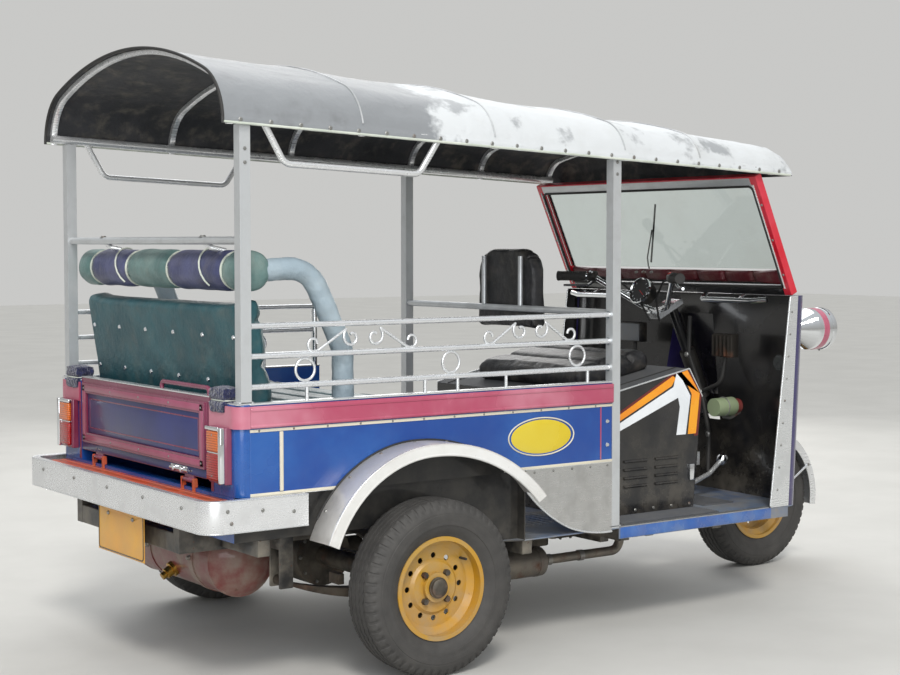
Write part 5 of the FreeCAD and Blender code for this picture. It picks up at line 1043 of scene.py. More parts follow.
# The cowl's black inner side, the engine cover's rubbered top, and the wheel wells painted black as painted shade
repaint("front_cowl", black_enamel, lambda p, out: out.x < -0.3 or (out.z < -0.8 and p.z > 1.0)
        or (p.x < fore(1.70) and p.y * out.y < -0.3 * abs(p.y)))
repaint("engine_cover", mat_rubber, lambda p, out: out.z > 0.9)
repaint("floor_pan", wheel_well_shade,
        lambda p, out: p.x < fore(0.425) and abs(p.y) > 0.599 and out.x < 0.5 and out.z < 0.5)
repaint("bench_box", wheel_well_shade, lambda p, out: abs(p.y) > 0.61 and p.y * out.y > 0.3 * abs(p.y))

# Side panels: bright cap on the top edge, cream lines, the upright moulding and the blank oval
PANEL_REAR, FLARE_REAR, FLARE_FRONT = -0.600, -0.293, 0.329
PANEL_FRONT = {"right": 0.7955, "left": 0.3995}
for side, word in SIDES:
    y, end = side * SIDE_Y, PANEL_FRONT[word]
    strip("Panel_cap_" + word, PANEL_REAR, end, y + side * 0.0035, y - side * 0.027, PANEL_HIGH.z - 0.002,
          PANEL_HIGH.z + 0.004, bright_flange, bevel=0.002)
    low_z = PANEL_LOW.z + 0.006
    for name, z, x0, x1 in (("upper", RUB_LOW.z - 0.0075, PANEL_REAR, end), ("rear", low_z, PANEL_REAR, FLARE_REAR),
                            ("lower", low_z, FLARE_FRONT, end)):
        strip("Coach_line_%s_%s" % (name, word), x0, x1, y - side * 0.001, y + side * 0.0022, z - 0.0045,
              z + 0.0045, cream_line)
    for z, thick in ((RUB_LOW.z + 0.006, 0.005), (RUB_HIGH.z - 0.010, 0.006)):
        strip("Rub_bead_%s_%d" % (word, round(z * 1000)), PANEL_REAR, end, y + side * 0.0015, y + side * 0.0105,
              z - thick, z + thick, pink_enamel, bevel=0.004, segments=3)
    strip("Upright_moulding_" + word, -0.502, -0.490, y - side * 0.001, y + side * 0.007, PANEL_LOW.z + 0.012,
          RUB_LOW.z - 0.013, cream_line, bevel=0.003, segments=3)
strip("Pink_line", 0.742, 0.7465, -SIDE_Y - 0.0018, -SIDE_Y + 0.001, PANEL_LOW.z + 0.012, RUB_LOW.z - 0.013,
      pink_enamel, bevel=0.0005)


def domed_oval(name, x, z, half_x, half_z, y, thick, finish):
    """A blank domed plaque on the right side panel."""
    turns, steps = 7, 72
    verts = []
    for j in range(turns + 1):
        r = j / turns
        verts += loop_of((fore(x), y - thick * (1.0 - r ** 6), z), half_x * r, 0.0, half_z * r, steps)
    faces = band_faces(turns, steps) + [tuple(range(turns * steps, turns * steps + steps))]
    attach(tidy(new_piece(name, verts, faces, finish), 50.0), "chassis")


domed_oval("Oval_plaque", 0.488, 0.702, 0.135, 0.060, -SIDE_Y + 0.001, 0.0035, oval_enamel)
rods("Oval_rim", [loop_of((fore(0.488), -SIDE_Y - 0.001, 0.702), 0.137, 0.0, 0.062, 90)], 0.0024, cream_line,
     closed=True, bend=0.001, sides=8)

# Tailgate: pink line on the raised frame, dark recess, low strip with its latch, top trim, hinge screws
GATE_X = -0.640
FRAME_X = -0.650
FRAME_LOW, FRAME_TOP, FRAME_HALF, LINE_W = 0.667, 0.855, 0.442, 0.020
RECESS_HALF, RECESS_LOW, RECESS_TOP = 0.398, 0.712, 0.810


def gate_strip(name, out, sunk, y0, y1, z0, z1, finish, bevel, x=GATE_X):
    """Trim on the tailgate's back, standing out from it and sunk into it a little."""
    strip(name, x - out, x + sunk, y0, y1, z0, z1, finish, "tailgate", bevel)


for name, y0, y1, z0, z1 in (("low", -FRAME_HALF, FRAME_HALF, FRAME_LOW, FRAME_LOW + LINE_W),
                             ("top", -FRAME_HALF, FRAME_HALF, FRAME_TOP - LINE_W, FRAME_TOP),
                             ("right", -FRAME_HALF, -FRAME_HALF + LINE_W, FRAME_LOW, FRAME_TOP),
                             ("left", FRAME_HALF - LINE_W, FRAME_HALF, FRAME_LOW, FRAME_TOP)):
    gate_strip("Gate_line_" + name, 0.0018, 0.002, y0, y1, z0, z1, gate_enamel, 0.0014, FRAME_X)
gate_strip("Gate_recess", 0.0025, 0.001, -0.4145, 0.4145, 0.6945, 0.8275, navy_enamel, 0.0005)
for z in (RECESS_LOW, RECESS_TOP):
    gate_strip("Gate_recess_line_%d" % (z * 1000), 0.0034, 0.0, -RECESS_HALF, RECESS_HALF, z - 0.002, z + 0.002,
               maroon_enamel, 0.0005)
for side, word in SIDES:
    y = side * RECESS_HALF
    gate_strip("Gate_recess_end_" + word, 0.0034, 0.0, y - 0.002, y + 0.002, RECESS_LOW, RECESS_TOP,
               maroon_enamel, 0.0005)
gate_strip("Gate_low_strip", 0.0022, 0.001, -0.4665, 0.4665, 0.6335, 0.6585, navy_enamel, 0.0006)
gate_strip("Gate_top_trim", 0.0018, 0.0298, -0.468, 0.468, 0.8785, 0.8825, bright_flange, 0.0012)
gate_strip("Latch_plate", 0.0048, 0.0, -0.325, -0.215, 0.636, 0.656, mirror_chrome, 0.0012)
bolt = [(fore(GATE_X) - 0.0105, y, 0.646) for y in (-0.345, -0.225)]
rods("Latch_bolt", [bolt], 0.0052, mirror_chrome, "tailgate")
gate_strip("Latch_keeper", 0.0165, 0.0, -0.305, -0.293, 0.638, 0.654, mirror_chrome, 0.001)
gate_strip("Latch_keeper_2", 0.0165, 0.0, -0.255, -0.243, 0.638, 0.654, mirror_chrome, 0.001)
screws("Gate_screws", [(FRAME_X - 0.0015, y, z) for y in (-0.43, -0.215, 0.0, 0.215, 0.43)
                       for z in (FRAME_LOW + 0.010, FRAME_TOP - 0.010)], (-1, 0, 0), 0.0045, 0.002, zinc_bolt,
       "tailgate", 10)
screws("Gate_hinge_screws", [(GATE_X - 0.002, side * 0.33 + dy, 0.645) for side in (-1, 1)
                             for dy in (-0.02, 0.0, 0.02)], (-1, 0, 0), 0.004, 0.002, zinc_bolt, "tailgate", 10)

# Tail lamps: amber over red on a maroon base, with bright bars at the outer edge and on top
LAMP_LOW, LAMP_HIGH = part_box("tail_lamps")
lens_low, lens_high = LAMP_LOW.z + 0.009, LAMP_HIGH.z - 0.012
lens_split = lens_low + 0.56 * (lens_high - lens_low)


def lamp_part(name, side, inner, outer, back, front, z0, z1, finish, bevel, segments=3):
    """A part of a tail lamp, placed sideways from the lamp's outer edge and behind its back."""
    block(name, (LAMP_LOW.x - back, side * (abs(LAMP_HIGH.y) - inner), z0),
          (LAMP_LOW.x + front, side * (abs(LAMP_HIGH.y) - outer), z1), finish, bevel=bevel, segments=segments)


for side, word in SIDES:
    lamp_part("Lamp_amber_" + word, side, 0.096, 0.020, 0.012, 0.002, lens_split + 0.002, lens_high, amber_lens,
              0.006)
    lamp_part("Lamp_red_" + word, side, 0.096, 0.020, 0.012, 0.002, lens_low, lens_split - 0.002, red_lens, 0.006)
    lamp_part("Lamp_divider_" + word, side, 0.096, 0.020, 0.008, 0.002, lens_split - 0.002, lens_split + 0.002,
              mirror_chrome, 0.0008, 2)
    lamp_part("Lamp_bar_" + word, side, 0.019, 0.002, 0.014, 0.003, LAMP_LOW.z + 0.002, LAMP_HIGH.z + 0.001,
              mirror_chrome, 0.004)
    lamp_part("Lamp_hood_" + word, side, 0.101, 0.020, 0.013, 0.003, LAMP_HIGH.z - 0.011, LAMP_HIGH.z + 0.001,
              mirror_chrome, 0.003)
    lens_screws = [((LAMP_LOW.x - 0.0115, side * (abs(LAMP_HIGH.y) - 0.058), z), (-1, 0, 0))
                   for z in (lens_low + 0.014, lens_high - 0.012)]
    heads("Lamp_screws_" + word, lens_screws, 0.0035, 0.0015, sides=10)
    # maroon face and bright cap of the corner pillar beside the lamp
    strip("Pillar_face_" + word, -0.6418, -0.6395, side * 0.477, side * 0.492, 0.600, 0.862, maroon_enamel,
          bevel=0.0005)
    strip("Pillar_cap_" + word, -0.6405, -0.5995, side * 0.4735, side * 0.6395, 0.8665, 0.8705, bright_flange,
          bevel=0.0015)

# Rear bumper: rolled edges, rivets at its corners and back; sheets and ribs on the deck; the plate's screws
BUMP_LOW, BUMP_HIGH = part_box("rear_bumper")
edge_x, edge_y = BUMP_LOW.x + 0.0022, BUMP_HIGH.y - 0.0022
for word, z in (("top", BUMP_HIGH.z - 0.0022), ("low", BUMP_LOW.z + 0.0022)):
    run = [(BUMP_HIGH.x, -edge_y, z), (edge_x, -edge_y, z), (edge_x, edge_y, z), (BUMP_HIGH.x, edge_y, z)]
    rods("Bumper_bead_" + word, [run], 0.0031, bright_flange, bend=0.058, sides=10)
rivets = [((fore(x), side * (BUMP_HIGH.y + 0.0004), z), (0, side, 0)) for side in (-1, 1)
          for x, z in ((-0.690, 0.566), (-0.678, 0.530), (-0.575, 0.560), (-0.470, 0.548))]
rivets += [((BUMP_LOW.x - 0.0004, y, 0.565), (-1, 0, 0)) for y in (-0.52, -0.26, 0.0, 0.26, 0.52)]
heads("Bumper_rivets", rivets, 0.0062, 0.0032)
for i in range(5):
    y0 = -0.598 + i * 0.2395
    strip("Deck_sheet_%d" % i, -0.757, -0.641, y0, y0 + 0.2375, 0.5835, 0.5852, deck_enamel, bevel=0.0008)
for x in (-0.735, -0.700, -0.665):
    rib = ahead([(x, -0.585, 0.5850), (x, 0.585, 0.5850)])
    rods("Deck_rib_%d" % round(-x * 1000), [rib], 0.0026, deck_enamel, sides=8)
PLATE_LOW, PLATE_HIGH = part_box("number_plate")
plate_mid = (PLATE_LOW.y + PLATE_HIGH.y) / 2.0
plate_back = fore(-0.737)
plate_screws = [((plate_back - 0.001, plate_mid + dy, PLATE_HIGH.z - 0.024), (-1, 0, 0)) for dy in (-0.09, 0.09)]
heads("Plate_screws", plate_screws, 0.0075, 0.004, sides=6)
rim_y0, rim_y1 = PLATE_LOW.y + 0.006, PLATE_HIGH.y - 0.006
rim_z0, rim_z1 = PLATE_LOW.z + 0.006, PLATE_HIGH.z - 0.006
rim = [(plate_back - 0.0006, y, z) for y, z in ((rim_y0, rim_z0), (rim_y1, rim_z0), (rim_y1, rim_z1),
                                               (rim_y0, rim_z1))]
rods("Plate_rim", [rim], 0.0018, black_enamel, bend=0.012, sides=8, closed=True)


def arc3(a, b, c, count=16):
    """Points on the circle from a through b to c, in one plane of two numbers."""
    (ax, ay), (bx, by), (cx, cy) = a, b, c
    a2, b2, c2 = ax * ax + ay * ay, bx * bx + by * by, cx * cx + cy * cy
    d = 2.0 * (ax * (by - cy) + bx * (cy - ay) + cx * (ay - by))
    ux = (a2 * (by - cy) + b2 * (cy - ay) + c2 * (ay - by)) / d
    uy = (a2 * (cx - bx) + b2 * (ax - cx) + c2 * (bx - ax)) / d
    r = math.hypot(ax - ux, ay - uy)
    t0, t1, t2 = [math.atan2(y - uy, x - ux) for x, y in (a, b, c)]
    while t1 - t0 > math.pi:
        t1 -= math.tau
    while t1 - t0 < -math.pi:
        t1 += math.tau
    while t2 - t1 > math.pi:
        t2 -= math.tau
    while t2 - t1 < -math.pi:
        t2 += math.tau
    return [(ux + r * math.cos(t), uy + r * math.sin(t)) for t in evenly(t0, t2, count + 1)]


# Arch flares: rolled white lip, a seam bead where each meets the body, and screws through its flange
FLARE = [(-0.400, 0.450), (-0.255, 0.643), (0.0, 0.722), (0.250, 0.662), (0.420, 0.527)]
flare_line = arc3(*FLARE[:3]) + arc3(*FLARE[2:])[1:]
FLARE_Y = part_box("arch_flares")[1].y


def flare_inset(depth, line=flare_line):
    """The flare's line drawn in towards the axle by depth, as x ahead of the axle and z."""
    inset = []
    for x, z in line:
        inward = Vector((-x, TYRE_R - z)).normalized() * depth
        inset.append((x + inward.x, z + inward.y))
    return inset


for side, word in SIDES:
    lip = ahead([(x, side * (FLARE_Y - 0.004), z) for x, z in flare_inset(0.0335)])
    rods("Flare_lip_" + word, [lip], 0.0058, white_lip, bend=0.001)
    shoulder = ahead([(x, side * (FLARE_Y - 0.0050), z) for x, z in flare_inset(0.0035)])
    rods("Flare_shoulder_" + word, [shoulder], 0.0048, bright_flange, bend=0.001, sides=12)
    face = flare_inset(0.004) + flare_inset(0.0330)[::-1]
    plate("Flare_face_" + word, face, side * (FLARE_Y - 0.0005), side * (FLARE_Y + 0.0009), white_lip)
    seam = ahead([(x, side * (SIDE_Y + 0.002), z) for x, z in flare_inset(-0.002, flare_line[2:-2])])
    rods("Flare_seam_" + word, [seam], 0.0035, seal_rubber, bend=0.001, sides=8)
    bolts = [((fore(x), side * (SIDE_Y + 0.022), z), Vector((x, 0.0, z - TYRE_R)).normalized())
             for x, z in flare_line[3:-2:4]]
    heads("Flare_bolts_" + word, bolts, 0.006, 0.003, sides=6)
    # the panel is cut away under the flare; a black plate there stands for the well behind it, painted shade
    cut = [(x, z) for x, z in flare_inset(0.003) if z > 0.5945]
    cut = [(cut[0][0], 0.5935)] + cut + [(cut[-1][0], 0.5935)]
    plate("Arch_liner_" + word, cut, side * (SIDE_Y - 0.0005), side * (SIDE_Y + 0.0028), wheel_well_shade)

# Skirt: folded edge along its curve and a row of rivets under the panel
skirt_line = arc3((0.425, 0.524), (0.518, 0.438), (0.615, 0.382))
skirt_line += arc3((0.615, 0.382), (0.714, 0.358), (0.796, 0.354))[1:]
rods("Skirt_edge", [ahead([(x, -SIDE_Y - 0.0005, z + 0.003) for x, z in skirt_line])], 0.0034, bright_flange,
     bend=0.001, sides=10)
skirt_rivets = [(x, -SIDE_Y - 0.0004, 0.585) for x in (0.46, 0.54, 0.62, 0.70, 0.775)]
screws("Skirt_rivets", skirt_rivets, (0, -1, 0), 0.0046, 0.0026)
for side, word in SIDES:
    for i, (x0, x1) in enumerate(((PANEL_REAR, FLARE_REAR), (FLARE_FRONT, PANEL_FRONT[word]))):
        strip("Panel_hem_%s_%d" % (word, i), x0, x1, side * (SIDE_Y + 0.0018), side * (SIDE_Y - 0.002), 0.5945,
              0.5995, bright_flange)
screws("Panel_studs", [(0.7745, -SIDE_Y - 0.0002, z) for z in (0.735, 0.655)], (0, -1, 0), 0.0075, 0.0045,
       mirror_chrome)
for side, word, front, count in ((-1, "right", 0.72, 12), (1, "left", 0.37, 9)):
    panel_rivets = [(x, side * (SIDE_Y + 0.0022), 0.7895) for x in evenly(-0.57, front, count)]
    screws("Panel_rivets_" + word, panel_rivets, (0, side, 0), 0.0036, 0.002)

# Engine cover: stripe film on both sides, bright top edges, a lift-off lid's seam, catches and cooling slots, the
# slots drawn as black rods that paint the shade in the openings
COVER_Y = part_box("engine_cover")[1].y
WHITE_STRIPE = [(0.862, 0.646), (1.238, 0.816), (1.252, 0.8655), (1.283, 0.838), (1.322, 0.780), (1.300, 0.640),
                (1.254, 0.640), (1.270, 0.742), (1.261, 0.776), (0.862, 0.628)]
ORANGE_STRIPE = [(0.862, 0.672), (1.234, 0.856), (1.306, 0.8745), (1.369, 0.787), (1.351, 0.640), (1.311, 0.640),
                 (1.329, 0.785), (1.277, 0.8685), (1.262, 0.866), (1.229, 0.820), (0.862, 0.654)]
RED_EDGE = [(0.862, 0.684), (1.228, 0.8618), (1.310, 0.8775), (1.3795, 0.786), (1.361, 0.632), (1.342, 0.632),
            (1.358, 0.785), (1.300, 0.866), (1.235, 0.852), (0.862, 0.668)]
for side, word in SIDES:
    for name, outline, thick, film in (("edge", RED_EDGE, 0.0005, dark_red_stripe),
                                       ("orange", ORANGE_STRIPE, 0.0009, orange_stripe),
                                       ("white", WHITE_STRIPE, 0.0012, white_stripe)):
        plate("Cover_stripe_%s_%s" % (name, word), outline, side * (COVER_Y - 0.001), side * (COVER_Y + thick),
              film)
    y = side * (COVER_Y - 0.0015)
    edge = ahead([(0.853, y, 0.7905), (1.318, y, 0.8795), (1.384, y, 0.775)])
    rods("Cover_edge_" + word, [edge], 0.0032, bright_flange, bend=0.004, sides=10)
    for x in (0.905, 1.330):
        strip("Cover_catch_%s_%d" % (word, x * 1000), x - 0.014, x + 0.014, side * (COVER_Y - 0.001),
              side * (COVER_Y + 0.009), 0.470, 0.530, mirror_chrome, bevel=0.003)
    y = side * (COVER_Y + 0.0005)
    # black rods stand for the slots: painted shade in the openings
    slot_shade_rods = [ahead([(x, y, z), (x + 0.11, y, z)]) for x in (1.00, 1.15) for z in (0.47, 0.50, 0.53, 0.56)]
    rods("Cover_louvres_" + word, slot_shade_rods, 0.0055, black_enamel, sides=10)
    screws("Cover_screws_" + word, [(x, side * (COVER_Y + 0.001), 0.384) for x in evenly(0.88, 1.32, 6)],
           (0, side, 0), 0.006, 0.003)
seam_slope = (0.880 - 0.790) / (1.320 - 0.850)
lid = [ahead([(x, y, 0.790 + (x - 0.850) * seam_slope + 0.0006) for x in (0.856, 1.314)]) for y in (-0.40, 0.40)]
rods("Cover_lid_seams", lid, 0.0030, seal_rubber, sides=8)

# Floor: ribbed mats beside and ahead of the cover, bright sills and their screws, ribs under the passengers' feet
FLOOR_TOP = 0.366
for side, word, sill_rear, screw_rear in ((-1, "right", 0.835, 0.86), (1, "left", 0.402, 0.44)):
    strip("Floor_mat_" + word, 0.86, 1.34, side * 0.482, side * 0.605, FLOOR_TOP - 0.001, FLOOR_TOP + 0.005,
          mat_rubber, bevel=0.002)
    ribs = [ahead([(x, side * (0.490 + 0.0125 * i), FLOOR_TOP + 0.0055) for x in (0.87, 1.33)]) for i in range(10)]
    rods("Floor_mat_ribs_" + word, ribs, 0.0028, mat_rubber, sides=8)
    strip("Sill_trim_" + word, sill_rear, 1.560, side * 0.6195, side * 0.6408, FLOOR_TOP - 0.0005,
          FLOOR_TOP + 0.0035, sill_alloy, bevel=0.0012)
    strip("Sill_face_" + word, sill_rear, 1.570, side * 0.6395, side * 0.6412, 0.328, 0.365, sill_blue,
          bevel=0.0008)
    sill_screws = [(x, side * 0.6305, FLOOR_TOP + 0.0035) for x in evenly(screw_rear, 1.53, 9)]
    screws("Sill_screws_" + word, sill_screws, (0, 0, 1), 0.0042, 0.0016, sides=10)
strip("Front_mat", 1.400, 1.550, -0.47, 0.47, FLOOR_TOP - 0.001, FLOOR_TOP + 0.0045, mat_rubber, bevel=0.002)
ribs = [ahead([(1.41 + 0.0125 * i, y, FLOOR_TOP + 0.0050) for y in (-0.46, 0.46)]) for i in range(11)]
rods("Front_mat_ribs", ribs, 0.0028, mat_rubber, sides=8)
ribs = [ahead([(0.14 + 0.03 * i, y, 0.3672) for y in (-0.44, 0.44)]) for i in range(22)]
rods("Passenger_floor_ribs", ribs, 0.0022, floor_enamel, sides=8)

# Bench box: front kick board with its lines, vent slots drawn as black rods that paint the shade in the openings,
# and lock
BENCH_X = 0.1002
strip("Bench_board", BENCH_X - 0.001, BENCH_X + 0.0025, -0.585, 0.585, 0.400, 0.700, maroon_enamel)
for z in (0.418, 0.682):
    strip("Bench_line_%d" % (z * 1000), BENCH_X, BENCH_X + 0.004, -0.57, 0.57, z - 0.003, z + 0.003, cream_line)
for y in (-0.57, -0.003, 0.564):
    strip("Bench_upright_%d" % round((y + 1.0) * 1000), BENCH_X, BENCH_X + 0.004, y, y + 0.006, 0.418, 0.682,
          cream_line)
# black rods stand for the vent slots: painted shade in the openings
vent_shade_rods = [ahead([(BENCH_X + 0.003, side * 0.30 + dy, z) for dy in (-0.09, 0.09)])
         for side in (-1, 1) for z in (0.50, 0.525, 0.55, 0.575, 0.60)]
rods("Bench_vents", vent_shade_rods, 0.005, black_enamel, sides=10)
turned("Bench_lock", [(-0.001, 0.013), (0.005, 0.013), (0.006, 0.011), (0.006, 0.0)],
       (fore(BENCH_X) + 0.002, 0.0, 0.655), (1, 0, 0), mirror_chrome, steps=24)

# Windscreen: dark bar below and bright bar above, rubber seals, pillar trim and the wiper
SCREEN = Matrix.Translation(Vector((fore(1.712), 0.0, 1.143))) @ Matrix.Rotation(-RAKE, 4, "Y")
SCREEN_OUT = Vector((math.cos(RAKE), 0.0, math.sin(RAKE)))
screen_foot = 0.032 * math.tan(RAKE)
screen_top = (1.5908 - 1.1433) / math.cos(RAKE) - 0.002
glass_low, glass_top = screen_foot + 0.034, screen_top - 0.036


def on_screen(y, up, out):
    """A place on the windscreen's plane: up along its slope, out in front of it."""
    return SCREEN @ Vector((out, y, up))


for word, low, high, finish in (("low", screen_foot + 0.001, glass_low, black_enamel),
                                ("top", glass_top, screen_top - 0.003, stainless_post)):
    bar = block("Screen_%s_bar" % word, (-0.0325, -0.600, low), (0.0010, 0.600, high), finish)
    bar.data.transform(SCREEN)
for word, out, radius in (("front", 0.001, 0.0050), ("back", -0.0325, 0.0045)):
    seal = [on_screen(y, up, out) for y, up in ((-0.603, glass_low), (0.603, glass_low), (0.603, glass_top),
                                                (-0.603, glass_top))]
    rods("Screen_seal_" + word, [seal], radius, seal_rubber, bend=0.02, sides=10, closed=True)
for side, word in SIDES:
    pipe = [on_screen(side * 0.611, up, -0.0335) for up in (screen_foot + 0.03, screen_top - 0.03)]
    rods("Pillar_piping_" + word, [pipe], 0.0032, bright_flange, sides=10)
    pillar_screws = [(on_screen(side * 0.622, up, -0.0325), -SCREEN_OUT) for up in (0.10, 0.24, 0.38)]
    heads("Pillar_screws_" + word, pillar_screws, 0.005, 0.0025, sides=10)
wiper_foot = on_screen(0.16, glass_low - 0.012, 0.004)
wiper_arm = [wiper_foot, on_screen(0.13, glass_low + 0.10, 0.007), on_screen(0.05, glass_low + 0.22, 0.007)]
rods("Wiper_arm", [wiper_arm], 0.0030, black_plastic, sides=8)
wiper_blade = [on_screen(0.115, glass_low + 0.08, 0.0055), on_screen(-0.02, glass_low + 0.33, 0.0055)]
rods("Wiper_blade", [wiper_blade], 0.0038, seal_rubber, sides=8)
turned("Wiper_pivot", [(-0.004, 0.011), (0.006, 0.011), (0.010, 0.007), (0.010, 0.0)], wiper_foot, SCREEN_OUT,
       black_plastic, steps=24)

# Dash tube in two lengths, so that the handlebar's yoke passes between them at full lock; the speedometer
dash_runs = [ahead([(1.622, side * 0.56, 1.128), (1.602, side * 0.50, 1.122), (1.602, side * 0.240, 1.122),
                    (1.648, side * 0.212, 1.140)]) for side in (-1, 1)]
rods("Dash_tube", dash_runs, 0.011, chrome, bend=0.02, sides=18)
for y in (-0.42, 0.42):
    rods("Dash_stay_%d" % round((y + 1.0) * 100), [ahead([(1.604, y, 1.122), (1.650, y, 1.142)])], 0.006, chrome,
         sides=12)
DIAL_OUT = Vector((-0.94, 0.0, 0.34)).normalized()
DIAL_PLACE = Vector((fore(1.500), 0.0, 1.150))
DIAL_ACROSS = Vector((0.0, 1.0, 0.0))
DIAL_UP = DIAL_OUT.cross(DIAL_ACROSS).normalized()
for name, profile, finish in (
        ("case", [(-0.060, 0.022), (-0.050, 0.040), (-0.010, 0.050), (0.000, 0.051), (0.003, 0.048),
                  (0.003, 0.0)], black_plastic),
        ("rim", [(-0.002, 0.051), (-0.002, 0.054), (0.008, 0.054), (0.010, 0.050), (0.006, 0.046),
                 (0.003, 0.046), (0.003, 0.051)], mirror_chrome),
        ("face", [(0.0028, 0.047), (0.0040, 0.047), (0.0040, 0.0)], dial_face)):
    turned("Speedometer_" + name, profile, DIAL_PLACE, DIAL_OUT, finish, "steering")


def on_dial(out, r, degrees):
    """A place on the speedometer, at a radius and an angle on its face."""
    a = math.radians(degrees)
    return DIAL_PLACE + DIAL_OUT * out + (DIAL_ACROSS * math.cos(a) + DIAL_UP * math.sin(a)) * r


ticks = [[on_dial(0.0042, r, 225.0 - 27.0 * i) for r in (0.036, 0.043)] for i in range(11)]
rods("Speedometer_ticks", ticks, 0.0009, white_stripe, "steering", sides=6)
needle_foot = DIAL_PLACE + DIAL_OUT * 0.0050
needle = [needle_foot, needle_foot + (DIAL_ACROSS * -0.6 + DIAL_UP * 0.4) * 0.042]
rods("Speedometer_needle", [needle], 0.0011, red_stripe, "steering", sides=6)
bracket = [DIAL_PLACE - DIAL_OUT * 0.05, DIAL_PLACE - DIAL_OUT * 0.06 + Vector((0.02, 0.0, -0.02)),
           (fore(1.515), 0.0, 1.180)]
rods("Speedometer_bracket", [bracket], 0.006, zinc_bolt, "steering", sides=10)

# Boxes, a fluid bottle and looms on the cowl's inner side
strip("Fuse_box", 1.645, 1.685, 0.16, 0.30, 0.935, 1.015, black_plastic, bevel=0.006)
strip("Fuse_box_lid", 1.638, 1.646, 0.165, 0.295, 0.940, 1.010, grey_plastic, bevel=0.003)
strip("Regulator", 1.640, 1.680, -0.36, -0.26, 0.90, 0.99, cast_iron, bevel=0.004)
for i in range(5):
    strip("Regulator_fin_%d" % i, 1.628, 1.642, -0.355 + 0.0205 * i, -0.349 + 0.0205 * i, 0.905, 0.985, cast_iron)
BOTTLE = (fore(1.600), -0.36, 0.715)
turned("Brake_fluid_bottle", [(-0.05, 0.0), (-0.05, 0.034), (0.045, 0.036), (0.055, 0.030), (0.058, 0.018)],
       BOTTLE, (1, 0, 0), pale_green_plastic, steps=36)
turned("Brake_fluid_cap", [(0.056, 0.0), (0.056, 0.029), (0.078, 0.028), (0.080, 0.024), (0.080, 0.0)], BOTTLE,
       (1, 0, 0), tank_enamel, steps=30)
rods("Bottle_band", [loop_of(BOTTLE, 0.0, 0.0362, 0.0362, 24)], 0.0024, zinc_bolt, bend=0.001, sides=8,
     closed=True)
bracket = ahead([(1.600, -0.36, 0.677), (1.640, -0.36, 0.670), (1.690, -0.36, 0.690)])
rods("Bottle_bracket", [bracket], 0.006, zinc_bolt, sides=8)
for name, path in (("main", [(1.672, -0.10, 1.05), (1.650, -0.12, 0.90), (1.640, -0.20, 0.76),
                             (1.625, -0.26, 0.60), (1.600, -0.28, 0.46)]),
                   ("side", [(1.672, 0.22, 0.94), (1.652, 0.20, 0.82), (1.640, 0.12, 0.70), (1.620, 0.10, 0.55),
                             (1.600, 0.10, 0.42)]),
                   ("low", [(1.660, -0.31, 0.90), (1.648, -0.30, 0.80), (1.640, -0.20, 0.76)])):
    rods("Loom_" + name, [ahead(path)], 0.008, seal_rubber, bend=0.05, sides=12)
screws("Loom_clips", [(1.640, -0.115, 0.90), (1.632, -0.20, 0.76), (1.617, -0.26, 0.60), (1.643, 0.20, 0.82),
                      (1.630, 0.12, 0.70)], (-1, 0, 0), 0.012, 0.004, sides=8)

# Pedals: rubber pads with ribs and their boots; the lever's boot and knob
PEDAL_X, PEDAL_Z = 1.580, 0.505
for y, word in ((-0.200, "right"), (0.150, "left")):
    strip("Pedal_pad_" + word, PEDAL_X - 0.006, PEDAL_X + 0.001, y - 0.034, y + 0.034, PEDAL_Z - 0.024,
          PEDAL_Z + 0.024, pedal_rubber, bevel=0.003)
    ribs = [ahead([(PEDAL_X - 0.0065, y - 0.030, z), (PEDAL_X - 0.0065, y + 0.030, z)])
            for z in evenly(PEDAL_Z - 0.018, PEDAL_Z + 0.018, 5)]
    rods("Pedal_ribs_" + word, ribs, 0.0022, pedal_rubber, sides=8)
    turned("Pedal_boot_" + word, [(0.0, 0.026), (0.006, 0.026), (0.012, 0.020), (0.018, 0.022), (0.024, 0.016),
                                  (0.030, 0.017), (0.036, 0.012)], (fore(1.500), y, 0.396), (0, 0, 1),
           seal_rubber, steps=30)
turned("Lever_boot", [(0.0, 0.040), (0.006, 0.040), (0.014, 0.030), (0.020, 0.032), (0.028, 0.024),
                      (0.034, 0.026), (0.042, 0.017)], (fore(1.390), -0.290, 0.380), (0.25, 0, 1), seal_rubber,
       steps=30)
turned("Lever_knob", [(-0.018, 0.010), (-0.016, 0.017), (-0.006, 0.0235), (0.006, 0.0245), (0.016, 0.020),
                      (0.021, 0.010), (0.022, 0.0)], (fore(1.668), -0.290, 0.502), (0.8, 0, 0.6), mirror_chrome,
       steps=32)

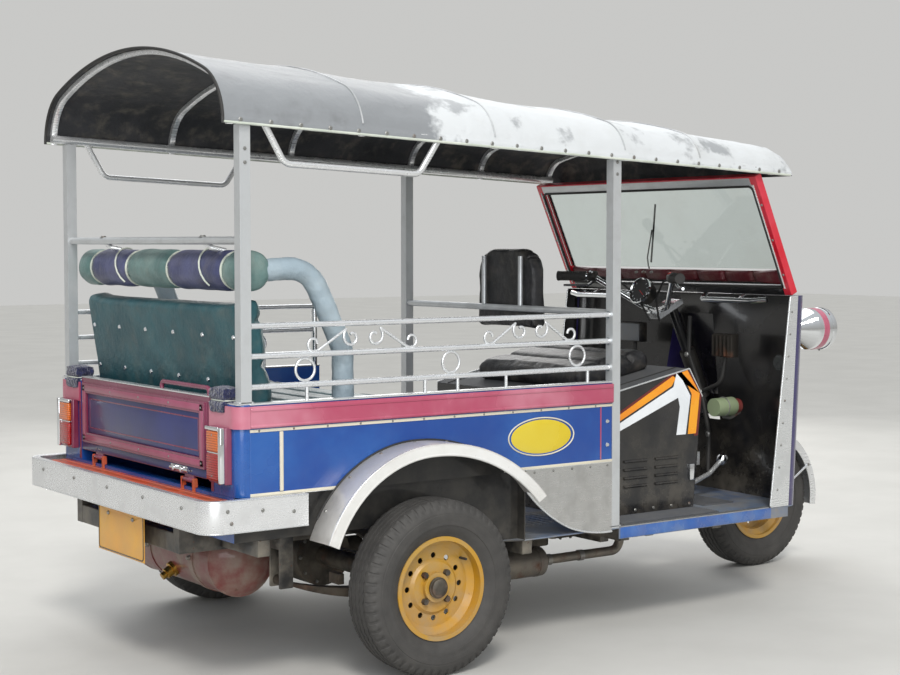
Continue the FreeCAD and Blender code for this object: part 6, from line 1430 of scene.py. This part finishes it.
# Handlebar: ribbed grips, switch pods, hand levers and cables down to the yoke
for side, word in SIDES:
    bend, end = Vector((fore(1.452), side * 0.232, 1.205)), Vector((fore(1.375), side * 0.355, 1.205))
    along, length = (end - bend).normalized(), (end - bend).length
    grip = [(0.0255, 0.0)]
    for s in evenly(0.026, length - 0.002, 15):
        grip += [(s, 0.0172), (s + 0.0028, 0.0196), (s + 0.0052, 0.0196)]
    grip += [(length - 0.001, 0.0205), (length + 0.0015, 0.019), (length + 0.0015, 0.0)]
    turned("Grip_" + word, grip, bend, along, grip_rubber, "steering", 32)
    pod = bend + along * 0.002
    turned("Switch_pod_" + word, [(-0.020, 0.0125), (-0.018, 0.021), (0.014, 0.021), (0.017, 0.0125)], pod,
           along, black_plastic, "steering", 28)
    buttons = [(pod + Vector((-0.012, 0.0, 0.018)), (-0.4, 0, 1)),
               (pod + along * -0.010 + Vector((-0.014, 0.0, 0.014)), (-1, 0, 0.6))]
    heads("Switch_buttons_" + word, buttons, 0.0055, 0.004, red_stripe if side < 0 else white_stripe, "steering",
          12, 0.8)
    # the levers lie low under the grips, clear of the windscreen at full lock
    lever = [pod + Vector((0.014, 0.0, -0.014)), pod + along * 0.030 + Vector((0.022, 0.0, -0.036)),
             pod + along * 0.135 + Vector((0.018, 0.0, -0.038))]
    rods("Hand_lever_" + word, [lever], 0.0052, mirror_chrome, "steering", 0.02, 12)
    cable = [pod + Vector((0.022, 0.0, -0.002))]
    cable += ahead([(1.500, side * 0.13, 1.190), (1.535, side * 0.05, 1.120), (1.575, side * 0.028, 1.030)])
    rods("Control_cable_" + word, [cable], 0.0042, seal_rubber, "steering", 0.06, 10)
yoke_bolts = [(1.500 + dx, y, 1.2215) for dx in (0.0, 0.036) for y in (-0.024, 0.024)]
screws("Yoke_bolts", yoke_bolts, (-0.438, 0, 0.899), 0.0075, 0.006, zinc_bolt, "steering", 6, 0.9)

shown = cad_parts["front_cowl"]
cowl_skin = BVHTree.FromPolygons([shown.matrix_world @ v.co for v in shown.data.vertices],
                                 [tuple(p.vertices) for p in shown.data.polygons])


def on_cowl(places, lift):
    """Points above the front cowl's skin and its outward directions, at places given as y and z."""
    found = []
    for y, z in places:
        hit, normal = cowl_skin.ray_cast(Vector((2.0, y, z)), Vector((-1.0, 0.0, 0.0)))[:2]
        if hit:
            out = -normal if normal.x < 0.0 else normal
            found.append((hit + out * lift, out))
    return found


def cowl_rod(name, places, radius, finish, lift=0.0008):
    """A rod laid on the front cowl's skin."""
    rods(name, [[p for p, out in on_cowl(places, lift)]], radius, finish, bend=0.001, sides=8)


# Front cowl: coach lines, beading down the nose, louvres, indicators and rivets along its edges
COWL_PANEL = [(0.235 + 0.0325 * i, 0.475) for i in range(11)]
COWL_PANEL += [(0.560, 0.475 + 0.0437 * i) for i in range(1, 9)]
COWL_PANEL += [(0.560 - 0.0325 * i, 0.8246) for i in range(1, 11)]
COWL_PANEL += [(0.235, 0.8246 - 0.0437 * i) for i in range(1, 9)]
for side, word in SIDES:
    cowl_rod("Cowl_line_" + word, [(side * y, z) for y, z in COWL_PANEL], 0.0030, pink_enamel)
    for i in range(6):
        louvre = [(side * y, 0.560 + 0.028 * i) for y in evenly(0.33, 0.47, 8)]
        cowl_rod("Cowl_louvre_%s_%d" % (word, i), louvre, 0.0042, purple_enamel, 0.0015)
    rim = on_cowl([(side * y, 0.386) for y in evenly(0.04, 0.56, 9)], 0.0006)
    heads("Cowl_rivets_" + word, rim, 0.0045, 0.0026)
    rim = on_cowl([(side * y, 1.122) for y in evenly(0.05, 0.58, 8)], 0.0006)
    heads("Cowl_top_rivets_" + word, rim, 0.0045, 0.0026)
    beading = [(side * (0.168 - 0.0625 * t), 0.650 + 0.40 * t) for t in evenly(0.0, 1.0, 24)]
    cowl_rod("Nose_beading_" + word, beading, 0.0040, bright_flange)
    spot = on_cowl([(side * 0.500, 0.885)], 0.0)[0][0]
    turned("Indicator_base_" + word, [(-0.010, 0.030), (0.008, 0.030), (0.010, 0.027), (0.010, 0.0)], spot,
           (1, 0, 0), mirror_chrome, steps=32)
    turned("Indicator_lens_" + word, [(0.009, 0.026), (0.022, 0.025), (0.032, 0.018), (0.036, 0.008),
                                      (0.037, 0.0)], spot, (1, 0, 0), amber_lens, steps=32)
nose, nose_out = on_cowl([(0.0, 0.86)], 0.0)[0]
turned("Nose_plaque", [(-0.001, 0.052), (0.003, 0.052), (0.005, 0.048), (0.006, 0.0)], nose, nose_out,
       plate_enamel)
turned("Nose_plaque_rim", [(0.000, 0.052), (0.007, 0.052), (0.008, 0.055), (0.006, 0.058), (0.000, 0.058),
                           (0.000, 0.052)], nose, nose_out, mirror_chrome)
cowl_rod("Cowl_top_bead", [(y, 1.138) for y in evenly(-0.60, 0.60, 40)], 0.0034, bright_flange, 0.001)
strips_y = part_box("cowl_edge_strips")[1].y + 0.0003
for side, word in SIDES:
    strip_screws = [(1.596 + 0.076 * t, side * strips_y, 0.390 + 0.735 * t) for t in evenly(1 / 18, 17 / 18, 9)]
    screws("Edge_strip_screws_" + word, strip_screws, (0, side, 0), 0.0048, 0.0024, sides=10)
    edge = ahead([(1.567, side * 0.6405, 0.372), (1.661, side * 0.6405, 1.140)])
    rods("Leg_shield_edge_" + word, [edge], 0.0042, bright_flange, sides=10)

# Headlamps: bezel, fluted lens, a painted band and the rim's clamp screw
HEADLAMP = Vector((1.930, 0.545, 1.012))
for side, word in SIDES:
    centre = (fore(HEADLAMP.x), side * HEADLAMP.y, HEADLAMP.z)
    for name, profile, finish in (
            ("bezel", [(-0.014, 0.0775), (-0.012, 0.0805), (0.004, 0.0805), (0.009, 0.0770), (0.010, 0.0705),
                       (0.002, 0.0690), (-0.002, 0.0690), (-0.014, 0.0775)], mirror_chrome),
            ("lens", [(-0.002, 0.0695), (0.004, 0.0695), (0.012, 0.058), (0.018, 0.040), (0.0215, 0.020),
                      (0.0225, 0.0)], fluted_glass),
            ("band", [(-0.062, 0.0782), (-0.061, 0.0792), (-0.034, 0.0792), (-0.033, 0.0782)], pink_enamel)):
        turned("Headlamp_%s_%s" % (name, word), profile, centre, (1, 0, 0), finish, steps=64)
    screws("Headlamp_screw_" + word, [(HEADLAMP.x - 0.005, side * HEADLAMP.y, HEADLAMP.z - 0.0805)], (0, 0, -1),
           0.004, 0.005, sides=6)


def about_hub(r, degrees, y):
    """A place about the front wheel's axle, at a radius and an angle up from straight ahead."""
    a = math.radians(degrees)
    return (FRONT_HUB.x + r * math.cos(a), y, FRONT_HUB.z + r * math.sin(a))


# Mudguard, fork and front wheel
for side, word in SIDES:
    edge = [about_hub(0.2690, degrees, side * 0.0895) for degrees in range(-7, 128, 3)]
    rods("Guard_edge_" + word, [edge], 0.0034, bright_flange, "steering", bend=0.001, sides=10)
    stays = [[about_hub(r, degrees, side * y) for r, y in ((0.045, 0.112), (0.200, 0.098), (0.280, 0.0925))]
             for degrees in (28.0, 96.0)]
    rods("Guard_stays_" + word, stays, 0.0050, chrome, "steering", bend=0.01, sides=12)
    bolts = [(about_hub(0.280, degrees, side * 0.0955), (0, side, 0)) for degrees in (28.0, 96.0)]
    heads("Guard_bolts_" + word, bolts, 0.0072, 0.0045, zinc_bolt, "steering", 6)
    heads("Axle_nut_" + word, [((FRONT_HUB.x, side * 0.1386, FRONT_HUB.z), (0, side, 0))], 0.0175, 0.012,
          zinc_bolt, "steering", 6, 0.92)
FORK_UP = Vector((-0.438371, 0.0, 0.898794))
FORK_ON = Vector((0.898794, 0.0, 0.438371))
FORK_FOOT = Vector((fore(2.195), 0.0, 0.0))
LEG_X, LEG_Y = 0.05314, 0.115


def on_fork(x, y, z):
    """A place on the fork, from its own upright drawing."""
    return FORK_FOOT + FORK_ON * x + Vector((0.0, y, 0.0)) + FORK_UP * z


bellows = [(0.0, 0.0245)]
for i in range(11):
    s = 0.004 + 0.0112 * i
    bellows += [(s, 0.0270), (s + 0.0040, 0.0275), (s + 0.0072, 0.0215)]
bellows.append((0.129, 0.0185))
for side, word in SIDES:
    turned("Fork_gaiter_" + word, bellows, on_fork(LEG_X, side * LEG_Y, 0.606), FORK_UP, seal_rubber, "steering",
           32)
    heads("Fork_pinch_bolt_" + word, [(on_fork(LEG_X + 0.024, side * LEG_Y, 0.272), FORK_ON)], 0.0075, 0.007,
          zinc_bolt, "steering", 6)
wheel_nuts("Front_wheel_nuts", FRONT_HUB, -1, "front_wheel")
hose = [on_fork(LEG_X - 0.030, -0.128, z) for z in (0.300, 0.40, 0.50, 0.58)]
hose += [on_fork(0.030, -0.100, 0.66), on_fork(0.018, -0.070, 0.735)]
rods("Brake_pipe_front", [hose], 0.0042, seal_rubber, "steering", bend=0.03, sides=10)

# Underneath: engine ribs and sump bolts, exhaust clamps, axle and spring fastenings, tank fittings
for side, word in SIDES:
    for i in range(7):
        x = 0.965 + 0.043 * i
        strip("Block_rib_%s_%d" % (word, i), x, x + 0.010, side * 0.1695, side * 0.1765, 0.262, 0.345, cast_iron,
              bevel=0.002)
    strip("Sump_flange_" + word, 0.940, 1.262, side * 0.120, side * 0.178, 0.250, 0.260, cast_iron, bevel=0.002)
    sump_bolts = [(x, side * 0.172, 0.2495) for x in evenly(0.955, 1.245, 7)]
    screws("Sump_bolts_" + word, sump_bolts, (0, 0, -1), 0.0065, 0.005, sides=6)
turned("Sump_plug", [(0.0, 0.016), (0.010, 0.016), (0.011, 0.0)], (fore(1.10), 0.05, 0.212), (0, 0, -1),
       zinc_bolt, steps=6)
EXHAUST_Y, EXHAUST_Z = -0.290, 0.205
for x in (0.425, 0.580, 0.735):
    turned("Silencer_band_%d" % round(x * 1000), band(0.006, 0.0518, 0.0538), (fore(x), EXHAUST_Y, EXHAUST_Z),
           (1, 0, 0), pipe_steel, steps=40)
for x in (0.365, 0.800, 0.950):
    turned("Exhaust_clamp_%d" % round(x * 1000), band(0.010, 0.0170, 0.0200), (fore(x), EXHAUST_Y, EXHAUST_Z),
           (1, 0, 0), zinc_bolt, steps=28)
for x in (0.440, 0.720):
    hanger = ahead([(x, EXHAUST_Y, EXHAUST_Z + 0.050), (x, EXHAUST_Y - 0.006, EXHAUST_Z + 0.080),
                    (x, -0.345, 0.303)])
    rods("Silencer_hanger_%d" % round(x * 1000), [hanger], 0.005, pipe_steel, bend=0.01, sides=10)
for side, word in SIDES:
    y = side * 0.470
    bolts = [ahead([(dx, y + dy, 0.222), (dx, y + dy, 0.316)]) for dx in (-0.048, 0.048) for dy in (-0.031, 0.031)]
    rods("Spring_bolts_" + word, bolts, 0.0062, zinc_bolt, sides=12)
    heads("Spring_nuts_" + word, [(path[0], (0, 0, -1)) for path in bolts], 0.0105, 0.010, sides=6)
    for x in (-0.20, 0.20):
        strip("Spring_clip_%s_%d" % (word, (x + 1.0) * 100), x - 0.011, x + 0.011, y - 0.0285, y + 0.0285,
              0.232 + 0.9 * x * x, 0.266 + 0.9 * x * x, spring_steel, bevel=0.002)
    for i in range(3):
        turned("Drum_fin_%s_%d" % (word, i), band(0.0015, 0.1045, 0.1075),
               (AXLE.x, side * (0.645 + 0.008 * i), AXLE.z), (0, 1, 0), cast_iron, steps=56)
    pipe = ahead([(0.020, side * 0.08, 0.309), (0.020, side * 0.40, 0.309), (0.030, side * 0.52, 0.312),
                  (0.060, side * 0.628, 0.318)])
    rods("Axle_brake_pipe_" + word, [pipe], 0.0034, zinc_bolt, bend=0.02, sides=8)
    screws("Axle_pipe_clips_" + word, [(0.010, side * out, 0.306) for out in (0.16, 0.30)], (0, 0, 1), 0.009,
           0.004, sides=8)
for side, word in SIDES:
    bolts = [(p, (0, side, 0)) for p in loop_of((fore(0.0), side * 0.0655, AXLE.z), 0.092, 0.0, 0.092, 10)]
    heads("Differential_bolts_" + word, bolts, 0.0072, 0.006, sides=6)
TANK_X, TANK_Z = -0.430, 0.3387
turned("Tank_valve", [(0.0, 0.026), (0.012, 0.026), (0.014, 0.018), (0.034, 0.018), (0.036, 0.012),
                      (0.050, 0.012), (0.051, 0.0)], (fore(TANK_X) - 0.100, 0.0, TANK_Z - 0.058),
       (-0.87, 0, -0.5), brass, steps=32)
for side, word in SIDES:
    turned("Tank_weld_" + word, [(-0.005, 0.1178), (-0.003, 0.1196), (0.003, 0.1196), (0.005, 0.1178)],
           (fore(TANK_X), side * 0.2685, TANK_Z), (0, 1, 0), tank_enamel, steps=64)
screws("Tank_strap_bolts", [(TANK_X - 0.1215, y, TANK_Z) for y in (-0.15, 0.15)], (-1, 0, 0), 0.009, 0.010,
       sides=6)

# Posts: foot plates with bolts, and collars where the rails' tubes meet them
for x, row, foot_z in ((-0.610, "rear_", 0.867), (0.8135, "middle_", 0.366)):
    for side, word in SIDES:
        y = side * RAIL_Y
        strip("Post_foot_" + row + word, x - 0.024, x + 0.024, y - 0.0175, y + 0.0175, foot_z + 0.0035,
              foot_z + 0.009, stainless_post, bevel=0.0015)
        screws("Post_bolts_" + row + word, [(x, side * 0.6398, z) for z in (1.57, 1.61)], (0, side, 0), 0.0065,
               0.004, sides=6)
for z in RAIL_ZS:
    for i, x in enumerate((-0.5915, 0.794)):
        turned("Rail_collar_%d_%d" % (round(z * 1000), i), band(0.004, 0.0085, 0.0125), (fore(x), -RAIL_Y, z),
               (1, 0, 0), chrome, steps=24)

# Canopy: seam welts over the hoops and eyelets along the side hems
for x in HOOPS[1:-1]:
    welt = [arch_point(x, s, 0.0032) for s in evenly(-0.95, 0.95, 80)]
    rods("Canopy_welt_%d" % round((x + 1.0) * 1000), [welt], 0.0028, welt_canvas, bend=0.001, sides=8)
for side, word in SIDES:
    eyelets = [(x, side * (ARCH_HALF_W - 0.0018), canvas_edge_z(x) + 0.014) for x in evenly(-0.63, 1.58, 23)]
    screws("Canopy_eyelets_" + word, eyelets, (0, side, 0), 0.0068, 0.0016, sides=14)

CAP_ROUND, CAP_TIE = 0.42, 0.16


def cloth_cap(side, word):
    """A plush cover tied over a rear pillar's inner top corner: a plump block, drawn in by its cord."""
    centre = Vector((fore(-0.620), side * 0.531, 0.876))
    half = Vector((0.036, 0.054, 0.040))
    work = bmesh.new()
    bmesh.ops.create_cube(work, size=2.0)
    bmesh.ops.subdivide_edges(work, edges=work.edges[:], cuts=15, use_grid_fill=True)
    for v in work.verts:
        p = v.co.lerp(v.co.normalized(), CAP_ROUND)
        lump = 1.0 + 0.06 * noise.noise(p * 2.6 + Vector((3.0 + side, 0.0, 0.0))) + 0.03 * noise.noise(p * 8.0)
        drawn = 1.0 - CAP_TIE * math.exp(-(p.z / 0.16) ** 2)
        v.co = Vector((p.x * half.x * drawn, p.y * half.y * drawn, p.z * half.z)) * lump + centre
    piece = piece_of("Pillar_cover_" + word, work, blue_plush)
    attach(tidy(piece, 80.0), "chassis")
    cord = []
    for k in range(40):
        a = math.tau * k / 40
        c, s = math.cos(a), math.sin(a)
        r = ((1.0 - CAP_ROUND) / max(abs(c), abs(s)) + CAP_ROUND) * (1.0 - CAP_TIE)
        cord.append((centre.x + half.x * r * c, centre.y + half.y * r * s, centre.z))
    rods("Pillar_cover_cord_" + word, [cord], 0.0022, piping_vinyl, bend=0.001, sides=8, closed=True)


def corner_band(side, word):
    """The rub rail's band carried round a rear pillar, from the side panel to the tailgate."""
    turn = [(math.cos(math.radians(a)), math.sin(math.radians(a))) for a in range(90, 181, 9)]
    path = [((-0.601, 0.640), (0.0, 1.0))] + [((-0.610 + 0.030 * c, 0.610 + 0.030 * s), (c, s)) for c, s in turn]
    path.append(((-0.640, 0.477), (-1.0, 0.0)))
    verts = [(fore(p[0] + out * n[0]), side * (p[1] + out * n[1]), z) for z in (RUB_LOW.z, RUB_HIGH.z)
             for out in (-0.0005, 0.0075) for p, n in path]
    count = len(path)
    faces = [(0, count, 3 * count, 2 * count), (count - 1, 3 * count - 1, 4 * count - 1, 2 * count - 1)]
    for a, b in ((0, 1), (1, 3), (3, 2), (2, 0)):
        faces += [(a * count + i, a * count + i + 1, b * count + i + 1, b * count + i) for i in range(count - 1)]
    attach(tidy(new_piece("Corner_band_" + word, verts, faces, pink_enamel), 35.0), "chassis")


for side, word in SIDES:
    cloth_cap(side, word)
for side, word in SIDES:
    corner_band(side, word)

# Bright stays from the seat-back tube down to the bolster
TUBE_X, TUBE_Z = -0.610, 1.345
STAY_YS = (0.345, -0.375)
stays = [[(fore(TUBE_X), y, TUBE_Z), (roll_x - 0.045, y - 0.020, roll_z + 0.068),
          (roll_x - 0.005, y - 0.035, roll_z + 0.058)] for y in STAY_YS]
rods("Bolster_stays", stays, 0.0085, bright_flange, bend=0.02, sides=16)
screws("Bolster_stay_collars", [(TUBE_X, y, TUBE_Z + 0.0105) for y in STAY_YS], (0, 0, 1), 0.012, 0.006)


def studio_floor(tree, place):
    grain = patches(tree, place, 500.0, 0.3, 0.7)
    return {"Base Color": add(tree, *TINT, i0=grain, i6="#c2c1bd", i7="#bcbbb7")}


# Floor, daylight and the photograph's viewpoint
floor = new_piece("Floor", [(-30.0, -30.0, 0.0), (30.0, -30.0, 0.0), (30.0, 30.0, 0.0), (-30.0, 30.0, 0.0)],
                  [(0, 1, 2, 3)], material("Pale studio floor", studio_floor, Roughness=0.85))
floor.location.z = -0.0006


def lamp(name, kind, place, aim, energy, size, tint=(1.0, 1.0, 1.0)):
    """Soft light at place, aimed at a point."""
    made = bpy.data.objects.new(name, bpy.data.lights.new(name, kind))
    made.data.energy = energy
    made.data.color = tint
    if kind == "AREA":
        made.data.size = size
    else:
        made.data.angle = size
    made.visible_transmission = False
    made.visible_camera = False
    made.location = place
    made.rotation_euler = (Vector(aim) - Vector(place)).to_track_quat("-Z", "Y").to_euler()
    bpy.context.scene.collection.objects.link(made)


lamp("Sun through haze", "SUN", (-2.0, -4.0, 6.0), (0.2, 0.0, 0.6), 1.6, math.radians(14.0), (1.0, 0.97, 0.92))
lamp("Side fill", "AREA", (-3.5, -5.0, 2.6), (0.0, 0.0, 0.8), 180.0, 4.0, (0.96, 0.98, 1.0))
lamp("Top fill", "AREA", (0.5, 1.5, 5.0), (0.0, 0.0, 0.8), 120.0, 5.0)
lamp("Far side fill", "AREA", (3.5, 5.0, 2.6), (0.0, 0.0, 0.8), 110.0, 4.0, (1.0, 0.99, 0.97))

scene = bpy.context.scene
scene.world = bpy.data.worlds.new("Pale sky")
scene.world.use_nodes = True
tree = scene.world.node_tree
tree.nodes.clear()
path = add(tree, "ShaderNodeLightPath").node.outputs
seen = add(tree, *LARGER, i0=path["Is Camera Ray"], i1=path["Is Transmission Ray"])
place = add(tree, "ShaderNodeTexCoord", out="Generated")
height = add(tree, "ShaderNodeSeparateXYZ", out="Z", Vector=place)
up = add(tree, *SPAN, Value=height, From_Min=-0.1, From_Max=0.7)
sky = add(tree, *TINT, i0=up, i6="#b9b6b0", i7="#eef2f6")
shown = add(tree, *TINT, i0=seen, i6=sky, i7="#e4e4e2")
back = add(tree, "ShaderNodeBackground", Color=shown, Strength=0.75)
add(tree, "ShaderNodeOutputWorld", Surface=back)

scene.view_settings.view_transform = "Standard"
eye = bpy.data.objects.new("Photo view", bpy.data.cameras.new("Photo view"))
scene.collection.objects.link(eye)
eye.data.lens = 67.3
eye.data.clip_end = 60.0
eye.location = (-3.7993, -4.94, 1.337)
eye.rotation_euler = (Vector((-0.177, 0.104, 0.989)) - eye.location).to_track_quat("-Z", "Y").to_euler()
scene.camera = eye
